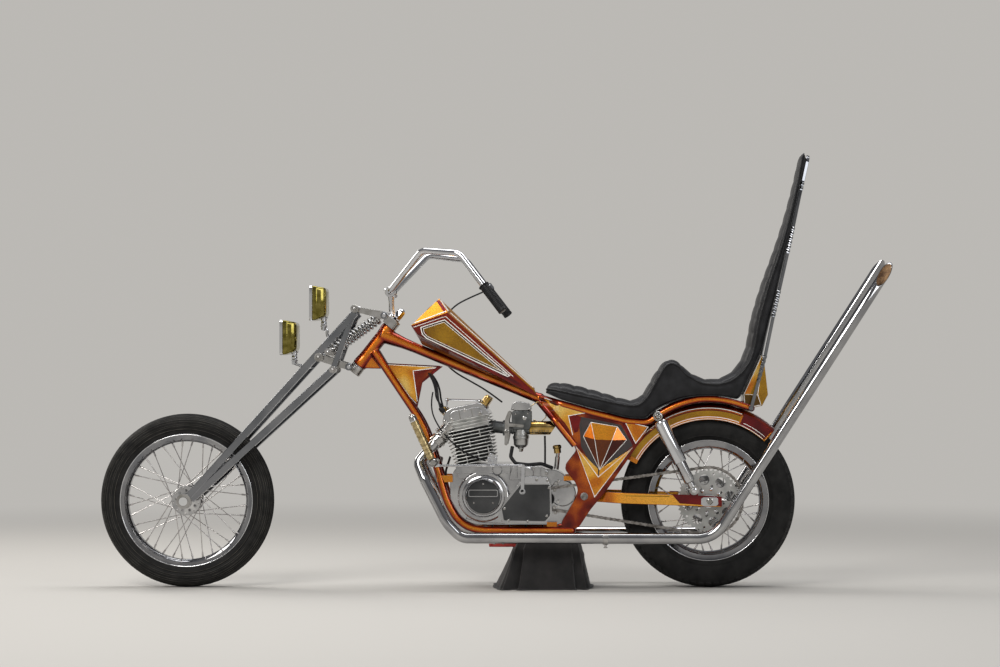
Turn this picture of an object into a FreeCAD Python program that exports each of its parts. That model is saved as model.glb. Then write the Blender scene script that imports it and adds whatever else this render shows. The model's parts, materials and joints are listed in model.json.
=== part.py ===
"""Chopper motorcycle with a girder fork, held upright by a covered stand.

Millimetres.  +Z is up, the machine faces -X, its left side is -Y, and the
origin lies on the floor under the middle of its length.
"""
import FreeCAD
import Part
import math
import os

V = FreeCAD.Vector

# ---------------------------------------------------------------- overall
FRONT_AXLE_X = -1098.0
REAR_AXLE_X = 774.0
FIT = 0.3                # gap between pieces that seat on each other
RUNNING_FIT = 0.06       # radial play of an axle or stem in its bore

# ---------------------------------------------------------------- wheels
FRONT_TYRE_R = 311.5
FRONT_TYRE_W = 84.0
FRONT_RIM_R = 245.0      # to the edge of the rim's flange
FRONT_RIM_W = 66.0
FRONT_HUB_HALF = 44.0
REAR_TYRE_R = 313.0
REAR_TYRE_W = 126.0
REAR_RIM_R = 217.0
REAR_RIM_W = 92.0
REAR_HUB_HALF = 52.0
SPOKES = 36
SPOKE_R = 1.8
SPOKE_GAP = 0.9          # from a spoke's end to the rim's well
AXLE_R = 9.0
FRONT_AXLE_Z = FRONT_TYRE_R
REAR_AXLE_Z = REAR_TYRE_R

# ---------------------------------------------------------------- steering
RAKE = math.radians(38.3)
NECK_X = -482.8          # lower end of the steering neck
NECK_Z = 794.5
NECK_LENGTH = 180.0
NECK_R = 23.0
STEM_R = 12.5
CLAMP_GAP = 1.0          # between the neck's ends and the two clamps
LOWER_CLAMP_H = 30.0
UPPER_CLAMP_H = 30.0
CLAMP_R = 25.0

# ---------------------------------------------------------------- girder fork
GIRDER_Y = 82.0          # from the centre plane to a leg's centre
GIRDER_TUBE = 25.0       # square tube, across its flats
LINK_Y = 56.0
LINK_T = 8.0
FORK_PIN_R = 7.0
GIRDER_STRUT = 22.0      # the short square tube between the legs' tops
GIRDER_EYE_R = 27.0
FRONT_LEG_TOP = (-497.5, 974.0)
REAR_LEG_TOP = (-567.0, 781.0)
# each leg's foot, ahead of and above the axle
FRONT_LEG_FOOT = (12.0, 13.0)
REAR_LEG_FOOT = (26.0, 6.0)
# how far down the front leg, and ahead of its middle
UPPER_LINK_FRONT = (-22.8, 10.5)
LOWER_LINK_FRONT = (191.3, -10.7)
SPRING_FOOT = (154.4, -23.1)
UPPER_LINK_REAR = (-387.0, 975.0)
LOWER_LINK_REAR = (-513.0, 791.0)
SPRING_HEAD = (-413.0, 966.0)
UPPER_LINK_R = 12.5
LINK_ARM_R = 13.0
LOWER_LINK_R = 14.5
LINK_BOSS_R = 14.5       # on the girder, round each link's front pin
SPRING_R = 20.0
SPRING_Y = 26.0
SPRING_SEAT_R = 9.0

# ---------------------------------------------------------------- handlebar
BAR_R = 11.5
GRIP_R = 17.0
GRIP_LENGTH = 118.0
RISER_Y = 34.0
RISER_R = 11.0
RISER_AHEAD = 12.0
THROTTLE_R = 22.0
# x, y, z of each bend on the left side, from the clamps out to the grip's end
BAR_BENDS = (
    (-366.0, -70.0, 1060.0),
    (-244.0, -185.0, 1201.0),
    (-109.0, -252.0, 1188.0),
    (45.0, -318.0, 987.0),
)
BAR_BEND_R = (32.0, 48.0, 48.0)

# ---------------------------------------------------------------- headlamps
LAMP_DEPTH = 60.0
LAMP_H = 126.0
LAMP_W = 150.0
LAMP_FOOT_R = 11.0
LAMP_FOOT_X = 16.0
# x, z of the lamp's middle, then how far down the front leg its cross tube is
LAMPS = (
    ((-730.0, 896.0), 248.0),
    ((-624.0, 1019.0), 113.7),
)

# ---------------------------------------------------------------- frame
BACKBONE_R = 18.5
BACKBONE_FRONT = (-400.0, 909.0)
BACKBONE_REAR = (172.0, 675.5)
RAIL_R = 14.0
RAIL_Y = 95.0            # centre of the bottom rails and the rear plates
RAIL_Z = 208.0
RAIL_END_X = 285.0
PLATE_T = 14.0
# x, y, z down the front of the cradle, left side
DOWNTUBE = (
    (-424.0, -18.0, 846.0),
    (-246.0, -50.0, 583.0),
    (-202.0, -70.0, 448.0),
    (-160.0, -88.0, 310.0),
    (-108.0, -RAIL_Y, 219.0),
    (-20.0, -RAIL_Y, RAIL_Z),
    (RAIL_END_X, -RAIL_Y, RAIL_Z),
)
DOWNTUBE_BEND_R = (400.0, 300.0, 220.0, 120.0, 160.0)
# x, y, z from the backbone's end back to the fender, left side
SEAT_RAIL = (
    (172.0, -8.0, 680.0),
    (240.0, -RAIL_Y, 660.0),
    (350.0, -RAIL_Y, 629.0),
    (476.0, -RAIL_Y, 597.0),
    (556.0, -RAIL_Y, 591.0),
)
SEAT_RAIL_BEND_R = (34.0, 300.0, 200.0, 60.0)
SEAT_RAIL_R = 12.0
LOOP_STEPS = (109.0, 85.0)   # corners of the loop round the fender, in degrees
LOOP_END_DEG = 65.5
LOOP_BARS_DEG = (117.0, 78.0)
LOOP_BAR_R = 8.0
REAR_STRUT = (
    (168.0, -8.0, 666.0),
    (226.0, -RAIL_Y, 600.0),
    (296.0, -RAIL_Y, 512.0),
)
FRONT_GUSSET = ((-392.0, 804.0), (-179.0, 793.0), (-253.0, 734.0), (-272.0, 640.0), (-300.0, 668.0))
NECK_GUSSET = ((-466.0, 786.0), (-386.0, 784.0), (-398.0, 828.0), (-420.0, 868.0), (-440.0, 846.0))
GUSSET_T = 16.0
REAR_PLATE = (
    (222.0, 664.0), (350.0, 629.0), (476.0, 597.0), (562.0, 580.0), (501.0, 485.0),
    (404.0, 345.0), (352.0, 284.0), (307.0, 215.0), (250.0, 208.0), (247.0, 237.0),
    (266.0, 268.0), (307.0, 338.0), (303.0, 372.0), (256.0, 431.0), (303.0, 492.0),
    (289.0, 528.0),
)
GEM_SHARE = 0.82
GEM_RISE = 20.0
PLATE_WINDOW = ((312.0, 612.0), (458.0, 582.0), (499.0, 512.0), (381.0, 402.0), (320.0, 508.0))
PIVOT = (329.0, 330.0)
PIVOT_BOLT_R = 10.0
PIVOT_SLEEVE_R = 19.0
LOOP_LIFT = 13.0         # from the fender to the middle of the loop round it

# ---------------------------------------------------------------- rear end
SWING_ARM_Y = 117.0
SWING_ARM_T = 22.0
SWING_ARM_H = 38.0
FENDER_LIFT = 37.0       # from the tyre to the outside of the fender
FENDER_SKIRT = 23.0      # how far the skirts hang below the tread
FENDER_HALF = 79.0
FENDER_T = 2.5
FENDER_FRONT_DEG = 153.0
FENDER_REAR_DEG = 47.0
SHOCK_TOP_RUN = 42.0     # up the seat rail from its last place
SHOCK_BOTTOM_X = 718.0
SHOCK_BOTTOM_LIFT = 38.8 # above the middle of the swing arm
SHOCK_Y = 140.0
SHOCK_R = 25.0
SHOCK_LOWER_R = 20.0
SHOCK_EYE_R = 17.0
CHAIN_Y = -77.0
CHAIN_W = 14.0
CHAIN_H = 12.0
DRIVE_SPROCKET = (199.0, 320.0)
DRIVE_SPROCKET_R = 29.0
REAR_SPROCKET_R = 113.0
SPROCKET_GAP = 0.7
SPROCKET_T = 6.0
SPROCKET_HOLES = 8
SPROCKET_HOLE_R = 18.0
SPROCKET_HOLE_PITCH_R = 77.0

# ---------------------------------------------------------------- tank
TANK_GAP = 0.6
# x, half width, z: the ring of corners at the tank's front, then at its tail
TANK_FRONT = (
    (-252.0, 34.0, 871.0),
    (-264.0, 112.0, 906.0),
    (-286.0, 122.0, 938.0),
    (-158.0, 98.0, 985.0),
    (-190.0, 44.0, 1036.0),
)
TANK_REAR = (
    (160.0, 27.0, 684.0),
    (150.0, 30.0, 698.0),
    (148.0, 31.0, 705.0),
    (150.0, 28.0, 710.0),
    (150.0, 14.0, 716.0),
)

# ---------------------------------------------------------------- seat
SEAT_CROWN_Z = 676.0      # crown of the fender loop that the seat's places are for
SEAT_HALF = 112.0
BACKREST_HALF = 92.0
SEAT_GAP = 1.0
SEAT_TOP = (
    (196.0, 734.0), (293.0, 722.0), (404.0, 692.0), (500.0, 668.0), (545.0, 700.0),
    (596.0, 785.0), (636.0, 819.0), (697.0, 775.0), (747.0, 748.0), (798.0, 743.0),
    (843.0, 758.0), (872.0, 790.0),
)
BACKREST = (
    (872.0, 790.0), (897.0, 834.0), (915.0, 888.0), (947.0, 1030.0), (997.0, 1173.0), (1065.0, 1388.0),
    (1099.0, 1531.0), (1108.0, 1556.0), (1122.0, 1558.0), (1120.0, 1530.0), (1088.0, 1396.0),
    (1054.0, 1237.0), (993.0, 976.0), (961.0, 850.0), (952.0, 832.0), (884.0, 684.0),
)
SISSY_R = 7.0
SISSY_FOOT_DEG = 66.0    # where each leg stands beside the fender loop
SISSY_FOOT_Y = 122.0
# x, y, z up the left leg of the sissy bar, above its foot
SISSY_LEG = (
    (972.0, -116.0, 830.0),
    (1003.0, -104.0, 976.0),
    (1064.0, -76.0, 1237.0),
    (1098.0, -58.0, 1396.0),
    (1132.0, -38.0, 1545.0),
)
SISSY_TOP_BEND_R = 26.0
TAIL_BOX = ((962.0, 834.0), (896.0, 694.0), (900.0, 640.0), (964.0, 652.0), (985.0, 692.0), (972.0, 806.0))
TAIL_BOX_HALF = 80.0

# ---------------------------------------------------------------- engine
CRANKCASE_HALF = 68.0
CRANKCASE = ((-150.0, 262.0), (-120.0, 226.0), (250.0, 226.0), (296.0, 300.0), (290.0, 372.0), (240.0, 422.0),
             (60.0, 436.0), (-120.0, 442.0), (-150.0, 400.0))
ALTERNATOR = (-29.0, 331.0)
ALTERNATOR_R = 75.0
ALTERNATOR_OUT = 146.0
SPROCKET_COVER = ((52.0, 235.0), (176.0, 235.0), (214.0, 262.0), (214.0, 352.0), (186.0, 392.0), (60.0, 396.0))
SPROCKET_COVER_OUT = 132.0
CLUTCH_COVER = ((-92.0, 268.0), (-40.0, 240.0), (150.0, 240.0), (196.0, 285.0), (190.0, 360.0), (140.0, 396.0),
                (-60.0, 400.0), (-100.0, 350.0))
CLUTCH_COVER_OUT = 140.0
ENGINE_LEAN = 12.0       # degrees forward
DECK_Z = 446.0
BARREL_BASE = (-56.0, 448.0)
BARREL_H = 128.0
BARREL_LENGTH = 172.0    # fore and aft, over the fins
BARREL_HALF = 128.0
FINS = 9
FIN_T = 4.0
HEAD_H = 84.0
PORT_ROOT = (-146.0, 586.0)
PORT_Y = 100.0
PORT_R = 23.0
PORT_GAP = 2.8           # the pipe leaves the stub at a slight angle
PLUG_TIP = (-181.0, 640.0)
PLUG_ROOT = (-150.0, 612.0)
PLUG_Y = 92.0
# middle of each tappet cap in the side view, with the cap's lean in degrees
TAPPET_CAPS = (((-165.0, 628.0), -48.0), ((-22.0, 668.0), 34.0))
TAPPET_R = 15.0
TAPPET_Y = 62.0
CARB_X = 103.0
CARB_Z = 572.0
CARB_Y = 46.0
STACK_R = 24.0
STACK_X = (134.0, 238.0)

# ---------------------------------------------------------------- exhausts
PIPE_R = 19.0
PIPE_WALL = 1.6
PIPE_Y = 190.0
# x, half distance from the centre plane, z
PIPE = (
    (-184.0, PORT_Y, 540.0),
    (-262.0, 116.0, 452.0),
    (-236.0, 152.0, 392.0),
    (-156.0, PIPE_Y, 240.0),
    (-104.0, PIPE_Y, 187.0),
    (786.0, PIPE_Y, 185.0),
    (1413.0, PIPE_Y, 1159.0),
)
PIPE_BEND_R = (30.0, 60.0, 120.0, 60.0, 110.0)
RIGHT_PIPE_EXTRA = 28.0  # the right pipe ends this much further along
SLASH_LENGTH = 101.0     # of the slanted cut across each pipe's end
COLLAR_R = 27.0

# ---------------------------------------------------------------- controls
PEG_ROOT = (-206.0, 452.0)
PEG_TIP = (-280.0, 613.0)
PEG_Y = 152.0
PEG_R = 15.0
SHIFT_ROD_Z = 441.0
SHIFT_ROD_X = (-210.0, 116.0)
CABLE_R = 3.0
# x, y, z from the right grip to the carburettors
CABLE = (
    (-48.7, 286.0, 1069.0),
    (-98.0, 238.0, 1046.0),
    (-152.0, 188.0, 1014.0),
    (-192.0, 154.0, 956.0),
    (-205.0, 124.0, 878.0),
    (-188.0, 76.0, 818.0),
    (-140.0, 38.0, 772.0),
    (-78.0, 14.0, 738.0),
    (-18.0, 4.0, 704.0),
    (34.0, 0.0, 664.0),
)
LEAD_R = 3.5
# x, y, z from the coil under the backbone to a spark plug, left side
PLUG_LEAD = (
    (-222.0, -9.6, 766.0),
    (-218.0, -32.0, 760.0),
    (-204.0, -54.0, 738.0),
    (-194.0, -72.0, 706.0),
    (-192.0, -86.0, 672.0),
    (-182.6, -92.0, 641.4),
)

# ---------------------------------------------------------------- stand
STAND_TOP_Z = 182.0
STAND_HALF = 118.0
STAND_X = (92.0, 300.0)
STAND_BASE_X = (30.0, 350.0)
PAD_X = (-12.0, 84.0)
PAD_Z = (146.0, 180.0)
CLOTH_T = 5.0


# ---------------------------------------------------------------- helpers
def flip(shape):
    """The same piece on the other side of the centre plane."""
    return shape.mirror(V(0, 0, 0), V(0, 1, 0))


def other_side(point):
    return (point[0], -point[1], point[2])


def rod(start, end, radius):
    a, b = V(*start), V(*end)
    return Part.makeCylinder(radius, (b - a).Length, a, b - a)


def cross_rod(place, radius, y0, y1):
    """A round bar along Y at a place in the side view."""
    return Part.makeCylinder(radius, y1 - y0, V(place[0], y0, place[1]), V(0, 1, 0))


def block(x0, x1, y0, y1, z0, z1):
    return Part.makeBox(x1 - x0, y1 - y0, z1 - z0, V(x0, y0, z0))


def plate(outline, y0, y1):
    """A flat plate: an outline in the side view, between two distances."""
    points = [V(x, y0, z) for x, z in outline]
    face = Part.Face(Part.makePolygon(points + points[:1]))
    return face.extrude(V(0, y1 - y0, 0))


def rounded_path(points, radii):
    """Straight runs joined by tangent arcs."""
    knots = [V(*p) for p in points]
    edges = []
    start = knots[0]
    for before, corner, after, radius in zip(knots, knots[1:], knots[2:], radii):
        back = (before - corner).normalize()
        ahead = (after - corner).normalize()
        half = back.getAngle(ahead) / 2
        reach = radius / math.tan(half)
        enter = corner + back * reach
        leave = corner + ahead * reach
        middle = (back + ahead).normalize()
        crown = corner + middle * (radius / math.sin(half) - radius)
        edges.append(Part.LineSegment(start, enter).toShape())
        edges.append(Part.Arc(enter, crown, leave).toShape())
        start = leave
    edges.append(Part.LineSegment(start, knots[-1]).toShape())
    return Part.Wire(edges)


def tube(points, radii, radius):
    """A round tube, or bar, along a path of runs and arcs."""
    path = rounded_path(points, radii)
    ahead = V(*points[1]) - V(*points[0])
    ring = Part.Wire(Part.makeCircle(radius, V(*points[0]), ahead))
    return path.makePipeShell([ring], True, True)


def soft_bends(points, share=0.45):
    """The largest bend radius that each corner's two runs allow."""
    knots = [V(*p) for p in points]
    radii = []
    for before, corner, after in zip(knots, knots[1:], knots[2:]):
        turn = math.pi - (before - corner).getAngle(after - corner)
        shorter = min((before - corner).Length, (after - corner).Length)
        radii.append(share * shorter / math.tan(turn / 2))
    return radii


def square_bar(start, end, y, width):
    """A square tube in the side view between two places."""
    run = V(end[0] - start[0], 0, end[1] - start[1])
    side = V(run.z, 0, -run.x).normalize() * (width / 2)
    a, b = V(start[0], y - width / 2, start[1]), V(end[0], y - width / 2, end[1])
    corners = [a + side, b + side, b - side, a - side]
    return Part.Face(Part.makePolygon(corners + corners[:1])).extrude(V(0, width, 0))


def turned(profile, centre):
    """A solid of revolution about the Y direction, from (radius, y) corners."""
    points = [V(centre[0] + r, y, centre[1]) for r, y in profile]
    face = Part.Face(Part.makePolygon(points + points[:1]))
    return face.revolve(V(centre[0], 0, centre[1]), V(0, 1, 0), 360)


def fused(first, *others):
    return first.fuse(list(others)).removeSplitter()


def on_steering(along, ahead=0.0, y=0.0):
    """A place by its distance up the steering axis and ahead of it."""
    up = V(math.sin(RAKE), 0, math.cos(RAKE))
    forward = V(-math.cos(RAKE), 0, math.sin(RAKE))
    return V(NECK_X, y, NECK_Z) + up * along + forward * ahead


def steering_cylinder(radius, low, high):
    axis = on_steering(1) - on_steering(0)
    return Part.makeCylinder(radius, high - low, on_steering(low), axis)


def line_z(start, end, x):
    """Height of a straight line in the side view at x."""
    return start[1] + (end[1] - start[1]) * (x - start[0]) / (end[0] - start[0])


def loop_point(degrees, stretch=1.0):
    """A place on the frame loop that runs round the fender, left side."""
    turn = math.radians(degrees)
    radius = LOOP_R * stretch
    return (REAR_AXLE_X + radius * math.cos(turn), -RAIL_Y, REAR_AXLE_Z + radius * math.sin(turn))


def on_front_leg(down, ahead=0.0):
    """A place by its distance down the girder's front leg and ahead of it."""
    foot = V(FRONT_AXLE_X + FRONT_LEG_FOOT[0], 0, FRONT_AXLE_Z + FRONT_LEG_FOOT[1])
    top = V(FRONT_LEG_TOP[0], 0, FRONT_LEG_TOP[1])
    run = (top - foot).normalize()
    spot = top - run * down + V(-run.z, 0, run.x) * ahead
    return (spot.x, spot.z)


def between(start, end, run):
    """A place some way along from one (x, y, z) place to another, in the side view."""
    a, b = V(*start), V(*end)
    spot = a + (b - a).normalize() * run
    return (spot.x, spot.z)


def raised(points):
    """Seat places, lifted with the fender loop where they are above it."""
    over = SEAT_RAIL[-1][0]
    return tuple(point[:-1] + (point[-1] + (SEAT_RISE if point[0] > over else 0.0),) for point in points)


def save(name, *shapes):
    solids = [solid for shape in shapes for solid in shape.Solids]
    Part.makeCompound(solids).exportStep("parts/%s.step" % name)


# ---------------------------------------------------------------- places that follow
UPPER_LINK = (on_front_leg(*UPPER_LINK_FRONT), UPPER_LINK_REAR)
LOWER_LINK = (on_front_leg(*LOWER_LINK_FRONT), LOWER_LINK_REAR)
SPRING_ENDS = (on_front_leg(*SPRING_FOOT), SPRING_HEAD)
FENDER_R = REAR_TYRE_R + FENDER_LIFT
FENDER_SKIRT_R = REAR_TYRE_R - FENDER_SKIRT
LOOP_R = FENDER_R + LOOP_LIFT
LOOP_CORNER = 1 / math.cos(math.radians(LOOP_STEPS[0] - LOOP_STEPS[1]) / 2)
SEAT_RISE = REAR_AXLE_Z + LOOP_R - SEAT_CROWN_Z
REAR_AXLE = (REAR_AXLE_X, REAR_AXLE_Z)
SHOCK_TOP = between(SEAT_RAIL[-1], loop_point(LOOP_STEPS[0], LOOP_CORNER), SHOCK_TOP_RUN)
SHOCK_BOTTOM = (SHOCK_BOTTOM_X, line_z(PIVOT, REAR_AXLE, SHOCK_BOTTOM_X) + SHOCK_BOTTOM_LIFT)


# ---------------------------------------------------------------- wheels
def tyre(centre, outer_r, width, rim_r, rim_w):
    """A tyre whose beads sit between the rim's flanges."""
    bead_r = rim_r - 16 + FIT
    bead_y = rim_w / 2 - 4 - FIT
    shoulder_r = rim_r + 0.42 * (outer_r - rim_r)
    knots = [(bead_r, -bead_y), (rim_r + 2, -bead_y), (shoulder_r, -width / 2), (outer_r, 0),
             (shoulder_r, width / 2), (rim_r + 2, bead_y), (bead_r, bead_y)]
    p = [V(centre[0] + r, y, centre[1]) for r, y in knots]
    edges = [
        Part.LineSegment(p[0], p[1]).toShape(),
        Part.LineSegment(p[1], p[2]).toShape(),
        Part.Arc(p[2], p[3], p[4]).toShape(),
        Part.LineSegment(p[4], p[5]).toShape(),
        Part.LineSegment(p[5], p[6]).toShape(),
        Part.LineSegment(p[6], p[0]).toShape(),
    ]
    face = Part.Face(Part.Wire(edges))
    return face.revolve(V(centre[0], 0, centre[1]), V(0, 1, 0), 360)


def rim(centre, rim_r, rim_w):
    half = rim_w / 2
    well = rim_r - 33
    profile = ((rim_r, -half), (rim_r, 4 - half), (rim_r - 16, 4 - half), (rim_r - 16, -half / 2),
               (well + 4, -half / 3), (well + 4, half / 3), (rim_r - 16, half / 2), (rim_r - 16, half - 4),
               (rim_r, half - 4), (rim_r, half), (rim_r - 20, half), (well, half / 3 + 3),
               (well, -half / 3 - 3), (rim_r - 20, -half))
    return turned(profile, centre)


def spoked_hub(centre, half, flange_r, barrel_r, rim_r):
    """A hub with its wire spokes, which reach the rim's well."""
    bore = AXLE_R + RUNNING_FIT
    profile = ((bore, -half), (24, -half), (24, 8 - half), (flange_r, 8 - half), (flange_r, 14 - half),
               (barrel_r, 20 - half), (barrel_r, half - 20), (flange_r, half - 14), (flange_r, half - 8),
               (24, half - 8), (24, half), (bore, half))
    spokes = []
    for index in range(SPOKES):
        side = 1 if index % 2 else -1
        lead = 1 if index % 4 < 2 else -1
        at_rim = 2 * math.pi * (index + 0.5) / SPOKES
        at_hub = at_rim + lead * math.radians(58)
        well = rim_r - 33 - SPOKE_GAP
        start = (centre[0] + (flange_r - 6) * math.cos(at_hub), side * (half - 11),
                 centre[1] + (flange_r - 6) * math.sin(at_hub))
        end = (centre[0] + well * math.cos(at_rim), side * 4.0, centre[1] + well * math.sin(at_rim))
        spokes.append(rod(start, end, SPOKE_R))
    return [turned(profile, centre)] + spokes


def front_wheel():
    centre = (FRONT_AXLE_X, FRONT_AXLE_Z)
    save("front_tyre", tyre(centre, FRONT_TYRE_R, FRONT_TYRE_W, FRONT_RIM_R, FRONT_RIM_W))
    save("front_rim", rim(centre, FRONT_RIM_R, FRONT_RIM_W))
    parts = spoked_hub(centre, FRONT_HUB_HALF, 52, 26, FRONT_RIM_R)
    save("front_hub", parts[0].fuse(parts[1:]))
    reach = GIRDER_Y + GIRDER_TUBE / 2 + 14
    axle = cross_rod(centre, AXLE_R, -reach, reach)
    collars = [cross_rod(centre, 15, FRONT_HUB_HALF + 1, GIRDER_Y - GIRDER_TUBE / 2 - FIT)]
    collars.append(flip(collars[0]))
    nuts = [cross_rod(centre, 15, GIRDER_Y + GIRDER_TUBE / 2 + FIT, reach)]
    nuts.append(flip(nuts[0]))
    save("front_axle", fused(axle, *collars, *nuts))


def rear_wheel():
    centre = (REAR_AXLE_X, REAR_AXLE_Z)
    save("rear_tyre", tyre(centre, REAR_TYRE_R, REAR_TYRE_W, REAR_RIM_R, REAR_RIM_W))
    save("rear_rim", rim(centre, REAR_RIM_R, REAR_RIM_W))
    parts = spoked_hub(centre, REAR_HUB_HALF, 72, 44, REAR_RIM_R)
    save("rear_hub", parts[0].fuse(parts[1:]))
    inner = CHAIN_Y + SPROCKET_T / 2
    disc = cross_rod(centre, REAR_SPROCKET_R, CHAIN_Y - SPROCKET_T / 2, inner)
    carrier = cross_rod(centre, 40, inner, -REAR_HUB_HALF - FIT)
    disc = disc.fuse(carrier)
    disc = disc.cut(cross_rod(centre, AXLE_R + RUNNING_FIT, -200, 0))
    for index in range(SPROCKET_HOLES):
        turn = math.radians(12.5 + 360 / SPROCKET_HOLES * index)
        spot = (centre[0] + SPROCKET_HOLE_PITCH_R * math.cos(turn),
                centre[1] + SPROCKET_HOLE_PITCH_R * math.sin(turn))
        disc = disc.cut(cross_rod(spot, SPROCKET_HOLE_R, -200, 0))
    save("rear_sprocket", disc)


# ---------------------------------------------------------------- front end
def steering():
    """The stem, its two clamps and the domed nut."""
    top = NECK_LENGTH + CLAMP_GAP + UPPER_CLAMP_H
    stem = steering_cylinder(STEM_R, -CLAMP_GAP - LOWER_CLAMP_H / 2, top - 5)
    lower = steering_cylinder(CLAMP_R, -CLAMP_GAP - LOWER_CLAMP_H, -CLAMP_GAP)
    upper = steering_cylinder(CLAMP_R, NECK_LENGTH + CLAMP_GAP, top)
    yoke = [on_steering(NECK_LENGTH + CLAMP_GAP, ahead) for ahead in (-14, RISER_AHEAD + 16)]
    rise = on_steering(top) - on_steering(NECK_LENGTH + CLAMP_GAP)
    ring = [yoke[0], yoke[1], yoke[1] + rise, yoke[0] + rise]
    yoke_half = RISER_Y + RISER_R + 3
    yoke = Part.Face(Part.makePolygon(ring + ring[:1])).extrude(V(0, 2 * yoke_half, 0))
    yoke.translate(V(0, -yoke_half, 0))
    nut = steering_cylinder(17, top, top + 32)
    dome = Part.makeSphere(17, on_steering(top + 32))
    arms = []
    inner = LINK_Y - LINK_T / 2 - FIT
    for place, low in ((LOWER_LINK[1], -CLAMP_GAP - LOWER_CLAMP_H), (UPPER_LINK[1], NECK_LENGTH + CLAMP_GAP)):
        arms.append(cross_rod(place, LINK_ARM_R, -inner, inner))
    for place, along in ((LOWER_LINK[1], -CLAMP_GAP - LOWER_CLAMP_H / 2),
                         (UPPER_LINK[1], NECK_LENGTH + CLAMP_GAP + UPPER_CLAMP_H / 2)):
        centre = on_steering(along)
        arms.append(square_bar((centre.x, centre.z), place, 0, 24))
    (x0, z0), (x1, z1) = SPRING_ENDS
    length = math.hypot(x1 - x0, z1 - z0)
    past = (SPRING_SEAT_R + FIT) / length
    spring_seat = (x1 + (x1 - x0) * past, z1 + (z1 - z0) * past)
    arms.append(cross_rod(spring_seat, SPRING_SEAT_R, -SPRING_Y - SPRING_R, SPRING_Y + SPRING_R))
    pins = []
    for place in (LOWER_LINK[1], UPPER_LINK[1]):
        reach = LINK_Y + LINK_T / 2 + 8
        pins.append(cross_rod(place, FORK_PIN_R, -reach, reach))
    save("steering_stem", fused(stem, lower, upper, yoke, nut, dome, *arms, *pins))


def fork_links():
    """Upper and lower link plates, two of each."""
    plates = []
    for (front, rear), radius in ((UPPER_LINK, UPPER_LINK_R), (LOWER_LINK, LOWER_LINK_R)):
        y0 = LINK_Y - LINK_T / 2
        y1 = LINK_Y + LINK_T / 2
        run = V(rear[0] - front[0], 0, rear[1] - front[1])
        side = V(run.z, 0, -run.x).normalize() * (radius * 0.85)
        corners = [(front[0] + side.x, front[1] + side.z), (rear[0] + side.x, rear[1] + side.z),
                   (rear[0] - side.x, rear[1] - side.z), (front[0] - side.x, front[1] - side.z)]
        link = fused(plate(corners, y0, y1), cross_rod(front, radius, y0, y1), cross_rod(rear, radius, y0, y1))
        for spot in (front, rear):
            link = link.cut(cross_rod(spot, FORK_PIN_R + FIT, y0 - 1, y1 + 1))
        plates += [link, flip(link)]
    save("fork_links", *plates)


def girder(sign):
    """One side of the fork: two legs that meet at the axle, and their struts."""
    y = sign * GIRDER_Y
    half = GIRDER_TUBE / 2
    axle = (FRONT_AXLE_X, FRONT_AXLE_Z)
    front_foot = (axle[0] + FRONT_LEG_FOOT[0], axle[1] + FRONT_LEG_FOOT[1])
    rear_foot = (axle[0] + REAR_LEG_FOOT[0], axle[1] + REAR_LEG_FOOT[1])
    front = square_bar(front_foot, on_front_leg(-LINK_BOSS_R), y, GIRDER_TUBE)
    rear = square_bar(rear_foot, REAR_LEG_TOP, y, GIRDER_TUBE)
    strut = square_bar(REAR_LEG_TOP, FRONT_LEG_TOP, y, GIRDER_STRUT)
    eye = cross_rod(axle, GIRDER_EYE_R, y - half, y + half)
    bosses = [cross_rod(UPPER_LINK[0], LINK_BOSS_R, y - half, y + half),
              cross_rod(LOWER_LINK[0], LINK_BOSS_R + 2, y - half, y + half),
              cross_rod(SPRING_ENDS[0], LINK_BOSS_R, y - half, y + half)]
    side = fused(front, rear, strut, eye, *bosses)
    side = side.cut(cross_rod(axle, AXLE_R + FIT, y - 30, y + 30))
    inner = LINK_Y - LINK_T / 2 - 6
    pins = []
    for spot in (UPPER_LINK[0], LOWER_LINK[0]):
        near, far = sorted((sign * inner, y))
        pins.append(cross_rod(spot, FORK_PIN_R, near, far))
    return fused(side, *pins)


def girders():
    save("girder_left", girder(-1))
    save("girder_right", girder(1))


def fork_springs():
    """Two coil springs between the girder's cross rod and the upper clamp."""
    (x0, z0), (x1, z1) = SPRING_ENDS
    springs = []
    for sign in (-1, 1):
        y = sign * SPRING_Y
        springs.append(rod((x0, y, z0), (x1, y, z1), SPRING_R))
    reach = GIRDER_Y - GIRDER_TUBE / 2 - FIT
    lower = cross_rod((x0, z0), SPRING_SEAT_R, -reach, reach)
    save("fork_springs", fused(springs[0], springs[1], lower))


def headlamp(centre):
    """A rectangular lamp that tapers to its back, on a ball foot."""
    x, z = centre
    half_w, half_h = LAMP_W / 2, LAMP_H / 2
    rings = []
    for at, share, lift in ((-LAMP_DEPTH / 2, 0.86, 0), (8 - LAMP_DEPTH / 2, 1.0, 0), (LAMP_DEPTH / 2, 0.8, 4)):
        corners = ((-half_w, -half_h), (half_w, -half_h), (half_w, half_h), (-half_w, half_h))
        ring = [V(x + at, y * share, z + h * share + lift) for y, h in corners]
        rings.append(Part.makePolygon(ring + ring[:1]))
    shell = Part.makeLoft(rings, True, True)
    neck = Part.makeCylinder(7, 24, V(x + LAMP_FOOT_X, 0, z - half_h - 8), V(0, 0, 1))
    ball = Part.makeSphere(LAMP_FOOT_R, V(x + LAMP_FOOT_X, 0, z - half_h - 8))
    return fused(shell, neck, ball)


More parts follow.
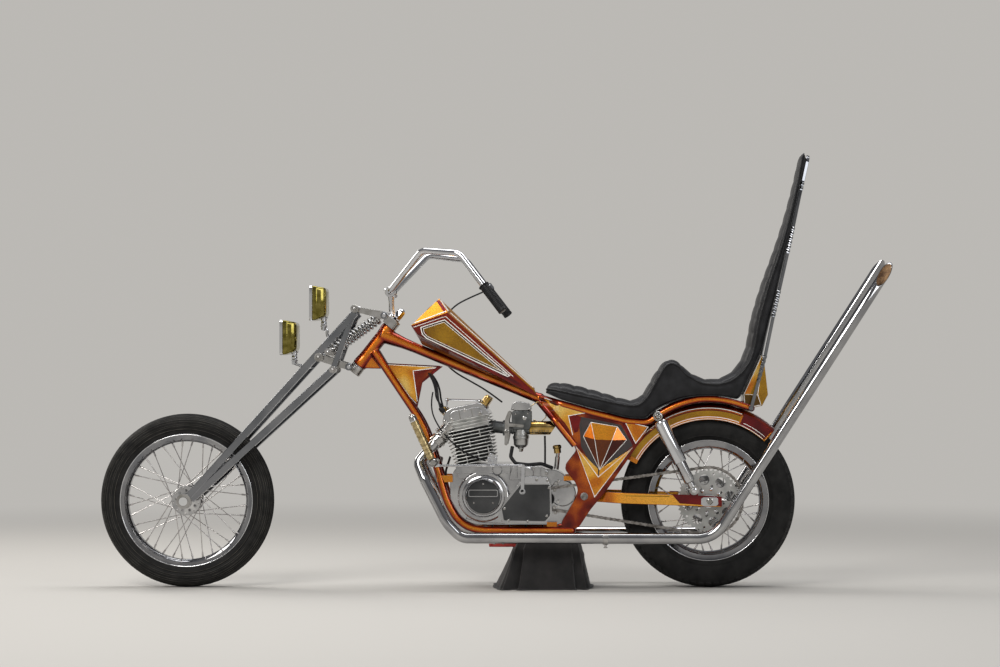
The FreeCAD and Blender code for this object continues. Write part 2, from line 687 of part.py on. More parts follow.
def headlamps():
    lamps = []
    brackets = []
    reach = GIRDER_Y - GIRDER_TUBE / 2 - FIT
    for (x, z), down in LAMPS:
        foot = on_front_leg(down)
        lamps.append(headlamp((x, z)))
        knee = (x + LAMP_FOOT_X, z - LAMP_H / 2 - 8 - LAMP_FOOT_R - FIT)
        cross = cross_rod(foot, 8, -reach, reach)
        stalk = rod((knee[0], 0, knee[1] - 11), (foot[0], 0, foot[1]), 6)
        seat = Part.makeCylinder(9, 12, V(knee[0], 0, knee[1] - 12), V(0, 0, 1))
        brackets.append(fused(cross, stalk, seat))
    save("headlamps", *lamps)
    save("lamp_brackets", *brackets)


def handlebar():
    left = list(BAR_BENDS)
    right = [other_side(p) for p in left]
    path = left[::-1] + right
    radii = (BAR_BEND_R[::-1] + BAR_BEND_R)
    bar = tube(path, radii, BAR_R)
    end, before = V(*left[-1]), V(*left[-2])
    back = (before - end).normalize()
    grips = []
    for sign in (-1, 1):
        start = V(end.x, -sign * end.y, end.z)
        run = V(back.x, -sign * back.y, back.z)
        grip = Part.makeCylinder(GRIP_R, GRIP_LENGTH, start - run * 4, run)
        grips.append(grip.cut(Part.makeCylinder(BAR_R + FIT, GRIP_LENGTH + 10, start, run)))
    save("grips", *grips)
    housing = Part.makeCylinder(THROTTLE_R, 24, V(end.x, -end.y, end.z) + V(back.x, -back.y, back.z) * (GRIP_LENGTH - 4 + FIT),
                                V(back.x, -back.y, back.z))
    top = NECK_LENGTH + CLAMP_GAP + UPPER_CLAMP_H + FIT
    below = [on_steering(along, ahead) for along, ahead in ((top, -90), (top, 90), (top - 60, 90), (top - 60, -90))]
    yoke_space = plate([(p.x, p.z) for p in below], -100, 100)
    link_space = cross_rod(UPPER_LINK[1], LINK_ARM_R + FIT, -100, 100)
    clamp = BAR_BENDS[0]
    risers = []
    for sign in (-1, 1):
        foot = on_steering(top - 12, RISER_AHEAD, sign * RISER_Y)
        post = rod(tuple(foot), (clamp[0], sign * RISER_Y, clamp[2]), RISER_R).cut([yoke_space, link_space])
        cap = cross_rod((clamp[0], clamp[2]), BAR_R + 8, sign * RISER_Y - 12, sign * RISER_Y + 12)
        risers += [post, cap]
    save("handlebar", bar.fuse(risers + [housing]))


# ---------------------------------------------------------------- frame
def neck_axis_tube():
    return steering_cylinder(NECK_R, 0, NECK_LENGTH)


def frame_side():
    """Everything of the frame on the left: downtube, rails, plate and loop."""
    down = tube(DOWNTUBE, DOWNTUBE_BEND_R, RAIL_R)
    corners = tuple(loop_point(degrees, LOOP_CORNER) for degrees in LOOP_STEPS)
    path = SEAT_RAIL + corners + (loop_point(LOOP_END_DEG),)
    rail = tube(path, SEAT_RAIL_BEND_R + (LOOP_R * 0.97,) * len(LOOP_STEPS), SEAT_RAIL_R)
    strut = tube(REAR_STRUT, (40.0,), RAIL_R - 1)
    y0 = -RAIL_Y - PLATE_T / 2
    y1 = -RAIL_Y + PLATE_T / 2
    side_plate = plate(REAR_PLATE, y0, y1).cut(plate(PLATE_WINDOW, y0 - 1, y1 + 1))
    side_plate = side_plate.cut(cross_rod(PIVOT, PIVOT_BOLT_R + FIT, y0 - 1, y1 + 1))
    mount_in = -CRANKCASE_HALF - FIT
    front_mount = block(-196, -140, -88, mount_in, 380, 404)
    rear_mount = block(256, 302, y1 - 1, mount_in, 386, 402)
    low_mount = block(196, 232, -RAIL_Y, mount_in, RAIL_Z + 4, RAIL_Z + 30)
    return [down, rail, strut, side_plate, front_mount, rear_mount, low_mount]


def main_frame():
    left = frame_side()
    pieces = left + [flip(piece) for piece in left]
    backbone = rod((BACKBONE_FRONT[0], 0, BACKBONE_FRONT[1]), (BACKBONE_REAR[0], 0, BACKBONE_REAR[1]), BACKBONE_R)
    pieces += [backbone, plate(FRONT_GUSSET, -GUSSET_T / 2, GUSSET_T / 2), plate(NECK_GUSSET, -GUSSET_T, GUSSET_T)]
    bars = ((-30.0, RAIL_Z), (228.0, RAIL_Z))
    pieces += [cross_rod(spot, 9, -RAIL_Y, RAIL_Y) for spot in bars]
    for degrees in LOOP_BARS_DEG:
        turn = math.radians(degrees)
        radius = FENDER_R + FIT + LOOP_BAR_R
        spot = (REAR_AXLE_X + radius * math.cos(turn), REAR_AXLE_Z + radius * math.sin(turn))
        pieces.append(cross_rod(spot, LOOP_BAR_R, -RAIL_Y, RAIL_Y))
    pieces.append(Part.makeSphere(BACKBONE_R + 2, V(BACKBONE_REAR[0] - 4, 0, BACKBONE_REAR[1] + 2)))
    frame = neck_axis_tube().fuse(pieces)
    frame = frame.cut(steering_cylinder(STEM_R + RUNNING_FIT, -20, NECK_LENGTH + 20))
    frame = frame.cut(steering_cylinder(CLAMP_R + 3, -60, -0.0))
    save("main_frame", frame)
    return frame


def side_covers():
    """A faceted cover that fills the window of each rear plate."""
    outer = -RAIL_Y - PLATE_T / 2
    middle = V(sum(x for x, z in PLATE_WINDOW) / len(PLATE_WINDOW), 0, sum(z for x, z in PLATE_WINDOW) / len(PLATE_WINDOW))
    rings = []
    for share, y in ((1.0, outer), (GEM_SHARE, outer), (GEM_SHARE * 0.55, outer - GEM_RISE)):
        ring = []
        for x, z in PLATE_WINDOW:
            away = V(x, 0, z) - middle
            length = away.Length
            away = away * ((length - 1.6) / length * share)
            ring.append(V(middle.x + away.x, y, middle.z + away.z))
        rings.append(ring)
    base = Part.Face(Part.makePolygon(rings[0] + rings[0][:1])).extrude(V(0, PLATE_T - 4, 0))
    gem = Part.makeLoft([Part.makePolygon(ring + ring[:1]) for ring in rings[1:]], True, True)
    cover = fused(base, gem)
    save("side_covers", cover, flip(cover))


# ---------------------------------------------------------------- rear end
def swing_arm():
    axle = (REAR_AXLE_X, REAR_AXLE_Z)
    reach = SWING_ARM_Y + SWING_ARM_T / 2
    inner = SWING_ARM_Y - SWING_ARM_T / 2
    bolt = cross_rod(PIVOT, PIVOT_BOLT_R, -reach - 6, reach + 6)
    sleeve_end = RAIL_Y - PLATE_T / 2 - FIT
    sleeve = cross_rod(PIVOT, PIVOT_SLEEVE_R, -sleeve_end, sleeve_end)
    pieces = [bolt, sleeve]
    half = SWING_ARM_H / 2
    for sign in (-1, 1):
        y0, y1 = sorted((sign * inner, sign * reach))
        outline = ((PIVOT[0], PIVOT[1] - half), (axle[0] + 44, axle[1] - half), (axle[0] + 44, axle[1] + half),
                   (PIVOT[0], PIVOT[1] + half))
        pieces.append(plate(outline, y0, y1))
        pieces.append(cross_rod(PIVOT, half, y0, y1))
        lug = SHOCK_BOTTOM
        z_arm = line_z(PIVOT, axle, lug[0]) + half - 4
        pieces.append(block(lug[0] - 12, lug[0] + 12, y0, y1, z_arm, lug[1] + 8))
        near, far = sorted((sign * inner, sign * (SHOCK_Y + 18)))
        pieces.append(cross_rod(lug, 6, near, far))
        spacer_in = 86.0 if sign < 0 else REAR_HUB_HALF + 1.0
        near, far = sorted((sign * spacer_in, sign * inner))
        pieces.append(cross_rod(axle, 15, near, far))
        near, far = sorted((sign * reach, sign * (reach + 12)))
        pieces.append(cross_rod(axle, 15, near, far))
    pieces.append(cross_rod(axle, AXLE_R, -reach - 18, reach + 18))
    save("swing_arm", pieces[0].fuse(pieces[1:]))


def rear_fender():
    """A crowned band round the rear tyre, open below."""
    half = FENDER_HALF
    crown = FENDER_R
    outer = [(FENDER_SKIRT_R, -half), (crown - 16, -half), (crown, -half + 22), (crown, half - 22),
             (crown - 16, half), (FENDER_SKIRT_R, half)]
    t = FENDER_T
    inner = [(FENDER_SKIRT_R, half - t), (crown - 16 - t, half - t), (crown - t, half - 22 - t / 2),
             (crown - t, -half + 22 + t / 2), (crown - 16 - t, -half + t), (FENDER_SKIRT_R, -half + t)]
    turn = math.radians(FENDER_REAR_DEG)
    along = V(math.cos(turn), 0, math.sin(turn))
    hub = V(REAR_AXLE_X, 0, REAR_AXLE_Z)
    points = [hub + along * r + V(0, y, 0) for r, y in outer + inner]
    face = Part.Face(Part.makePolygon(points + points[:1]))
    fender = face.revolve(hub, V(0, -1, 0), FENDER_FRONT_DEG - FENDER_REAR_DEG)
    save("rear_fender", fender)


def shock_absorbers():
    units = []
    top, bottom = V(SHOCK_TOP[0], 0, SHOCK_TOP[1]), V(SHOCK_BOTTOM[0], 0, SHOCK_BOTTOM[1])
    down = (bottom - top).normalize()
    length = (bottom - top).Length
    for sign in (-1, 1):
        y = sign * SHOCK_Y
        start = V(top.x, y, top.z)
        cover = Part.makeCylinder(SHOCK_R, length * 0.66, start + down * 18, down)
        body = Part.makeCylinder(SHOCK_LOWER_R, length - 32 - length * 0.62, start + down * (length * 0.62), down)
        eyes = [cross_rod(spot, SHOCK_EYE_R, y - 11, y + 11) for spot in (SHOCK_TOP, SHOCK_BOTTOM)]
        necks = [Part.makeCylinder(10, length - 10, start + down * 5, down)]
        unit = fused(cover, body, *eyes, *necks)
        unit = unit.cut(cross_rod(SHOCK_BOTTOM, 6 + FIT, y - 40, y + 40))
        near, far = sorted((sign * (RAIL_Y + SEAT_RAIL_R + FIT), y))
        stud = cross_rod(SHOCK_TOP, 7, near, far)
        units.append(fused(unit, stud))
    save("shock_absorbers", *units)


def belt_face(c1, r1, c2, r2, y):
    """The outline of a belt round two circles, as a face in the side view."""
    run = V(c2[0] - c1[0], 0, c2[1] - c1[1])
    base = math.atan2(run.z, run.x)
    swing = math.acos((r1 - r2) / run.Length)
    up, low = base + swing, base - swing

    def spot(c, r, turn):
        return V(c[0] + r * math.cos(turn), y, c[1] + r * math.sin(turn))

    edges = [
        Part.LineSegment(spot(c1, r1, up), spot(c2, r2, up)).toShape(),
        Part.Arc(spot(c2, r2, up), spot(c2, r2, base), spot(c2, r2, low)).toShape(),
        Part.LineSegment(spot(c2, r2, low), spot(c1, r1, low)).toShape(),
        Part.Arc(spot(c1, r1, low), spot(c1, r1, base + math.pi), spot(c1, r1, up)).toShape(),
    ]
    return Part.Face(Part.Wire(edges))


def chain_prism(margin, y0, y1):
    axle = (REAR_AXLE_X, REAR_AXLE_Z)
    inner = SPROCKET_GAP + margin
    face = belt_face(DRIVE_SPROCKET, DRIVE_SPROCKET_R + inner, axle, REAR_SPROCKET_R + inner, y0)
    return face.extrude(V(0, y1 - y0, 0))


def drive_chain():
    y0 = CHAIN_Y - CHAIN_W / 2
    y1 = CHAIN_Y + CHAIN_W / 2
    save("drive_chain", chain_prism(CHAIN_H, y0, y1).cut(chain_prism(0, y0 - 1, y1 + 1)))


# ---------------------------------------------------------------- tank and seat
def facets(corners, triangles):
    faces = []
    for triangle in triangles:
        points = [corners[i] for i in triangle]
        faces.append(Part.Face(Part.makePolygon(points + points[:1])))
    return Part.Solid(Part.Shell(faces))


def fuel_tank():
    """A coffin-shaped prism that tapers to the rear, astride the backbone."""
    count = len(TANK_FRONT)
    corners = []
    for ring in (TANK_FRONT, TANK_REAR):
        corners += [V(x, -y, z) for x, y, z in ring]
        corners += [V(x, y, z) for x, y, z in reversed(ring)]
    size = 2 * count
    triangles = []
    for i in range(size):
        j = (i + 1) % size
        triangles.append((i, size + i, j))
        triangles.append((j, size + i, size + j))
    triangles += [(2, 3, 4), (0, 1, 2), (0, 2, 4), (7, 6, 5), (9, 8, 7), (9, 7, 5), (0, 4, 5), (0, 5, 9)]
    triangles += [(size, size + i, size + i + 1) for i in range(1, size - 1)]
    tank = facets(corners, triangles)
    if tank.Volume < 0:
        tank.reverse()
    start = (BACKBONE_FRONT[0], 0, BACKBONE_FRONT[1])
    end = (BACKBONE_REAR[0] + 40, 0, line_z(BACKBONE_FRONT, BACKBONE_REAR, BACKBONE_REAR[0] + 40))
    tank = tank.cut(rod(start, end, BACKBONE_R + TANK_GAP))
    solids = sorted(tank.Solids, key=lambda s: s.Volume)
    tank = solids[-1].cut(Part.makeSphere(BACKBONE_R + 3 + TANK_GAP, V(BACKBONE_REAR[0] - 4, 0, BACKBONE_REAR[1] + 2)))
    save("fuel_tank", tank)


def seat():
    """The stepped seat and the tall backrest that grows out of it."""
    lift = SEAT_RAIL_R + SEAT_GAP
    rail = [(x, z + lift) for x, y, z in SEAT_RAIL[1:]]
    under = [V(194.0, 0, 706.0)] + [V(x, 0, z) for x, z in rail[:-1]]
    radius = LOOP_R + SEAT_RAIL_R + SEAT_GAP
    arc = []
    for degrees in (121, 97, 74):
        turn = math.radians(degrees)
        arc.append(V(REAR_AXLE_X + radius * math.cos(turn), 0, REAR_AXLE_Z + radius * math.sin(turn)))
    knots = under + [V(548.0, 0, SEAT_RAIL[-1][2] + lift + 2)]
    edges = [Part.LineSegment(a, b).toShape() for a, b in zip(knots, knots[1:] + arc[:1])]
    edges.append(Part.Arc(*arc).toShape())
    top = [V(x, 0, z) for x, z in reversed(raised(SEAT_TOP))]
    rest = [arc[-1]] + top + [under[0]]
    edges += [Part.LineSegment(a, b).toShape() for a, b in zip(rest, rest[1:])]
    face = Part.Face(Part.Wire(edges))
    face.translate(V(0, -SEAT_HALF, 0))
    cushion = face.extrude(V(0, 2 * SEAT_HALF, 0))
    back = plate(raised(BACKREST), -BACKREST_HALF, BACKREST_HALF)
    save("seat", fused(cushion, back))


def sissy_bar():
    x, y, z = loop_point(SISSY_FOOT_DEG)
    left = [(x, -SISSY_FOOT_Y, z)] + list(raised(SISSY_LEG))
    path = left + [other_side(p) for p in reversed(left)]
    gentle = soft_bends(left)
    bar = tube(path, gentle + [SISSY_TOP_BEND_R, SISSY_TOP_BEND_R] + gentle[::-1], SISSY_R)
    lug = cross_rod((x, z), 9, -SISSY_FOOT_Y, -RAIL_Y - SEAT_RAIL_R - FIT)
    save("sissy_bar", fused(bar, lug, flip(lug)))


def tail_box():
    save("tail_box", plate(raised(TAIL_BOX), -TAIL_BOX_HALF, TAIL_BOX_HALF))


# ---------------------------------------------------------------- engine
def leaned(shape):
    """Lean a piece of the engine's top forward about the barrel's foot."""
    base = V(BARREL_BASE[0], 0, BARREL_BASE[1])
    return shape.rotate(base, V(0, 1, 0), -ENGINE_LEAN)


def crankcase():
    case = plate(CRANKCASE, -CRANKCASE_HALF, CRANKCASE_HALF)
    shaft = cross_rod(DRIVE_SPROCKET, DRIVE_SPROCKET_R, CHAIN_Y - CHAIN_W / 2, -CRANKCASE_HALF)
    upper = block(-128, 66, -112, 112, 410, DECK_Z)
    save("crankcase", fused(case, shaft, upper))


def engine_covers():
    inner = CRANKCASE_HALF + FIT
    disc = cross_rod(ALTERNATOR, ALTERNATOR_R, -ALTERNATOR_OUT + 14, -inner)
    face = cross_rod(ALTERNATOR, ALTERNATOR_R - 14, -ALTERNATOR_OUT, -ALTERNATOR_OUT + 14)
    save("alternator_cover", fused(disc, face))
    cover = plate(SPROCKET_COVER, -SPROCKET_COVER_OUT, -inner)
    cover = cover.cut(cross_rod(ALTERNATOR, ALTERNATOR_R + FIT, -200, 0))
    cover = cover.cut(chain_prism(CHAIN_H + 3, CHAIN_Y - CHAIN_W / 2 - 4, -inner + 1))
    save("sprocket_cover", cover)
    save("clutch_cover", plate(CLUTCH_COVER, inner, CLUTCH_COVER_OUT))


def port_stub(sign, grow=0.0):
    """The short pipe that the head holds each exhaust by."""
    root = V(PORT_ROOT[0], sign * PORT_Y, PORT_ROOT[1])
    end = V(PIPE[0][0], sign * PORT_Y, PIPE[0][2])
    return Part.makeCylinder(PORT_R + grow, (end - root).Length - PORT_GAP, root, end - root)


def cylinder_barrel():
    x, z = BARREL_BASE
    core = block(x - 62, x + 62, -BARREL_HALF + 22, BARREL_HALF - 22, z, z + BARREL_H)
    step = (BARREL_H - FIN_T) / (FINS - 1)
    fins = []
    for index in range(FINS):
        low = z + index * step
        half = BARREL_LENGTH / 2 * (0.86 + 0.14 * index / (FINS - 1))
        fins.append(block(x - half, x + half, -BARREL_HALF, BARREL_HALF, low, low + FIN_T))
    barrel = leaned(core.fuse(fins))
    floor = block(-400, 400, -300, 300, 300, DECK_Z + FIT)
    barrel = barrel.cut([floor, port_stub(-1, FIT), port_stub(1, FIT)])
    save("cylinder_barrel", barrel)
    return barrel


def tappet_axis(lean):
    turn = math.radians(lean)
    return V(math.sin(turn), 0, math.cos(turn))


def cylinder_head():
    x, z = BARREL_BASE
    base = z + BARREL_H + FIT
    outline = ((x - 86, base), (x + 86, base), (x + 86, base + 34), (x + 62, base + HEAD_H), (x - 58, base + HEAD_H),
               (x - 86, base + 34))
    head = leaned(plate(outline, -BARREL_HALF + 6, BARREL_HALF - 6))
    added = [port_stub(-1), port_stub(1)]
    caps = []
    seats = []
    for sign in (-1, 1):
        root = (PLUG_ROOT[0], sign * PLUG_Y, PLUG_ROOT[1])
        added.append(rod(root, (PLUG_TIP[0], sign * PLUG_Y, PLUG_TIP[1]), 8))
        for (px, pz), lean in TAPPET_CAPS:
            axis = tappet_axis(lean)
            spot = V(px, sign * TAPPET_Y, pz)
            added.append(Part.makeCylinder(TAPPET_R + 4, 32, spot - axis * 46, axis))
            caps.append(Part.makeCylinder(TAPPET_R, 34, spot - axis * 14, axis))
            seats.append(Part.makeCylinder(TAPPET_R + FIT, 80, spot - axis * (14 + FIT), axis))
    head = head.fuse(added).cut(seats)
    save("cylinder_head", head)
    save("tappet_caps", *caps)
    return head


def carburettors(head, barrel):
    """Two carburettors, each bolted to the head, and their open air stacks."""
    carbs = []
    stacks = []
    for sign in (-1, 1):
        y = sign * CARB_Y
        body = Part.makeCylinder(27, 96, V(CARB_X, y, 544), V(0, 0, 1))
        bowl = Part.makeCylinder(20, 40, V(CARB_X - 3, y, 505), V(0, 0, 1))
        cap = Part.makeCylinder(36, 26, V(CARB_X, y, 636), V(0, 0, 1))
        throat = Part.makeCylinder(21, STACK_X[0] - 46 - FIT, V(46, y, CARB_Z), V(1, 0, 0))
        flange = Part.makeCylinder(27, 16, V(38, y, CARB_Z), V(1, 0, 0))
        intake = Part.makeCylinder(22, 60, V(-20, y, CARB_Z), V(1, 0, 0)).cut([head, barrel])
        intake = max(intake.Solids, key=lambda solid: solid.BoundBox.XMax)
        carbs.append(fused(body, bowl, cap, throat, flange, intake))
        length = STACK_X[1] - STACK_X[0]
        stack = Part.makeCylinder(STACK_R, length, V(STACK_X[0], y, CARB_Z), V(1, 0, 0))
        stack = stack.cut(Part.makeCylinder(STACK_R - 2, length, V(STACK_X[0] + 3, y, CARB_Z), V(1, 0, 0)))
        stacks.append(stack)
    save("carburettors", *carbs)
    save("air_stacks", *stacks)


# ---------------------------------------------------------------- exhausts
def exhaust(sign):
    path = [(x, sign * y, z) for x, y, z in PIPE]
    run = (V(*path[-1]) - V(*path[-2])).normalize()
    tip = V(*path[-1]) + run * (RIGHT_PIPE_EXTRA if sign > 0 else 0.0)
    path[-1] = tuple(tip)
    outer = tube(path, PIPE_BEND_R, PIPE_R)
    inner = tube(path, PIPE_BEND_R, PIPE_R - PIPE_WALL)
    pipe = outer.cut(inner)
    outward = V(0, sign, 0)
    facing = run * (2 * PIPE_R) + outward * SLASH_LENGTH
    pipe = pipe.cut(Part.makeCylinder(3 * SLASH_LENGTH, SLASH_LENGTH, tip - run * (SLASH_LENGTH / 2), facing))
    start, ahead = V(*path[0]), (V(*path[1]) - V(*path[0])).normalize()
    collar = Part.makeCylinder(COLLAR_R, 26, start + ahead * 2, ahead)
    collar = collar.cut(Part.makeCylinder(PIPE_R, 40, start - ahead * 2, ahead))
    return pipe.fuse(collar)


def exhausts():
    save("exhaust_left", exhaust(-1))
    save("exhaust_right", exhaust(1))


# ---------------------------------------------------------------- controls
def foot_pegs():
    pegs = []
    for sign in (-1, 1):
        root = (PEG_ROOT[0], sign * PEG_Y, PEG_ROOT[1])
        tip = (PEG_TIP[0], sign * PEG_Y, PEG_TIP[1])
        near, far = sorted((sign * 84.2, sign * (PEG_Y + 12)))
        bar = cross_rod(PEG_ROOT, 7, near, far)
        pegs.append(fused(rod(root, tip, PEG_R), bar, Part.makeSphere(13, V(*tip))))
    save("foot_pegs", *pegs)


def shift_rod():
    y = -PEG_Y + 2
    bar = rod((SHIFT_ROD_X[0], y, SHIFT_ROD_Z), (SHIFT_ROD_X[1], y, SHIFT_ROD_Z), 4)
    lever = square_bar((SHIFT_ROD_X[1] - 3, SHIFT_ROD_Z + 4), (110.0, 350.0), y, 10)
    shaft = cross_rod((110.0, 350.0), 7, y - 5, -SPROCKET_COVER_OUT - FIT)
    save("shift_rod", fused(bar, lever, shaft))


def cables():
    save("control_cable", tube(CABLE, soft_bends(CABLE), CABLE_R))
    lead = tube(PLUG_LEAD, soft_bends(PLUG_LEAD), LEAD_R)
    save("plug_leads", lead, flip(lead))


# ---------------------------------------------------------------- stand
def stand():
    """A block under the frame's rails, a red pad ahead of it and its cloth."""
    core = block(STAND_X[0] + 14, STAND_X[1] - 14, -STAND_HALF + 14, STAND_HALF - 14, 0, STAND_TOP_Z)
    save("stand_block", core)
    pad = block(PAD_X[0], STAND_X[0] + 14 - FIT, -60, 60, PAD_Z[0], PAD_Z[1])
    save("stand_pad", pad)
    low, high = 0.0, RAIL_Z - RAIL_R - FIT
    bottom = [V(x, y, low) for x, y in ((STAND_BASE_X[0], -STAND_HALF - 40), (STAND_BASE_X[1], -STAND_HALF - 40),
                                       (STAND_BASE_X[1], STAND_HALF + 40), (STAND_BASE_X[0], STAND_HALF + 40))]
    top = [V(x, y, high) for x, y in ((STAND_X[0], -STAND_HALF), (STAND_X[1], -STAND_HALF),
                                     (STAND_X[1], STAND_HALF), (STAND_X[0], STAND_HALF))]
    hull = Part.makeLoft([Part.makePolygon(r + r[:1]) for r in (bottom, top)], True, True)
    inside = block(STAND_X[0] + 14 - FIT, STAND_X[1] - 14 + FIT, -STAND_HALF + 14 - FIT, STAND_HALF - 14 + FIT,
                   -1, STAND_TOP_Z + FIT)
    cover = hull.cut(inside)
    cover = cover.cut(block(PAD_X[0] - 5, STAND_X[0] + 20, -60 - FIT, 60 + FIT, PAD_Z[0] - FIT, PAD_Z[1] + FIT))
    save("stand_cover", cover)


def build():
    os.makedirs("parts", exist_ok=True)
    front_wheel()
    rear_wheel()
    steering()
    fork_links()
    girders()
    fork_springs()
    headlamps()
    handlebar()
    main_frame()
    side_covers()
    swing_arm()
    rear_fender()
    shock_absorbers()
    drive_chain()
    fuel_tank()
    seat()
    sissy_bar()
    tail_box()
    crankcase()
    engine_covers()
    barrel = cylinder_barrel()
    head = cylinder_head()
    carburettors(head, barrel)
    exhausts()
    foot_pegs()
    shift_rod()
    cables()
    stand()


build()
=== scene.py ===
"""Looks of the chopper motorcycle and its covered stand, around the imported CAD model.

Metres.  -X is the front of the machine, -Y its left side, +Z is up.
"""
import json
import math
import random

import bmesh
import bpy
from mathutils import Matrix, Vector
from mathutils.bvhtree import BVHTree
from mathutils.geometry import delaunay_2d_cdt


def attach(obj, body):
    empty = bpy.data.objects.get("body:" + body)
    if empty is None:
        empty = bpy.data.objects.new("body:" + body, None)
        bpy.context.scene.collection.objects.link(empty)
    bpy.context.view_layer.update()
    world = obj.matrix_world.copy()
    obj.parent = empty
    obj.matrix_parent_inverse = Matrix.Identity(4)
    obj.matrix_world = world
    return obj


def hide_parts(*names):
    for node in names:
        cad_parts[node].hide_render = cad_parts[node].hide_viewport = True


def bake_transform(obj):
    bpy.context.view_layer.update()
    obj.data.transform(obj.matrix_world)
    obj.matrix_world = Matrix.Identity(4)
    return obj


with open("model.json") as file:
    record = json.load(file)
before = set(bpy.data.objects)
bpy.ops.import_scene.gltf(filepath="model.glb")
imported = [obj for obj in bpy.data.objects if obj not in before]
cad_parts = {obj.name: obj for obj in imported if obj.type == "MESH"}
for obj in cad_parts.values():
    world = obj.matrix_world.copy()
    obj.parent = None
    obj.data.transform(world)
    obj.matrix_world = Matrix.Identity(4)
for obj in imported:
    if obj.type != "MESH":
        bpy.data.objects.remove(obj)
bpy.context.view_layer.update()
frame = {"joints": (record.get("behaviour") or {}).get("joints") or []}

MM = 0.001
JOINTS = {joint["name"]: joint for joint in frame["joints"]}
FRONT_AXLE = Vector(JOINTS["front_wheel_spin"]["pos_m"])
REAR_AXLE = Vector(JOINTS["rear_wheel_spin"]["pos_m"])
NECK = Vector(JOINTS["steering"]["pos_m"])
STEER_UP = Vector(JOINTS["steering"]["axis"]).normalized()
STEER_AHEAD = Vector((-STEER_UP.z, 0, STEER_UP.x))
SIDES = (-1, 1)
FRONT_AXLE_MM = (FRONT_AXLE.x / MM, FRONT_AXLE.z / MM)
REAR_AXLE_MM = (REAR_AXLE.x / MM, REAR_AXLE.z / MM)


def shader(name, slot, colour, metallic=0.0, roughness=0.5, coat=0.0, **sockets):
    made = bpy.data.materials.new(name)
    made.use_nodes = True
    node = made.node_tree.nodes["Principled BSDF"]
    node.inputs["Base Color"].default_value = (*colour, 1)
    node.inputs["Metallic"].default_value = metallic
    node.inputs["Roughness"].default_value = roughness
    node.inputs["Coat Weight"].default_value = coat
    for socket, value in sockets.items():
        node.inputs[socket.replace("_", " ")].default_value = value
    return made


def node_of(made, kind, **values):
    """A node of a material or world, with its sockets and settings filled in."""
    node = made.node_tree.nodes.new(kind)
    for key, value in values.items():
        socket = key.replace("_", " ")
        if socket in node.inputs:
            node.inputs[socket].default_value = value
        else:
            setattr(node, key, value)
    return node


def wire(made, a, out, b, into):
    made.node_tree.links.new(a.outputs[out], b.inputs[into])


def bsdf(made):
    return made.node_tree.nodes["Principled BSDF"]


def ramp_node(made, stops):
    node = node_of(made, "ShaderNodeValToRGB")
    elements = node.color_ramp.elements
    while len(elements) < len(stops):
        elements.new(0.5)
    for element, (place, colour) in zip(elements, stops):
        element.position = place
        element.color = (*colour, 1)
    return node


def mottled(name, slot, colour, low, high, scale, rough=None, bump=0.0, fine=None, **look):
    """A material whose colour, roughness and height vary with object-space noise."""
    made = shader(name, slot, colour, **look)
    place = node_of(made, "ShaderNodeTexCoord")
    noise = node_of(made, "ShaderNodeTexNoise", Scale=scale, Detail=4.0)
    wire(made, place, "Object", noise, "Vector")
    colours = ramp_node(made, ((0.35, low), (0.65, high)))
    wire(made, noise, "Fac", colours, "Fac")
    wire(made, colours, "Color", bsdf(made), "Base Color")
    if rough:
        span = node_of(made, "ShaderNodeMapRange", To_Min=rough[0], To_Max=rough[1])
        wire(made, noise, "Fac", span, "Value")
        wire(made, span, "Result", bsdf(made), "Roughness")
    if bump:
        height = node_of(made, "ShaderNodeTexNoise", Scale=fine or scale * 8, Detail=6.0)
        wire(made, place, "Object", height, "Vector")
        raised = node_of(made, "ShaderNodeBump", Strength=bump, Distance=0.001)
        wire(made, height, "Fac", raised, "Height")
        wire(made, raised, "Normal", bsdf(made), "Normal")
    return made


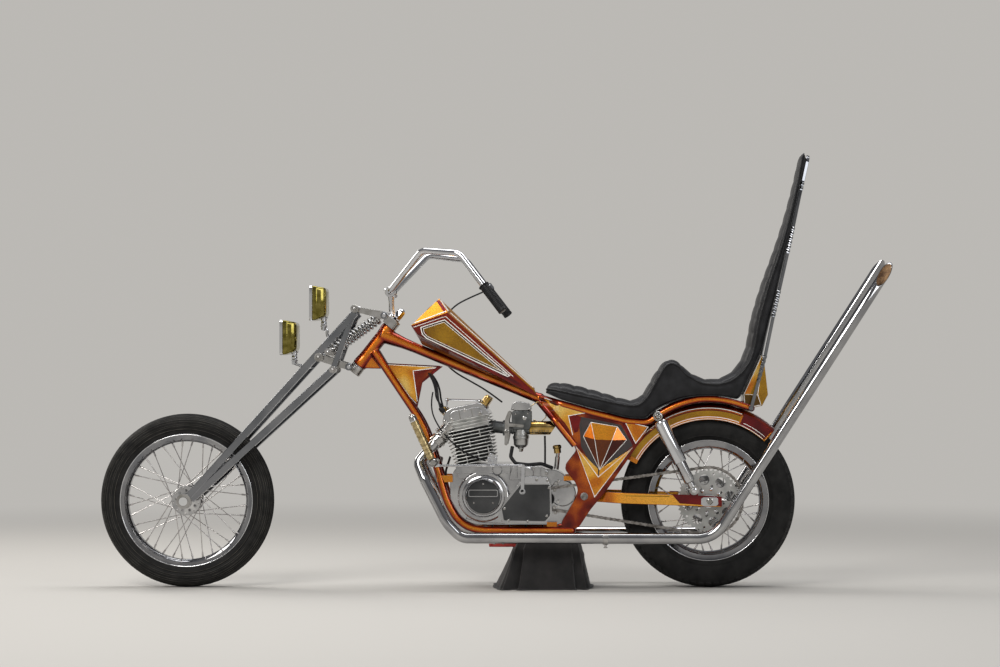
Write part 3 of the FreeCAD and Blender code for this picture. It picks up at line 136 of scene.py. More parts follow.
def flake_paint(name, stops, painted_shade="side", drift_by=0.16, patch=9.0):
    """Candy paint over metal flake, with painted light and shade picked by which way a face points, unless
    asked for none.
    """
    made = shader(name, "paint", stops[-1][1], metallic=0.80, roughness=0.30, coat=0.5, Coat_Roughness=0.05,
                  Specular_IOR_Level=0.25)
    place = node_of(made, "ShaderNodeTexCoord")
    flakes = node_of(made, "ShaderNodeTexVoronoi", Scale=650.0)
    wire(made, place, "Object", flakes, "Vector")
    spark = node_of(made, "ShaderNodeSeparateColor")
    wire(made, flakes, "Color", spark, "Color")
    colours = ramp_node(made, stops)
    drift = node_of(made, "ShaderNodeTexNoise", Scale=patch, Detail=1.0)
    wire(made, place, "Object", drift, "Vector")
    total = node_of(made, "ShaderNodeMath", operation="ADD")
    total.inputs[0].default_value = 0.5
    # painted light and shade: faces turned up come out lighter, faces turned down darker
    if painted_shade:
        facing = node_of(made, "ShaderNodeNewGeometry")
        parts = node_of(made, "ShaderNodeSeparateXYZ")
        wire(made, facing, "Normal", parts, "Vector")
        low, high = (-1.0, 1.0) if painted_shade == "side" else (-0.30, 0.42)
        level = node_of(made, "ShaderNodeMapRange", From_Min=low, From_Max=high,
                        To_Max=0.36 if painted_shade == "side" else 1.0)
        wire(made, parts, "Z", level, "Value")
        wire(made, level, "Result", total, 0)
        # more painted light on faces turned to the left or right
        if painted_shade == "side":
            size = node_of(made, "ShaderNodeMath", operation="ABSOLUTE")
            wire(made, parts, "Y", size, 0)
            across = node_of(made, "ShaderNodeMath", operation="POWER")
            across.inputs[1].default_value = 5.0
            wire(made, size, "Value", across, 0)
            both = node_of(made, "ShaderNodeMath", operation="MULTIPLY_ADD")
            both.inputs[1].default_value = 0.62
            wire(made, across, "Value", both, 0)
            wire(made, level, "Result", both, 2)
            wire(made, both, "Value", total, 0)
    small = node_of(made, "ShaderNodeMapRange", To_Min=-drift_by, To_Max=drift_by)
    wire(made, drift, "Fac", small, "Value")
    wire(made, small, "Result", total, 1)
    wire(made, total, "Value", colours, "Fac")
    glint = node_of(made, "ShaderNodeMapRange", To_Min=0.72, To_Max=1.22)
    wire(made, spark, "Red", glint, "Value")
    mixed = node_of(made, "ShaderNodeVectorMath", operation="SCALE")
    wire(made, colours, "Color", mixed, 0)
    wire(made, glint, "Result", mixed, "Scale")
    wire(made, mixed, "Vector", bsdf(made), "Base Color")
    raised = node_of(made, "ShaderNodeBump", Strength=0.10, Distance=0.0004)
    wire(made, spark, "Green", raised, "Height")
    wire(made, raised, "Normal", bsdf(made), "Normal")
    return made


# The ramps of the frame (the first), the swing arm, the tank and the gem are read by which way a face points:
# their dark red ends are painted shade and their gold ends painted light, over the candy paint's own colours.
CANDY_AND_SHADE = ((0.0, (0.03, 0.001, 0.001)), (0.26, (0.13, 0.003, 0.001)), (0.50, (0.34, 0.026, 0.002)),
         (0.74, (0.60, 0.16, 0.008)), (1.0, (0.84, 0.38, 0.03)))
PANEL_GOLD = ((0.2, (0.18, 0.08, 0.003)), (0.5, (0.34, 0.17, 0.007)), (0.8, (0.52, 0.28, 0.016)))
STAR_GOLD = ((0.2, (0.60, 0.17, 0.008)), (0.5, (0.82, 0.38, 0.03)), (0.8, (0.95, 0.62, 0.16)))
DEEP_RED = ((0.2, (0.06, 0.002, 0.003)), (0.5, (0.14, 0.004, 0.006)), (0.8, (0.28, 0.012, 0.008)))
ORANGE = ((0.2, (0.08, 0.003, 0.001)), (0.5, (0.20, 0.016, 0.002)), (0.8, (0.48, 0.10, 0.006)))
ARM_LIGHT_AND_SHADE = ((0.0, (0.10, 0.003, 0.001)), (0.30, (0.42, 0.05, 0.003)), (0.62, (0.80, 0.30, 0.02)),
            (1.0, (0.95, 0.55, 0.08)))
TANK_LIGHT_AND_SHADE = ((0.0, (0.07, 0.002, 0.001)), (0.30, (0.22, 0.010, 0.002)), (0.52, (0.36, 0.05, 0.003)),
             (0.80, (0.62, 0.26, 0.012)))
GEM_LIGHT_AND_SHADE = ((0.0, (0.06, 0.006, 0.001)), (0.38, (0.17, 0.042, 0.002)), (0.62, (0.62, 0.12, 0.006)),
            (1.0, (0.88, 0.42, 0.03)))
CHROME = mottled("chrome", "chrome", (0.60, 0.61, 0.63), (0.57, 0.58, 0.60), (0.66, 0.66, 0.67), 14.0,
                 metallic=1.0, roughness=0.06, rough=(0.035, 0.10))
# a darker copy of the chrome: its low base colour is painted shade for the dark surroundings that the
# girders, link bosses and sissy bar reflect
PLATE_CHROME = mottled("plate_chrome", "chrome", (0.22, 0.23, 0.25), (0.18, 0.19, 0.205), (0.28, 0.285, 0.30),
                       9.0, metallic=1.0, roughness=0.10, rough=(0.06, 0.16), bump=0.02)
# a darker copy of the chrome for the exhaust pipes: painted shade in their reflections
PIPE_CHROME = mottled("pipe_chrome", "chrome", (0.40, 0.40, 0.41), (0.34, 0.34, 0.35), (0.47, 0.47, 0.47),
                      11.0, metallic=1.0, roughness=0.07, rough=(0.04, 0.11))
OLD_CHROME = mottled("old_chrome", "chrome", (0.42, 0.41, 0.39), (0.34, 0.33, 0.31), (0.52, 0.51, 0.50), 30.0,
                     metallic=1.0, roughness=0.16, rough=(0.08, 0.26), bump=0.05)
SPRING_CHROME = mottled("spring_chrome", "chrome", (0.32, 0.32, 0.32), (0.26, 0.26, 0.26), (0.40, 0.40, 0.40),
                        30.0, metallic=1.0, roughness=0.12, rough=(0.08, 0.16))
SPOKE_STEEL = mottled("spoke_steel", "spoke_steel", (0.52, 0.50, 0.49), (0.46, 0.44, 0.43),
                      (0.58, 0.56, 0.55), 60.0, metallic=1.0, roughness=0.2, rough=(0.14, 0.28))
# a darker copy of the chrome for the rims: painted shade in their reflections
RIM_CHROME = mottled("rim_chrome", "chrome", (0.22, 0.225, 0.24), (0.18, 0.185, 0.20), (0.30, 0.30, 0.31),
                     14.0, metallic=1.0, roughness=0.08, rough=(0.05, 0.12))
ALLOY = mottled("cast_alloy", "cast_alloy", (0.44, 0.44, 0.43), (0.34, 0.34, 0.33), (0.54, 0.54, 0.53), 45.0,
                metallic=1.0, roughness=0.32, rough=(0.26, 0.42), bump=0.18, fine=700.0)
POLISHED = mottled("polished_alloy", "cast_alloy", (0.46, 0.46, 0.47), (0.38, 0.38, 0.39), (0.56, 0.56, 0.56),
                   12.0, metallic=1.0, roughness=0.14, rough=(0.10, 0.20), bump=0.012)
FINS = mottled("fin_alloy", "barrel_alloy", (0.48, 0.48, 0.47), (0.36, 0.36, 0.35), (0.62, 0.62, 0.60), 35.0,
               metallic=1.0, roughness=0.38, rough=(0.28, 0.5), bump=0.2, fine=600.0)
GUNMETAL = mottled("gunmetal", "cast_alloy", (0.11, 0.115, 0.115), (0.085, 0.09, 0.09), (0.15, 0.155, 0.155),
                   30.0, metallic=0.9, roughness=0.42, rough=(0.32, 0.48), bump=0.08)
CORE = mottled("fin_core", "barrel_alloy", (0.035, 0.035, 0.035), (0.02, 0.02, 0.02), (0.06, 0.06, 0.06),
               40.0, metallic=0.3, roughness=0.6, bump=0.1)
DARK_FACE = mottled("dark_polished", "cast_alloy", (0.075, 0.077, 0.08), (0.062, 0.064, 0.067),
                    (0.10, 0.102, 0.106), 10.0, metallic=1.0, roughness=0.16, rough=(0.12, 0.20), bump=0.012)
SPROCKET = mottled("sprocket_steel", "chain_steel", (0.42, 0.42, 0.41), (0.36, 0.36, 0.35),
                   (0.50, 0.50, 0.48), 25.0, metallic=0.8, roughness=0.45, rough=(0.38, 0.52), bump=0.08)
BRASS = mottled("brass", "brass", (0.52, 0.34, 0.10), (0.38, 0.23, 0.05), (0.66, 0.46, 0.18), 40.0,
                metallic=1.0, roughness=0.14, rough=(0.07, 0.20), bump=0.02)
LAMP_GOLD = mottled("lamp_gold", "brass", (0.20, 0.165, 0.035), (0.14, 0.115, 0.02), (0.30, 0.25, 0.07), 55.0,
                    metallic=1.0, roughness=0.10, rough=(0.05, 0.16), bump=0.03)
RUBBER = mottled("rubber", "rubber", (0.010, 0.010, 0.011), (0.007, 0.007, 0.008), (0.017, 0.017, 0.018),
                 60.0, roughness=0.5, Specular_IOR_Level=0.2, rough=(0.40, 0.60), bump=0.15, fine=900.0)
TYRE = mottled("tyre_rubber", "tyre", (0.009, 0.009, 0.009), (0.006, 0.006, 0.006), (0.016, 0.0155, 0.015),
               25.0, roughness=0.62, Specular_IOR_Level=0.16, rough=(0.5, 0.74), bump=0.2, fine=1200.0)
# paler rubber for thin rings along the front tyre's rib edges
PALE_RUBBER = mottled("pale_rubber", "tyre", (0.06, 0.056, 0.048), (0.03, 0.028, 0.025), (0.10, 0.094, 0.08),
                      30.0, roughness=0.6, Specular_IOR_Level=0.16, bump=0.1)
DARK_STEEL = mottled("dark_steel", "chain_steel", (0.20, 0.19, 0.18), (0.12, 0.11, 0.10), (0.34, 0.32, 0.30),
                     80.0, metallic=1.0, roughness=0.4, rough=(0.3, 0.5), bump=0.1)
WHITE_LINE = mottled("white_line", "paint", (0.86, 0.83, 0.78), (0.78, 0.74, 0.68), (0.90, 0.88, 0.84), 50.0,
                     roughness=0.25, coat=1.0)
BLACK_LINE = mottled("black_line", "paint", (0.012, 0.008, 0.008), (0.010, 0.006, 0.006),
                     (0.030, 0.012, 0.012), 50.0, roughness=0.25, coat=1.0)
# The frame, tank, swing arm and gem paints carry painted light and shade by which way a face points; the
# other paints vary only at random.
PAINT = flake_paint("flake_painted_shade", CANDY_AND_SHADE)
PAINT_TANK = flake_paint("flake_tank", TANK_LIGHT_AND_SHADE, painted_shade="up", drift_by=0.10)
# darker gold for the tail box's lower facets: painted shade
PAINT_SHADE_GOLD = flake_paint("flake_shade_gold", ((0.2, (0.06, 0.026, 0.001)), (0.8, (0.16, 0.08, 0.003))), painted_shade=None)
PAINT_ARM = flake_paint("flake_arm", ARM_LIGHT_AND_SHADE)
PAINT_GOLD = flake_paint("flake_gold", PANEL_GOLD, painted_shade=None, drift_by=0.5, patch=10.0)
PAINT_STAR = flake_paint("flake_star", STAR_GOLD, painted_shade=None, drift_by=0.8, patch=12.0)
PAINT_RED = flake_paint("flake_red", DEEP_RED, painted_shade=None, drift_by=0.6, patch=14.0)
PAINT_ORANGE = flake_paint("flake_orange", ORANGE, painted_shade=None, drift_by=0.85, patch=16.0)
PAINT_GEM = flake_paint("flake_gem", GEM_LIGHT_AND_SHADE, painted_shade="up", drift_by=0.2)
LENS = shader("amber_lens", "brass", (0.46, 0.40, 0.26), metallic=1.0, roughness=0.08, coat=1.0)
SOOT = mottled("soot", "chain_steel", (0.30, 0.17, 0.08), (0.16, 0.09, 0.05), (0.42, 0.26, 0.13), 60.0,
               metallic=0.4, roughness=0.7, bump=0.2)
PEG_METAL = mottled("peg_metal", "brass", (0.46, 0.36, 0.17), (0.30, 0.23, 0.11), (0.60, 0.48, 0.26), 50.0,
                    metallic=1.0, roughness=0.3, rough=(0.2, 0.42), bump=0.1)
VINYL = mottled("black_vinyl", "black_vinyl", (0.013, 0.013, 0.014), (0.009, 0.009, 0.010),
                (0.020, 0.020, 0.022), 22.0, roughness=0.42, Specular_IOR_Level=0.2, rough=(0.34, 0.50),
                bump=0.22, fine=850.0)
VINYL_EDGE = mottled("vinyl_piping", "black_vinyl", (0.014, 0.014, 0.015), (0.010, 0.010, 0.011),
                     (0.022, 0.022, 0.024), 60.0, roughness=0.36, Specular_IOR_Level=0.25, rough=(0.30, 0.42),
                     bump=0.08, fine=900.0)
CLOTH = mottled("black_cloth", "cloth", (0.014, 0.013, 0.013), (0.009, 0.009, 0.009), (0.022, 0.020, 0.020),
                14.0, roughness=0.95, Sheen_Weight=0.25, Specular_IOR_Level=0.28, bump=0.35, fine=1400.0)
PAD_RED = mottled("pad_red", "pad_red", (0.42, 0.02, 0.015), (0.30, 0.012, 0.01), (0.52, 0.04, 0.03), 40.0,
                  metallic=0.2, roughness=0.4, bump=0.1)
STAND_STEEL = mottled("stand_steel", "stand_steel", (0.05, 0.05, 0.05), (0.03, 0.03, 0.03),
                      (0.08, 0.08, 0.08), 20.0, metallic=0.5, roughness=0.5, bump=0.1)


# ------------------------------------------------------------- mesh helpers
SHARP_ANGLE = 35.0


def new_object(name, data):
    obj = bpy.data.objects.new(name, data)
    bpy.context.scene.collection.objects.link(obj)
    return obj


def filled_mesh(name, verts, faces):
    data = bpy.data.meshes.new(name)
    data.from_pydata([tuple(v) for v in verts], [], [tuple(f) for f in faces])
    return data


def turned_outward(data):
    """Turn every face of a mesh outward."""
    check = bmesh.new()
    check.from_mesh(data)
    bmesh.ops.recalc_face_normals(check, faces=check.faces)
    check.to_mesh(data)
    check.free()


def finished_mesh(obj):
    """An object's mesh after its modifiers."""
    return bpy.data.meshes.new_from_object(obj.evaluated_get(bpy.context.evaluated_depsgraph_get()))


def shaded(data, angle=SHARP_ANGLE):
    data.shade_smooth()
    data.set_sharp_from_angle(angle=math.radians(angle))


def bevelled(obj, width, segments, angle):
    """Round the edges that are sharper than an angle."""
    edge = obj.modifiers.new("edge", "BEVEL")
    edge.width, edge.segments, edge.limit_method = width, segments, "ANGLE"
    edge.angle_limit = math.radians(angle)
    edge.harden_normals = True


def ribs(first, pitch, count, steps):
    """Profile steps that repeat: (distance, radius) pairs, once for every rib."""
    return [(first + k * pitch + along, radius) for k in range(count) for along, radius in steps]


def place_piece(obj, material, body, replaces=(), smooth=SHARP_ANGLE, bevel=0.0, segments=2, slot=None):
    """Give a new piece its material, body, edges and shading."""
    data = obj.data
    if material is not None:
        data.materials.clear()
        data.materials.append(material)
    if obj.type == "MESH":
        shaded(data, smooth)
        if bevel:
            bevelled(obj, bevel, segments, smooth)
    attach(obj, body)
    if replaces:
        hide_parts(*replaces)
    return obj


def mesh_piece(name, verts, faces, material, body, **options):
    data = filled_mesh(name, verts, faces)
    data.validate()
    turned_outward(data)
    return place_piece(new_object(name, data), material, body, **options)


class Build:
    """Collects simple solids into one mesh."""

    def __init__(self):
        self.verts = []
        self.faces = []

    def add(self, verts, faces):
        base = len(self.verts)
        self.verts += [Vector(v) for v in verts]
        self.faces += [[base + i for i in face] for face in faces]

    def rings(self, rings, closed=False, capped=True):
        """Skin between rings of equally many points."""
        count = len(rings[0])
        verts = [p for ring in rings for p in ring]
        faces = []
        last = len(rings) if closed else len(rings) - 1
        for i in range(last):
            j = (i + 1) % len(rings)
            for k in range(count):
                m = (k + 1) % count
                faces.append((i * count + k, i * count + m, j * count + m, j * count + k))
        if capped and not closed:
            faces.append(tuple(range(count)))
            faces.append(tuple((len(rings) - 1) * count + k for k in range(count)))
        self.add(verts, faces)

    def prism(self, outline, y0, y1):
        """An outline of (x, z) places, between two distances along Y."""
        self.rings([[Vector((x, y, z)) for x, z in outline] for y in (y0, y1)])

    def block(self, low, high):
        (x0, y0, z0), (x1, y1, z1) = low, high
        self.prism(((x0, z0), (x1, z0), (x1, z1), (x0, z1)), y0, y1)

    def stack(self, start, ahead, profile, sides=24):
        """Round steps along a direction, from (distance, radius) pairs."""
        ahead = Vector(ahead).normalized()
        side = ahead.orthogonal().normalized()
        other = ahead.cross(side)
        rings = []
        for reach, radius in profile:
            centre = Vector(start) + ahead * reach
            rings.append([centre + side * (radius * math.cos(2 * math.pi * k / sides))
                          + other * (radius * math.sin(2 * math.pi * k / sides)) for k in range(sides)])
        self.rings(rings)

    def boss(self, x, z, y, side, profile, sides=24):
        """Round steps that stand on one side of the machine, from a place in millimetres."""
        self.stack(at(x, z, y), (0, side, 0), profile, sides)

    def rod(self, start, end, radius, sides=16, nose=0.0):
        run = Vector(end) - Vector(start)
        profile = [(0, radius - nose), (nose, radius), (run.length - nose, radius),
                   (run.length, radius - nose)]
        if not nose:
            profile = [(0, radius), (run.length, radius)]
        self.stack(start, run, profile, sides)

    def ball(self, centre, radius, sides=20):
        steps = sides // 2
        profile = [(radius - radius * math.cos(math.pi * i / steps),
                    max(radius * math.sin(math.pi * i / steps), 1e-5)) for i in range(steps + 1)]
        self.stack(Vector(centre) - Vector((0, 0, radius)), (0, 0, 1), profile, sides)

    def lathe(self, centre, profile, sides=96, start=0.0, sweep=360.0):
        """A closed (radius, y) profile turned about Y through a centre."""
        full = abs(sweep - 360.0) < 1e-6
        rings = []
        for k in range(sides if full else sides + 1):
            turn = math.radians(start + sweep * k / sides)
            along = Vector((math.cos(turn), 0, math.sin(turn)))
            rings.append([Vector(centre) + along * r + Vector((0, y, 0)) for r, y in profile])
        self.rings(rings, closed=full)

    def tube(self, points, radius, sides=12, closed=False):
        """A round bar along points that are already close together."""
        rings = []
        side = None
        count = len(points)
        for i, p in enumerate(points):
            before = points[(i - 1) % count] if closed or i else p
            after = points[(i + 1) % count] if closed or i < count - 1 else p
            ahead = (after - before).normalized()
            side = ahead.orthogonal() if side is None else side - ahead * side.dot(ahead)
            side.normalize()
            other = ahead.cross(side)
            rings.append([p + side * (radius * math.cos(2 * math.pi * k / sides))
                          + other * (radius * math.sin(2 * math.pi * k / sides)) for k in range(sides)])
        self.rings(rings, closed=closed)

    def mirrored(self):
        """Add the same shapes on the other side of the centre plane."""
        self.add([mirror(v) for v in self.verts], [list(reversed(face)) for face in self.faces])
        return self

    def piece(self, name, material, body="frame", **options):
        return mesh_piece(name, self.verts, self.faces, material, body, **options)


def builds(count):
    return [Build() for _ in range(count)]


def bent_path(points, radii, arc_steps=10):
    """Straight runs joined by tangent arcs, as close points."""
    knots = [Vector(p) for p in points]
    path = [knots[0]]
    for before, corner, after, radius in zip(knots, knots[1:], knots[2:], radii):
        back = (before - corner).normalized()
        ahead = (after - corner).normalized()
        half = back.angle(ahead) / 2
        reach = radius / math.tan(half)
        centre = corner + (back + ahead).normalized() * (radius / math.sin(half))
        enter = corner + back * reach - centre
        leave = corner + ahead * reach - centre
        for k in range(arc_steps + 1):
            path.append(centre + enter.normalized().slerp(leave.normalized(), k / arc_steps) * radius)
    path.append(knots[-1])
    return path


def mirror(point):
    return Vector((point[0], -point[1], point[2]))


def at(x, z, y=0.0):
    """A place from side-view millimetres."""
    return Vector((x * MM, y * MM, z * MM))


def outline(table):
    return [(x * MM, z * MM) for x, z in table]


def carved(obj, cutters, overlaps=False):
    """Cut closed helper shapes out of a piece, whose own solids may overlap."""
    for cutter in cutters:
        tool = new_object("cutter", filled_mesh("cutter", cutter.verts, cutter.faces))
        turned_outward(tool.data)
        step = obj.modifiers.new("cut", "BOOLEAN")
        step.operation, step.solver, step.use_self, step.object = "DIFFERENCE", "EXACT", overlaps, tool
        data = finished_mesh(obj)
        obj.modifiers.remove(step)
        obj.data = data
        bpy.data.objects.remove(tool)
    shaded(obj.data)
    return obj


# ------------------------------------------------------------- wheels
# steps round a tyre or a rim, and round a hub
WHEEL_STEPS, HUB_STEPS = 160, 72


def tyre_piece(name, node, centre, body, profile, blocks):
    """A tyre from half its section, with rows of tread blocks.

    A row of blocks is: the radius of their feet, of their tops at y0 and at y1, then y0, y1, their number,
    their share of the spacing, and the skew in degrees.
    """
    half = [(r * MM, y * MM) for r, y in profile]
    ring = [(r, -y) for r, y in half] + [(r, y) for r, y in reversed(half) if y > 0]
    build = Build()
    build.lathe(centre, ring, sides=WHEEL_STEPS)
    for r_in, r_out_a, r_out_b, y0, y1, count, span, skew in blocks:
        for side in SIDES:
            for k in range(count):
                turn = 2 * math.pi * (k + (0.5 if side > 0 else 0)) / count
                width = 2 * math.pi / count * span
                rings = []
                for y, r_out, shift in ((y0, r_out_a, 0), (y1, r_out_b, skew)):
                    corners = []
                    for r, edge in ((r_in, -0.5), (r_out, -0.5), (r_out, 0.5), (r_in, 0.5)):
                        angle = turn + width * edge + math.radians(shift)
                        corners.append(Vector(centre) + Vector((r * MM * math.cos(angle), side * y * MM,
                                                                r * MM * math.sin(angle))))
                    rings.append(corners)
                build.rings(rings)
    return build.piece(name, TYRE, body, replaces=(node,), smooth=28)


def hoops(name, centre, body, material, rings):
    """Thin round hoops on both sides of a wheel: (radius, offset, thickness)."""
    build = Build()
    for radius, y, thick in rings:
        for side in SIDES:
            section = [((radius + thick * math.cos(a)) * MM, (side * y + thick * math.sin(a)) * MM)
                       for a in (k * math.pi / 4 for k in range(8))]
            build.lathe(centre, section, sides=WHEEL_STEPS)
    return build.piece(name, material, body, smooth=60)


def rim_piece(name, node, centre, body, profile):
    half = [(r * MM, y * MM) for r, y in profile]
    ring = [(r, -y) for r, y in half] + [(r, y) for r, y in reversed(half)]
    build = Build()
    build.lathe(centre, ring, sides=WHEEL_STEPS)
    return build.piece(name, RIM_CHROME, body, replaces=(node,), smooth=40)


# millimetres: radii of a spoke, its nipple and its head, and half the gap between crossing spokes
SPOKE_R, NIPPLE_R, SPOKE_HEAD_R, SPOKE_LEAN = 1.7, 3.1, 3.4, 2.2


def spoke_set(name, centre, body, flange_r, flange_y, rim_r, count, swing):
    """Crossed wire spokes with their nipples."""
    build = Build()
    for k in range(count):
        side = 1 if k % 2 else -1
        lead = 1 if k % 4 < 2 else -1
        at_rim = 2 * math.pi * (k + 0.5) / count
        at_hub = at_rim + lead * math.radians(swing)
        y_hub = side * (flange_y + (SPOKE_LEAN if lead > 0 else -SPOKE_LEAN))
        hub = Vector(centre) + Vector((flange_r * math.cos(at_hub), y_hub, flange_r * math.sin(at_hub))) * MM
        rim = Vector(centre) + Vector((rim_r * math.cos(at_rim), side * 4, rim_r * math.sin(at_rim))) * MM
        run = (rim - hub).normalized()
        build.rod(hub, rim - run * 16 * MM, SPOKE_R * MM, sides=8)
        build.rod(rim - run * 17 * MM, rim + run * 1.5 * MM, NIPPLE_R * MM, sides=8)
        build.ball(hub, SPOKE_HEAD_R * MM, sides=8)
    return build.piece(name, SPOKE_STEEL, body, smooth=50)


def hub_piece(name, node, centre, body, profile, holes):
    """A polished hub whose flanges are drilled: (radius, hole radius, count, y0, y1)."""
    build = Build()
    build.lathe(centre, [(r * MM, y * MM) for r, y in profile], sides=HUB_STEPS)
    hub = build.piece(name, POLISHED, body, replaces=(node,), smooth=35)
    cutter = Build()
    for r, hole_r, count, y0, y1 in holes:
        for k in range(count):
            turn = 2 * math.pi * (k + 0.25) / count
            spot = Vector(centre) + Vector((r * math.cos(turn), 0, r * math.sin(turn))) * MM
            cutter.rod(spot + Vector((0, y0 * MM, 0)), spot + Vector((0, y1 * MM, 0)), hole_r * MM, sides=16)
    return carved(hub, [cutter])


def front_wheel():
    body = "front_wheel"
    section = ((229, 28.6), (238.6, 29), (239.6, 34.4), (246, 36), (254, 38), (256, 40.6), (258.5, 40.8),
               (260, 38.8), (268, 41), (269, 42.2), (274.5, 42.4), (275.5, 41), (277, 41), (278, 42.2),
               (284, 41.6), (285, 40.2), (286.5, 39.8), (287.5, 40.9), (291.5, 39.8), (294.5, 38.4),
               (297.5, 35.4), (297.5, 33.4), (294.5, 32.4), (294.5, 30.8), (300.5, 30), (303.6, 25),
               (303.6, 24), (300, 23.2), (300, 20.6), (305.5, 19.8), (307.6, 15), (307.6, 14), (303.6, 13.4),
               (303.6, 10.8), (309.4, 10), (311, 5.4), (311, 4.6), (307, 4.2), (307, 1.8), (311.5, 1.2),
               (311.5, 0))
    tyre_piece("front_tyre_ribbed", "front_tyre", FRONT_AXLE, body, section,
               ((284, 291, 297, 40.4, 36.6, 120, 0.55, 0.0),))
    # paler rings along the edges of the tyre's ribs
    hoops("front_tyre_pale_rib_edges", FRONT_AXLE, body, PALE_RUBBER,
          ((256.8, 41.0, 0.7), (268.8, 42.2, 0.5), (275, 42.0, 0.45), (284.6, 41.4, 0.5), (291.6, 39.9, 0.5),
           (297.4, 35.4, 0.6), (303.5, 25, 0.6)))
    hoops("front_rim_lip", FRONT_AXLE, body, CHROME, ((236.9, 34.3, 2.4),))
    rim_piece("front_rim_chrome", "front_rim", FRONT_AXLE, body,
              ((245, 33), (245, 29.5), (229, 28.7), (228, 16), (216, 11), (216, 0), (212, 0), (212, 13),
               (219, 21), (223, 30), (238, 31.5), (243.5, 33)))
    spoke_set("front_spokes_wire", FRONT_AXLE, body, 46, 33, 212, 36, 62)
    hub_piece("front_hub_polished", "front_hub", FRONT_AXLE, body,
              ((9.1, -44), (17, -44), (20, -42), (22, -38), (30, -36), (52, -36), (53, -34.5), (52, -31),
               (30, -30), (25, -24), (24, 0), (25, 24), (30, 30), (52, 31), (53, 34.5), (52, 36), (30, 36),
               (22, 38), (20, 42), (17, 44), (9.1, 44)), ((36, 5.2, 9, -60, 60),))


def rear_wheel():
    body = "rear_wheel"
    section = ((202, 41), (216, 42), (221, 45), (229, 53), (232, 56.5), (234, 56), (250, 61.8), (264, 63),
               (276, 62.4), (288, 59), (293, 56.4), (299, 48), (304, 36), (306.5, 30), (306.5, 28), (302, 27),
               (302, 24), (309, 23), (311.2, 12), (311.6, 8.5), (306, 8), (306, 4.6), (312.6, 4.2), (313, 0))
    tyre_piece("rear_tyre_block", "rear_tyre", REAR_AXLE, body, section,
               ((290, 296, 303.5, 57, 42, 68, 0.62, 0.5), (300, 304.5, 309, 40, 29.5, 68, 0.72, 0.6),
                (302, 311, 312.3, 22.5, 9.4, 76, 0.7, -1.2)))
    hoops("rear_rim_lip", REAR_AXLE, body, CHROME, ((215.6, 45.4, 2.2), (201.6, 41.8, 1.0)))
    rim_piece("rear_rim_chrome", "rear_rim", REAR_AXLE, body,
              ((217, 46), (217, 42.4), (201, 41.6), (200, 24), (188, 16), (188, 0), (184, 0), (184, 18),
               (190, 28), (196, 43), (210, 44.5), (215.5, 46)))
    spoke_set("rear_spokes_wire", REAR_AXLE, body, 66, 41, 184, 36, 56)
    hub_piece("rear_hub_polished", "rear_hub", REAR_AXLE, body,
              ((9.1, -52), (22, -52), (24, -50), (24, -45), (70, -44), (72, -42), (72, -39), (50, -37),
               (44, -30), (44, 20), (60, 24), (84, 26), (86, 30), (86, 50), (84, 52), (60, 52), (9.1, 52)),
              ((50, 6, 8, -60, -20),))
    sprocket()


def toothed_ring(teeth, root_r, tip_r):
    """The outline of a sprocket in polar form, in millimetres."""
    points = []
    for k in range(teeth):
        base = 2 * math.pi * k / teeth
        for share, radius in ((-0.30, root_r), (-0.14, tip_r), (0.14, tip_r), (0.30, root_r)):
            points.append((base + share * 2 * math.pi / teeth, radius))
    return points


SPROCKET_TEETH = 44
SPROCKET_ROOT_R, SPROCKET_TIP_R, SPROCKET_HALF = 107, 112.9, 2.6
CHAIN_Y = -77.0


def sprocket():
    """The drilled rear sprocket."""
    build = Build()
    points = [(REAR_AXLE.x + r * MM * math.cos(a), REAR_AXLE.z + r * MM * math.sin(a))
              for a, r in toothed_ring(SPROCKET_TEETH, SPROCKET_ROOT_R, SPROCKET_TIP_R)]
    build.prism(points, (CHAIN_Y - SPROCKET_HALF) * MM, (CHAIN_Y + SPROCKET_HALF) * MM)
    disc = build.piece("rear_sprocket_drilled", SPROCKET, "rear_wheel", replaces=("rear_sprocket",),
                       smooth=30)
    cutter = Build()
    for r, hole_r, count, start in ((77, 18.5, 8, 12.5), (53, 5.0, 8, 35.0), (96, 4.0, 8, 35.0)):
        for k in range(count):
            turn = math.radians(start + 360 / count * k)
            spot = REAR_AXLE + Vector((r * math.cos(turn), 0, r * math.sin(turn))) * MM
            cutter.rod(spot + Vector((0, -0.1, 0)), spot, hole_r * MM, sides=28)
    carved(disc, [cutter])
    carrier = Build()
    carrier.stack(REAR_AXLE + Vector((0, -80 * MM, 0)), (0, 1, 0),
                  [(0, 0.024), (0.002, 0.030), (0.0055, 0.030), (0.0055, 0.040), (0.028, 0.040)], sides=48)
    for k in range(8):
        turn = math.radians(35 + 45 * k)
        spot = REAR_AXLE + Vector((42 * MM * math.cos(turn), -85 * MM, 42 * MM * math.sin(turn)))
        carrier.stack(spot, (0, 1, 0), [(0, 0.004), (0.001, 0.006), (0.006, 0.006)], sides=6)
    carrier.piece("rear_sprocket_carrier", CHROME, "rear_wheel")


# ------------------------------------------------------------- front fork
GIRDER_Y = 82.0
GIRDER_TUBE = 25.0
UPPER_LINK = ((-490, 998), (-387, 975))
LOWER_LINK = ((-618, 825), (-513, 791))
LINK_Y, LINK_HALF = 56, 4
FRONT_LEG_TOP = (-497.5, 974)
SPRING_ENDS = ((-584, 844), (-413, 966))
SPRING_Y, SPRING_TURNS, COIL_R, WIRE_R = 26, 14, 18.0, 3.5
REAR_LEG_TOP = (-567, 781)


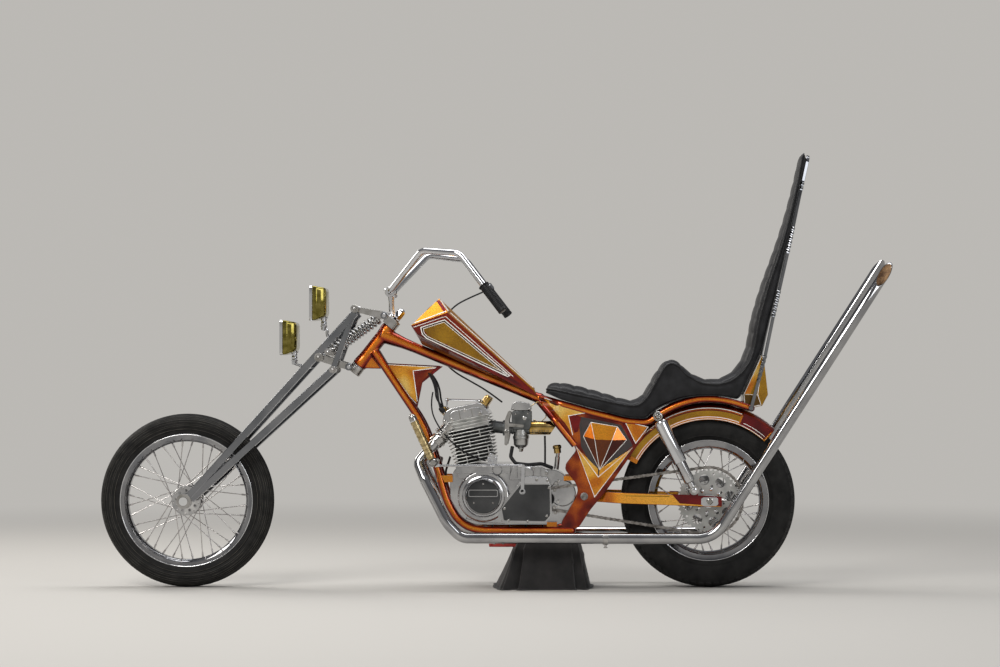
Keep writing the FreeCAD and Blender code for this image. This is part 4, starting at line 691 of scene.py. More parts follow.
def side_bar(build, start, end, y, width, height=None):
    """A square bar in the side view between two (x, z) places, millimetres."""
    a, b = Vector((start[0], start[1])), Vector((end[0], end[1]))
    run = (b - a).normalized()
    side = Vector((run.y, -run.x)) * ((height or width) / 2)
    corners = [a + side, b + side, b - side, a - side]
    build.prism([(c.x * MM, c.y * MM) for c in corners], (y - width / 2) * MM, (y + width / 2) * MM)


def cross_pin(build, place, radius, y0, y1, sides=24):
    """A round pin across the machine between two sides, in millimetres."""
    y0, y1 = min(y0, y1), max(y0, y1)
    build.boss(place[0], place[1], y0, 1, [(0, (radius - 0.8) * MM), (0.0008, radius * MM),
                                           ((y1 - y0 - 0.8) * MM, radius * MM),
                                           ((y1 - y0) * MM, (radius - 0.8) * MM)], sides)


def girder(sign, name, node):
    body = "front_fork"
    y = sign * GIRDER_Y
    axle = FRONT_AXLE_MM
    legs = Build()
    side_bar(legs, (axle[0] + 12, axle[1] + 13), (-487.8, 984.7), y, GIRDER_TUBE)
    side_bar(legs, (axle[0] + 26, axle[1] + 6), REAR_LEG_TOP, y, GIRDER_TUBE - 0.6)
    side_bar(legs, REAR_LEG_TOP, FRONT_LEG_TOP, y, GIRDER_TUBE - 6)
    legs.piece(name + "_legs", PLATE_CHROME, body, replaces=(node,), bevel=0.0022, segments=3)
    fittings = Build()
    cross_pin(fittings, axle, 27, y - 13.2, y + 13.2, 40)
    for place, radius in ((UPPER_LINK[0], 14), (LOWER_LINK[0], 16), (REAR_LEG_TOP, 13), (SPRING_ENDS[0], 13)):
        cross_pin(fittings, place, radius, y - 13, y + 13, 32)
        outer = y + sign * 13
        fittings.boss(place[0], place[1], outer, sign, [(0, 0.0095), (0.006, 0.0095), (0.007, 0.008)], 6)
        fittings.ball(at(place[0], place[1], outer + sign * 6), 0.006, 12)
    for place in (UPPER_LINK[0], LOWER_LINK[0]):
        cross_pin(fittings, place, 7, sign * 46, y)
    fittings.piece(name + "_fittings", OLD_CHROME, body)


def girders():
    girder(-1, "girder_left_bar", "girder_left")
    girder(1, "girder_right_bar", "girder_right")


def link_plates():
    build = Build()
    for (front, rear), r0, r1 in ((UPPER_LINK, 9, 14), (LOWER_LINK, 13, 12)):
        for sign in SIDES:
            y = sign * LINK_Y
            a, b = Vector(front), Vector(rear)
            run = (b - a).normalized()
            ring = []
            for centre, radius, turn in ((a, r0, math.pi), (b, r1, 0)):
                base = math.atan2(run.y, run.x)
                for k in range(13):
                    angle = base + turn - math.pi / 2 + math.pi * k / 12
                    ring.append((centre + Vector((math.cos(angle), math.sin(angle))) * radius) * MM)
            build.prism([(p.x, p.y) for p in ring], (y - LINK_HALF) * MM, (y + LINK_HALF) * MM)
    build.piece("fork_link_plates", OLD_CHROME, "front_fork", replaces=("fork_links",), bevel=0.0014)
    bosses = Build()
    for place, radius in ((UPPER_LINK[0], 12.5), (UPPER_LINK[1], 12.5), (LOWER_LINK[0], 14.5),
                          (LOWER_LINK[1], 13)):
        for sign in SIDES:
            cross_pin(bosses, place, radius, sign * 50.5, sign * 61.5, 28)
            bosses.boss(place[0], place[1], sign * 61, sign, [(0, 0.009), (0.005, 0.009), (0.006, 0.0075)], 6)
    bosses.piece("fork_link_bosses", PLATE_CHROME, "front_fork")


# the upper clamp's foot and top, along the steering axis from the joint
CLAMP_FOOT, CLAMP_TOP = 181, 211


def on_steering(along, ahead=0.0, y=0.0):
    """A place by its distance up the steering axis, ahead of it and to the side."""
    return NECK + STEER_UP * (along * MM) + STEER_AHEAD * (ahead * MM) + Vector((0, y * MM, 0))


def springs():
    coils = Build()
    (x0, z0), (x1, z1) = SPRING_ENDS
    for sign in SIDES:
        a, b = at(x0, z0, sign * SPRING_Y), at(x1, z1, sign * SPRING_Y)
        run = b - a
        ahead = run.normalized()
        side = Vector((0, 1, 0))
        other = ahead.cross(side)
        points = []
        steps = SPRING_TURNS * 22
        for k in range(steps + 1):
            share = k / steps
            angle = 2 * math.pi * SPRING_TURNS * share
            eased = share + 0.012 * math.sin(2 * math.pi * share)
            points.append(a + run * (0.02 + 0.96 * eased)
                          + (side * math.cos(angle) + other * math.sin(angle)) * COIL_R * MM)
        coils.tube(points, WIRE_R * MM, sides=10)
    coils.piece("fork_spring_coils", SPRING_CHROME, "front_fork", replaces=("fork_springs",), smooth=60)
    seats = Build()
    for sign in SIDES:
        a, b = at(x0, z0, sign * SPRING_Y), at(x1, z1, sign * SPRING_Y)
        run = (b - a).normalized()
        for place, ahead in ((a - run * 0.002, run), (b + run * 0.001, -run)):
            seats.stack(place, ahead, [(0, 0.018), (0.001, 0.0195), (0.004, 0.0195), (0.005, 0.011),
                                       (0.02, 0.011)], 32)
        seats.rod(a, b, 0.0055, 12)
    reach = GIRDER_Y - GIRDER_TUBE / 2
    cross_pin(seats, (x0, z0), 9, -reach, reach)
    seats.piece("fork_spring_seats", OLD_CHROME, "front_fork")


def steering_stem():
    body = "front_fork"
    clamps = Build()
    radius = 25
    for low, high in ((-31, -1), (CLAMP_FOOT, CLAMP_TOP)):
        clamps.stack(on_steering(low), STEER_UP, [(0, (radius - 1.5) * MM), (0.0015, radius * MM),
                     ((high - low - 1.5) * MM, radius * MM), ((high - low) * MM, (radius - 1.5) * MM)], 40)
    ring = [on_steering(s, f) for s, f in ((CLAMP_FOOT, -14), (CLAMP_FOOT, 28), (CLAMP_TOP, 28),
                                           (CLAMP_TOP, -14))]
    clamps.prism([(p.x, p.z) for p in ring], -48 * MM, 48 * MM)
    for along, link in ((-16, LOWER_LINK), (196, UPPER_LINK)):
        spot = on_steering(along)
        side_bar(clamps, (spot.x / MM, spot.z / MM), link[1], 0, 24)
    for place in (LOWER_LINK[1], UPPER_LINK[1]):
        cross_pin(clamps, place, 13, -51, 51, 28)
    (x0, z0), (x1, z1) = SPRING_ENDS
    run = (Vector((x1, z1)) - Vector((x0, z0))).normalized() * 9.3
    cross_pin(clamps, (x1 + run.x, z1 + run.y), 9, -46, 46)
    clamps.piece("steering_clamps", OLD_CHROME, body, replaces=("steering_stem",), bevel=0.002, segments=3)
    pins = Build()
    for place in (LOWER_LINK[1], UPPER_LINK[1]):
        cross_pin(pins, place, 7, -68, 68)
    pins.piece("steering_pins", CHROME, body)
    nut = Build()
    dome = [(0, 0.0165), (0.001, 0.0172), (0.010, 0.0172), (0.011, 0.0150), (0.013, 0.0150), (0.014, 0.017),
            (0.032, 0.017)]
    dome += [(0.032 + 0.017 * math.sin(math.radians(d)), 0.017 * math.cos(math.radians(d)))
             for d in (15, 30, 45, 60, 75, 89)]
    nut.stack(on_steering(CLAMP_TOP), STEER_UP, dome, 6)
    nut.piece("stem_nut", CHROME, body, smooth=50)
    rings = Build()
    for low in (-1.0, 176):
        rings.stack(on_steering(low), STEER_UP, [(0, 0.0235), (0.0045, 0.0235)], 40)
    rings.piece("bearing_rings", POLISHED, body)


# ------------------------------------------------------------- headlamps
# each lamp's middle and its mount's foot
LAMPS = (((-730, 896), (-664, 790)), ((-624, 1019), (-574, 890)))
LENS_ROWS, LENS_COLUMNS, LENS_LOW, LENS_LEFT, LENS_HIGH, LENS_WIDE = 9, 10, 50, 62, 100, 12.4


def lamp_ring(x, z, half_w, half_h, corner, lift=0.0):
    """A rounded rectangle that faces forward, in metres."""
    ring = []
    for cy, cz, start in ((1, 1, 0), (-1, 1, 90), (-1, -1, 180), (1, -1, 270)):
        for k in range(4):
            turn = math.radians(start + 30 * k)
            ring.append(Vector((x * MM, (cy * (half_w - corner) + corner * math.cos(turn)) * MM,
                                (z + lift + cz * (half_h - corner) + corner * math.sin(turn)) * MM)))
    return ring


def headlamps():
    body = "front_fork"
    shell, bezel, lens, mounts = builds(4)
    for (x, z), foot in LAMPS:
        shell.rings([lamp_ring(x + dx, z, w, h, 7, lift) for dx, w, h,
                     lift in ((-19, 71, 60, 0), (-17, 73, 61.5, 0), (-6, 72, 60.5, 0.6), (0, 69, 58, 1),
                              (20, 63, 53, 3.2), (27, 58, 48, 4), (30, 50, 40, 4))])
        for side in SIDES:
            flat_panel(shell, ((x - 2, z - 46), (x + 12, z - 42), (x + 12, z + 46), (x - 2, z + 50)),
                       side * 60, side * 70.5)
            shell.boss(x + 6, z - 36, side * 65, side, [(0, 0.004), (0.004, 0.004), (0.005, 0.003)], 12)
        bezel.rings([lamp_ring(x + dx, z, w, h, 8) for dx, w,
                     h in ((-18, 74, 62), (-19, 75, 63), (-28, 75, 63), (-29.5, 73.5, 61.5), (-29.5, 68, 56),
                           (-23, 66, 54))])
        for row in range(LENS_ROWS):
            z0 = z - LENS_LOW + row * LENS_HIGH / LENS_ROWS
            for col in range(LENS_COLUMNS):
                y0 = -LENS_LEFT + col * LENS_WIDE
                tilt = 2.2 * (1 - ((row - 4) / 4.5) ** 2)
                lens.rings([[at(x - 27.5 - d, z0 + c, y0 + a) for a,
                             c in ((s, s), (LENS_WIDE - s, s), (LENS_WIDE - s, 11.1 - s), (s, 11.1 - s))]
                            for d, s in ((-3, 0.0), (0, 0.0), (tilt, 3.0))])
        ball = at(x + 16, z - 71)
        mounts.ball(ball, 0.011, 24)
        mounts.stack(at(x + 16, z - 48), (0, 0, -1), [(0, 0.015), (0.005, 0.015), (0.006, 0.011),
                                                      (0.016, 0.010)], 24)
        mounts.stack(ball - Vector((0, 0, 0.008)), (0, 0, -1),
                     [(0, 0.0125), (0.004, 0.0125), (0.006, 0.010), (0.015, 0.010)], 24)
        elbow = ball - Vector((0, 0, 0.021))
        reach = at(foot[0], foot[1])
        route = bent_path((elbow, elbow + Vector((0.012, 0, -0.004)), reach - Vector((0.022, 0, -0.004)),
                           reach), (0.006, 0.02), 8)
        mounts.tube(route, 0.0058, 14)
        cross_pin(mounts, foot, 8, -69, 69)
        mounts.stack(elbow + Vector((0, 0, 0.004)), (0, 0, -1), [(0, 0.009), (0.008, 0.009), (0.009, 0.007)],
                     6)
    shell.piece("headlamp_shells", LAMP_GOLD, body, replaces=("headlamps",), smooth=40, bevel=0.0012)
    bezel.piece("headlamp_bezels", CHROME, body, smooth=45)
    lens.piece("headlamp_lenses", LENS, body, smooth=20)
    mounts.piece("headlamp_mounts", CHROME, body, replaces=("lamp_brackets",))


# ------------------------------------------------------------- handlebar
BAR_BENDS = ((-366, -70, 1060), (-244, -185, 1201), (-109, -252, 1188), (45, -318, 987))
BAR_BEND_R = (32, 48, 48)
RISER_Y = 34.0
BAR_R = 0.0115


def handlebar():
    body = "front_fork"
    left = [Vector(p) * MM for p in BAR_BENDS]
    radii = [r * MM for r in BAR_BEND_R]
    path = bent_path(left[::-1] + [mirror(p) for p in left], radii[::-1] + radii, 14)
    bar = Build()
    bar.tube(path, BAR_R, 32)
    bar.piece("handlebar_tube", CHROME, body, replaces=("handlebar",), smooth=60)
    grips, ends = builds(2)
    back = (left[-2] - left[-1]).normalized()
    for sign in SIDES:
        flip = Vector((1, -sign, 1))
        start = left[-1] * flip if sign > 0 else left[-1]
        run = back * flip if sign > 0 else back
        profile = [(-0.004, 0.013), (-0.003, 0.017), (0.003, 0.0172)]
        profile += ribs(0.007, 0.006, 17, ((0, 0.0162), (0.002, 0.0162), (0.0025, 0.0170), (0.0055, 0.0170)))
        profile += [(0.110, 0.0165), (0.1105, 0.0195), (0.114, 0.0195), (0.1145, 0.012)]
        grips.stack(start, run, profile, 40)
        ends.stack(start - run * 0.004, -run, [(-0.001, 0.0105), (0.0, 0.0105), (0.001, 0.008)], 24)
    grips.piece("grips_ribbed", RUBBER, body, replaces=("grips",), smooth=25)
    ends.piece("bar_ends", DARK_STEEL, body)
    throttle = Build()
    start, run = mirror(left[-1]), mirror(back)
    throttle.stack(start + run * 0.1145, run, [(0, 0.020), (0.001, 0.022), (0.020, 0.022), (0.024, 0.016)],
                   36)
    throttle.rod(at(-47.5, 1079, 287), start + run * 0.128, 0.0052)
    throttle.piece("throttle_housing", CHROME, body)
    risers = Build()
    clamp = (BAR_BENDS[0][0], BAR_BENDS[0][2])
    for sign in SIDES:
        foot = on_steering(211.6, 14, sign * RISER_Y)
        head = at(clamp[0], clamp[1], sign * RISER_Y)
        risers.stack(foot, head - foot, [(0, 0.0125), (0.006, 0.0125), (0.010, 0.0085), (0.05, 0.0075),
                                         (0.072, 0.0095), (0.085, 0.012)], 24)
        cross_pin(risers, clamp, 19, sign * RISER_Y - 11, sign * RISER_Y + 11, 32)
        for dx, dz in ((-16, 6), (13, -12)):
            spot = at(clamp[0] + dx, clamp[1] + dz, sign * RISER_Y)
            away = Vector((dx, 0, dz)).normalized()
            risers.stack(spot - away * 0.004, away, [(0, 0.0062), (0.010, 0.0062), (0.011, 0.005)], 6)
    risers.piece("bar_risers", CHROME, body)


# ------------------------------------------------------------- painted metal
def remade(obj, *steps):
    """Run modifiers on a piece and keep their result."""
    for kind, settings in steps:
        step = obj.modifiers.new("step", kind)
        for key, value in settings.items():
            setattr(step, key, value)
    data = finished_mesh(obj)
    obj.modifiers.clear()
    obj.data = data
    data.shade_smooth()
    return obj


def melted(build, name, material, body, voxel, rounds, **options):
    """One skin round overlapping solids, with soft fillets between them."""
    obj = build.piece(name, material, body, **options)
    return remade(obj, ("REMESH", {"mode": "VOXEL", "voxel_size": voxel, "use_smooth_shade": True}),
                  ("SMOOTH", {"factor": 0.5, "iterations": rounds}))


def pipe(build, points, radii, radius, sides=24, steps=12):
    path = bent_path([Vector(p) * MM for p in points], [r * MM for r in radii], steps)
    build.tube(path, radius * MM, sides)


def strip_outline(points, width, closed=False):
    """Corner pairs of a mitred line in the side view."""
    flat = [Vector(p) for p in points]
    count = len(flat)
    pairs = []
    for i, p in enumerate(flat):
        before = flat[(i - 1) % count] if closed or i else None
        after = flat[(i + 1) % count] if closed or i < count - 1 else None
        runs = [v.normalized() for v in ((p - before) if before else None, (after - p) if after else None)
                if v]
        sides = [Vector((-r.y, r.x)) for r in runs]
        side = sum(sides, Vector((0, 0))).normalized()
        reach = width / 2 / max(side.dot(sides[0]), 0.35)
        pairs.append((p + side * reach, p - side * reach))
    return pairs


def flat_line(build, points, width, y0, y1, closed=False):
    """A line of paint on a flat side: millimetres, raised from y0 to y1."""
    pairs = strip_outline(points, width, closed)
    rings = [[at(a.x, a.y, y0), at(a.x, a.y, y1), at(b.x, b.y, y1), at(b.x, b.y, y0)] for a, b in pairs]
    build.rings(rings, closed=closed)


def flat_panel(build, points, y0, y1):
    """A flat outline between two sides, in millimetres."""
    build.prism(outline(points), min(y0, y1) * MM, max(y0, y1) * MM)


def soft_panel(build, points, radius, y0, y1):
    flat_panel(build, round_corners(points, radius), y0, y1)


def surface_of(obj):
    depsgraph = bpy.context.evaluated_depsgraph_get()
    evaluated = obj.evaluated_get(depsgraph)
    return BVHTree.FromObject(evaluated, depsgraph)


def laid(tree, x, z, side, lift):
    """The outer place of a surface at a spot of the side view."""
    start = at(x, z, side * 400)
    hit, normal, _, _ = tree.ray_cast(start, Vector((0, -side, 0)))
    if hit is None:
        hit, normal, _, _ = tree.find_nearest(at(x, z, side * 60))
    if normal.y * side < 0:
        normal = -normal
    return hit + normal * lift, normal


def stepped(points, step, closed):
    """Places along a line, no further apart than about a step."""
    flat = [Vector(p) for p in points] + ([Vector(points[0])] if closed else [])
    dense = []
    for a, b in zip(flat, flat[1:]):
        count = max(1, int((b - a).length / step))
        dense += [a + (b - a) * (k / count) for k in range(count)]
    return dense if closed else dense + [flat[-1]]


def laid_line(build, tree, points, width, side, lift=0.0007, step=7.0, closed=False):
    """A line of paint that follows a surface."""
    rings = []
    for a, b in strip_outline(stepped(points, step, closed), width, closed):
        (pa, na), (pb, nb) = (laid(tree, p.x, p.y, side, lift) for p in (a, b))
        rings.append([pa - na * lift * 2, pa, pb, pb - nb * lift * 2])
    build.rings(rings, closed=closed)


# ------------------------------------------------------------- frame
RAIL_Y, RAIL_Z, RAIL_R, SEAT_RAIL_R = 95, 208, 14, 12
BACKBONE = ((-400, 0, 909), (172, 0, 675.5))
DOWNTUBE = ((-424, -18, 846), (-246, -50, 583), (-202, -70, 448), (-160, -88, 310), (-108, -95, 219),
            (-20, -95, 208), (285, -95, 208))
DOWNTUBE_BEND_R = (400, 300, 220, 120, 160)
SEAT_RAIL = ((172, -8, 680), (240, -95, 660), (350, -95, 629), (476, -95, 597), (556, -95, 591))
SEAT_RAIL_BEND_R = (34, 300, 200, 60)
REAR_STRUT = ((168, -8, 666), (226, -95, 600), (296, -95, 512))
FRONT_GUSSET = ((-392, 804), (-179, 793), (-253, 734), (-272, 640), (-300, 668))
NECK_GUSSET = ((-466, 786), (-386, 784), (-398, 828), (-420, 868), (-440, 846))
REAR_PLATE = ((172, 668), (226, 662), (350, 629), (476, 597), (562, 580), (501, 485), (404, 345), (352, 284),
              (307, 215), (250, 208), (247, 237), (266, 268), (307, 338), (303, 372), (256, 431), (303, 492),
              (284, 524), (226, 602), (174, 660))
PLATE_WINDOW = ((312, 612), (458, 582), (499, 512), (381, 402), (320, 508))
PIVOT = (329, 330)
LOOP_R, FENDER_R = 363.0, 350.0
# millimetres: the sides of the two gussets and of the rear plates; metres: where and by how much the rear
# panels bend inward
NECK_GUSSET_Y, STAR_Y, PLATE_IN, PLATE_OUT = 15, 8, 88, 102
DRAW_FROM, DRAW_BY = 0.240, 0.066


def loop_point(degrees, radius=LOOP_R, y=-RAIL_Y):
    turn = math.radians(degrees)
    return (REAR_AXLE_MM[0] + radius * math.cos(turn), y, REAR_AXLE_MM[1] + radius * math.sin(turn))


def main_frame():
    neck = Build()
    neck.stack(on_steering(0), STEER_UP, [(0, 0.0245), (0.004, 0.0262), (0.018, 0.0262), (0.04, 0.0238),
                                          (0.14, 0.0238), (0.160, 0.0262), (0.176, 0.0262), (0.180, 0.0245)],
               48)
    a, b = Vector(BACKBONE[0]) * MM, Vector(BACKBONE[1]) * MM
    run = (b - a).normalized()
    neck.stack(a, run, [(0, 0.030), (0.04, 0.026), (0.085, 0.0205), (0.13, 0.0187), (0.16, 0.0186)], 40)
    for side in SIDES:
        points = [Vector((x, -side * y, z)) * MM for x, y, z in DOWNTUBE[:2]]
        ahead = (points[1] - points[0]).normalized()
        neck.stack(points[0], ahead, [(0, 0.018), (0.03, 0.0165), (0.07, 0.0141), (0.1, 0.0140)], 32)
    flat_panel(neck, NECK_GUSSET, -NECK_GUSSET_Y, NECK_GUSSET_Y)
    melted(neck, "frame_neck", PAINT, "frame", 0.0022, 14, replaces=("main_frame",))

    tubes = Build()
    tubes.stack(a + run * 0.15, run, [(0, 0.0185), ((b - a).length - 0.15, 0.0185)], 40)
    tubes.ball(b - run * 0.004, 0.0205, 28)
    pipe(tubes, ((172, 0, 675.5), (196, 0, 668)), (), 17)
    corner = 1 / math.cos(math.radians(12))
    loop = [loop_point(109, LOOP_R * corner), loop_point(85, LOOP_R * corner), loop_point(65.5)]
    half = Build()
    pipe(half, DOWNTUBE, DOWNTUBE_BEND_R, RAIL_R)
    pipe(half, SEAT_RAIL + tuple(loop), SEAT_RAIL_BEND_R + (LOOP_R * 0.97,) * 2, SEAT_RAIL_R, steps=16)
    pipe(half, REAR_STRUT, (40,), RAIL_R - 1)
    half.ball(Vector(loop[-1]) * MM, 0.0121, 20)
    half.ball(Vector(DOWNTUBE[-1]) * MM, 0.0141, 20)
    for x0, x1, y0, y1, z0, z1 in ((-196, -140, -88, -68.3, 380, 404), (256, 302, -89, -68.3, 386, 402),
                                   (196, 232, -95, -68.3, 212, 238)):
        half.block((x0 * MM, y0 * MM, z0 * MM), (x1 * MM, y1 * MM, z1 * MM))
    half.mirrored()
    tubes.add(half.verts, half.faces)
    for spot in ((-30, RAIL_Z), (228, RAIL_Z)):
        cross_pin(tubes, spot, 9, -RAIL_Y, RAIL_Y)
    for degrees in (117, 78):
        x, _, z = loop_point(degrees, FENDER_R + 8.3)
        cross_pin(tubes, (x, z), 8, -RAIL_Y, RAIL_Y)
    tubes.piece("frame_tubes", PAINT, smooth=60)

    star = Build()
    flat_panel(star, FRONT_GUSSET, -STAR_Y, STAR_Y)
    star.piece("frame_star_plate", PAINT_RED, bevel=0.0025, segments=3)
    plates = Build()
    flat_panel(plates, round_corners(REAR_PLATE, 18, 5), -PLATE_OUT, -PLATE_IN)
    plates.mirrored()
    slab = drawn_in(plates.piece("frame_rear_plates", PAINT_ORANGE, smooth=25))
    window = Build()
    flat_panel(window, PLATE_WINDOW, -200, 200)
    carved(slab, [window])
    bevelled(slab, 0.003, 3, 40)


STAR_NOTCH = (-286, 777)


def front_star():
    """The star panels and lines on the gusset behind the neck."""
    gold, white, dark, red = builds(4)
    left = ((-381, 800), STAR_NOTCH, (-273, 662), (-296, 684))
    upper = ((-381, 800), (-200, 791), STAR_NOTCH)
    inner = ((-205, 788), (-252, 741), (-268, 676), (-283, 771))
    for y0, y1 in ((-8.3, -10.6), (8.3, 10.6)):
        flat_panel(gold, left, y0, y1)
        flat_panel(gold, upper, y0, y1)
        flat_panel(red, inner, y0, y1)
        top = y1 + (0.5 if y1 > 0 else -0.5)
        flat_line(white, ((-378, 799.5), (-203, 790)), 2.0, y0, top)
        flat_line(white, ((-206, 787.5), STAR_NOTCH, (-271, 668)), 2.6, y0, top)
        flat_line(white, ((-378, 797), (-297, 683), (-274, 658)), 2.0, y0, top)
        flat_line(dark, ((-384, 804), (-190, 794)), 2.2, y0, top)
        flat_line(dark, ((-208, 783), (-280, 767), (-268, 680)), 2.4, y0, top)
    gold.piece("star_gold", PAINT_STAR, bevel=0.0006, smooth=30)
    red.piece("star_orange", PAINT_ORANGE, bevel=0.0006, smooth=30)
    white.piece("star_white_lines", WHITE_LINE)
    dark.piece("star_dark_lines", PAINT_RED)


REAR_STARS = (
    # gold panels: outlines on the rear plate
    ((184, 678), (343, 629), (272, 616), (288, 548), (262, 590)),
    ((299, 507), (378, 396), (378, 428)),
    ((499, 501), (366, 330), (380, 396), (384, 426)),
    ((299, 507), (366, 330), (380, 396)),
    ((476, 595), (552, 577), (512, 521)),
)
REAR_WHITE = (
    ((186, 680), (343, 629), (273, 617), (288, 548)),
    ((299, 509), (379, 399), (499, 502), (366, 328), (299, 509)),
    ((474, 597), (556, 577), (512, 519), (474, 597)),
)
REAR_RED = (
    ((276, 613), (300, 620), (318, 612), (306, 560), (294, 556)),
    ((462, 594), (474, 590), (508, 520), (500, 512)),
)


def drawn_in(obj):
    """Bend a side panel inward ahead of the place where the frame narrows."""
    mesh = bmesh.new()
    mesh.from_mesh(obj.data)
    for x in (DRAW_FROM, 0.222, 0.204, 0.188):
        geometry = mesh.verts[:] + mesh.edges[:] + mesh.faces[:]
        bmesh.ops.bisect_plane(mesh, geom=geometry, plane_co=(x, 0, 0), plane_no=(1, 0, 0))
    for vertex in mesh.verts:
        if vertex.co.x < DRAW_FROM:
            share = min(1.0, (DRAW_FROM - vertex.co.x) / DRAW_BY)
            vertex.co.y -= math.copysign(DRAW_BY * share, vertex.co.y)
    mesh.to_mesh(obj.data)
    mesh.free()
    return obj


def rear_panels():
    gold, white, red, dark = builds(4)
    for table, build, high in ((REAR_STARS, gold, 2.0), (REAR_RED, red, 1.4)):
        for points in table:
            flat_panel(build, points, -PLATE_OUT + 0.1, -PLATE_OUT - high)
    for points in REAR_WHITE:
        closed = points[0] == points[-1]
        flat_line(white, points[:-1] if closed else points, 2.4, -PLATE_OUT, -104.6, closed)
    flat_line(dark, PLATE_WINDOW, 5.0, -101.5, -103.0, True)
    for build in (gold, white, red, dark):
        build.mirrored()
    drawn_in(gold.piece("panel_gold", PAINT_STAR, bevel=0.0006, smooth=30))
    red.piece("panel_red", PAINT_RED, bevel=0.0006, smooth=30)
    drawn_in(white.piece("panel_white_lines", WHITE_LINE))
    dark.piece("window_border", BLACK_LINE)
    bolts = Build()
    for side in SIDES:
        bolts.boss(PIVOT[0], PIVOT[1], side * PLATE_OUT, side,
                   [(0, 0.0135), (0.003, 0.0135), (0.0035, 0.012)], 32)
        bolts.boss(PIVOT[0], PIVOT[1], side * 104, side, [(0, 0.0098), (0.007, 0.0098), (0.008, 0.0085)], 6)
    bolts.piece("pivot_nuts", DARK_STEEL)


# top left, top right, right, bottom and left of the gem, then its two high places
GEM = ((353, 594), (447, 578), (480, 531), (384, 424), (326, 544))
GEM_HIGH = ((366, 533), (428, 530))


def gem_covers():
    outer = [(x, -104.5, z) for x, z in GEM]
    high = [(x, -121.0, z) for x, z in GEM_HIGH]
    verts = [Vector(p) * MM for p in outer + high]
    verts += [Vector((x, -90.0, z)) * MM for x, z in GEM]
    faces = [(0, 1, 6, 5), (4, 0, 5), (1, 2, 6), (5, 6, 3), (4, 5, 3), (6, 2, 3), (11, 10, 9, 8, 7)]
    faces += [(i, 7 + i, 7 + (i + 1) % 5, (i + 1) % 5) for i in range(5)]
    gem, lines, base = builds(3)
    gem.add(verts, faces)
    gem.mirrored()
    gem.piece("gem_facets", PAINT_GEM, replaces=("side_covers",), smooth=5, bevel=0.0008)
    for path in ((0, 5, 3), (1, 6, 3)):
        points = [verts[i] + Vector((0, -0.0004, 0)) for i in path]
        lines.tube(points, 0.0011, 8)
    lines.tube([verts[i] for i in range(5)], 0.0013, 8, closed=True)
    lines.mirrored()
    lines.piece("gem_lines", WHITE_LINE, smooth=60)
    middle = Vector((392, 520))
    shrunk = [middle + (Vector(p) - middle) * 0.985 for p in PLATE_WINDOW]
    flat_panel(base, [(p.x, p.y) for p in shrunk], -100, -90)
    base.mirrored()
    base.piece("gem_bases", BLACK_LINE)


# ------------------------------------------------------------- tank
TANK_FRONT = ((-252, 34, 871), (-264, 112, 906), (-286, 122, 938), (-158, 98, 985), (-190, 44, 1036))
TANK_FACET_ANGLE = 12
TANK_REAR = ((160, 27, 684), (150, 30, 698), (148, 31, 705), (150, 28, 710), (150, 14, 716))


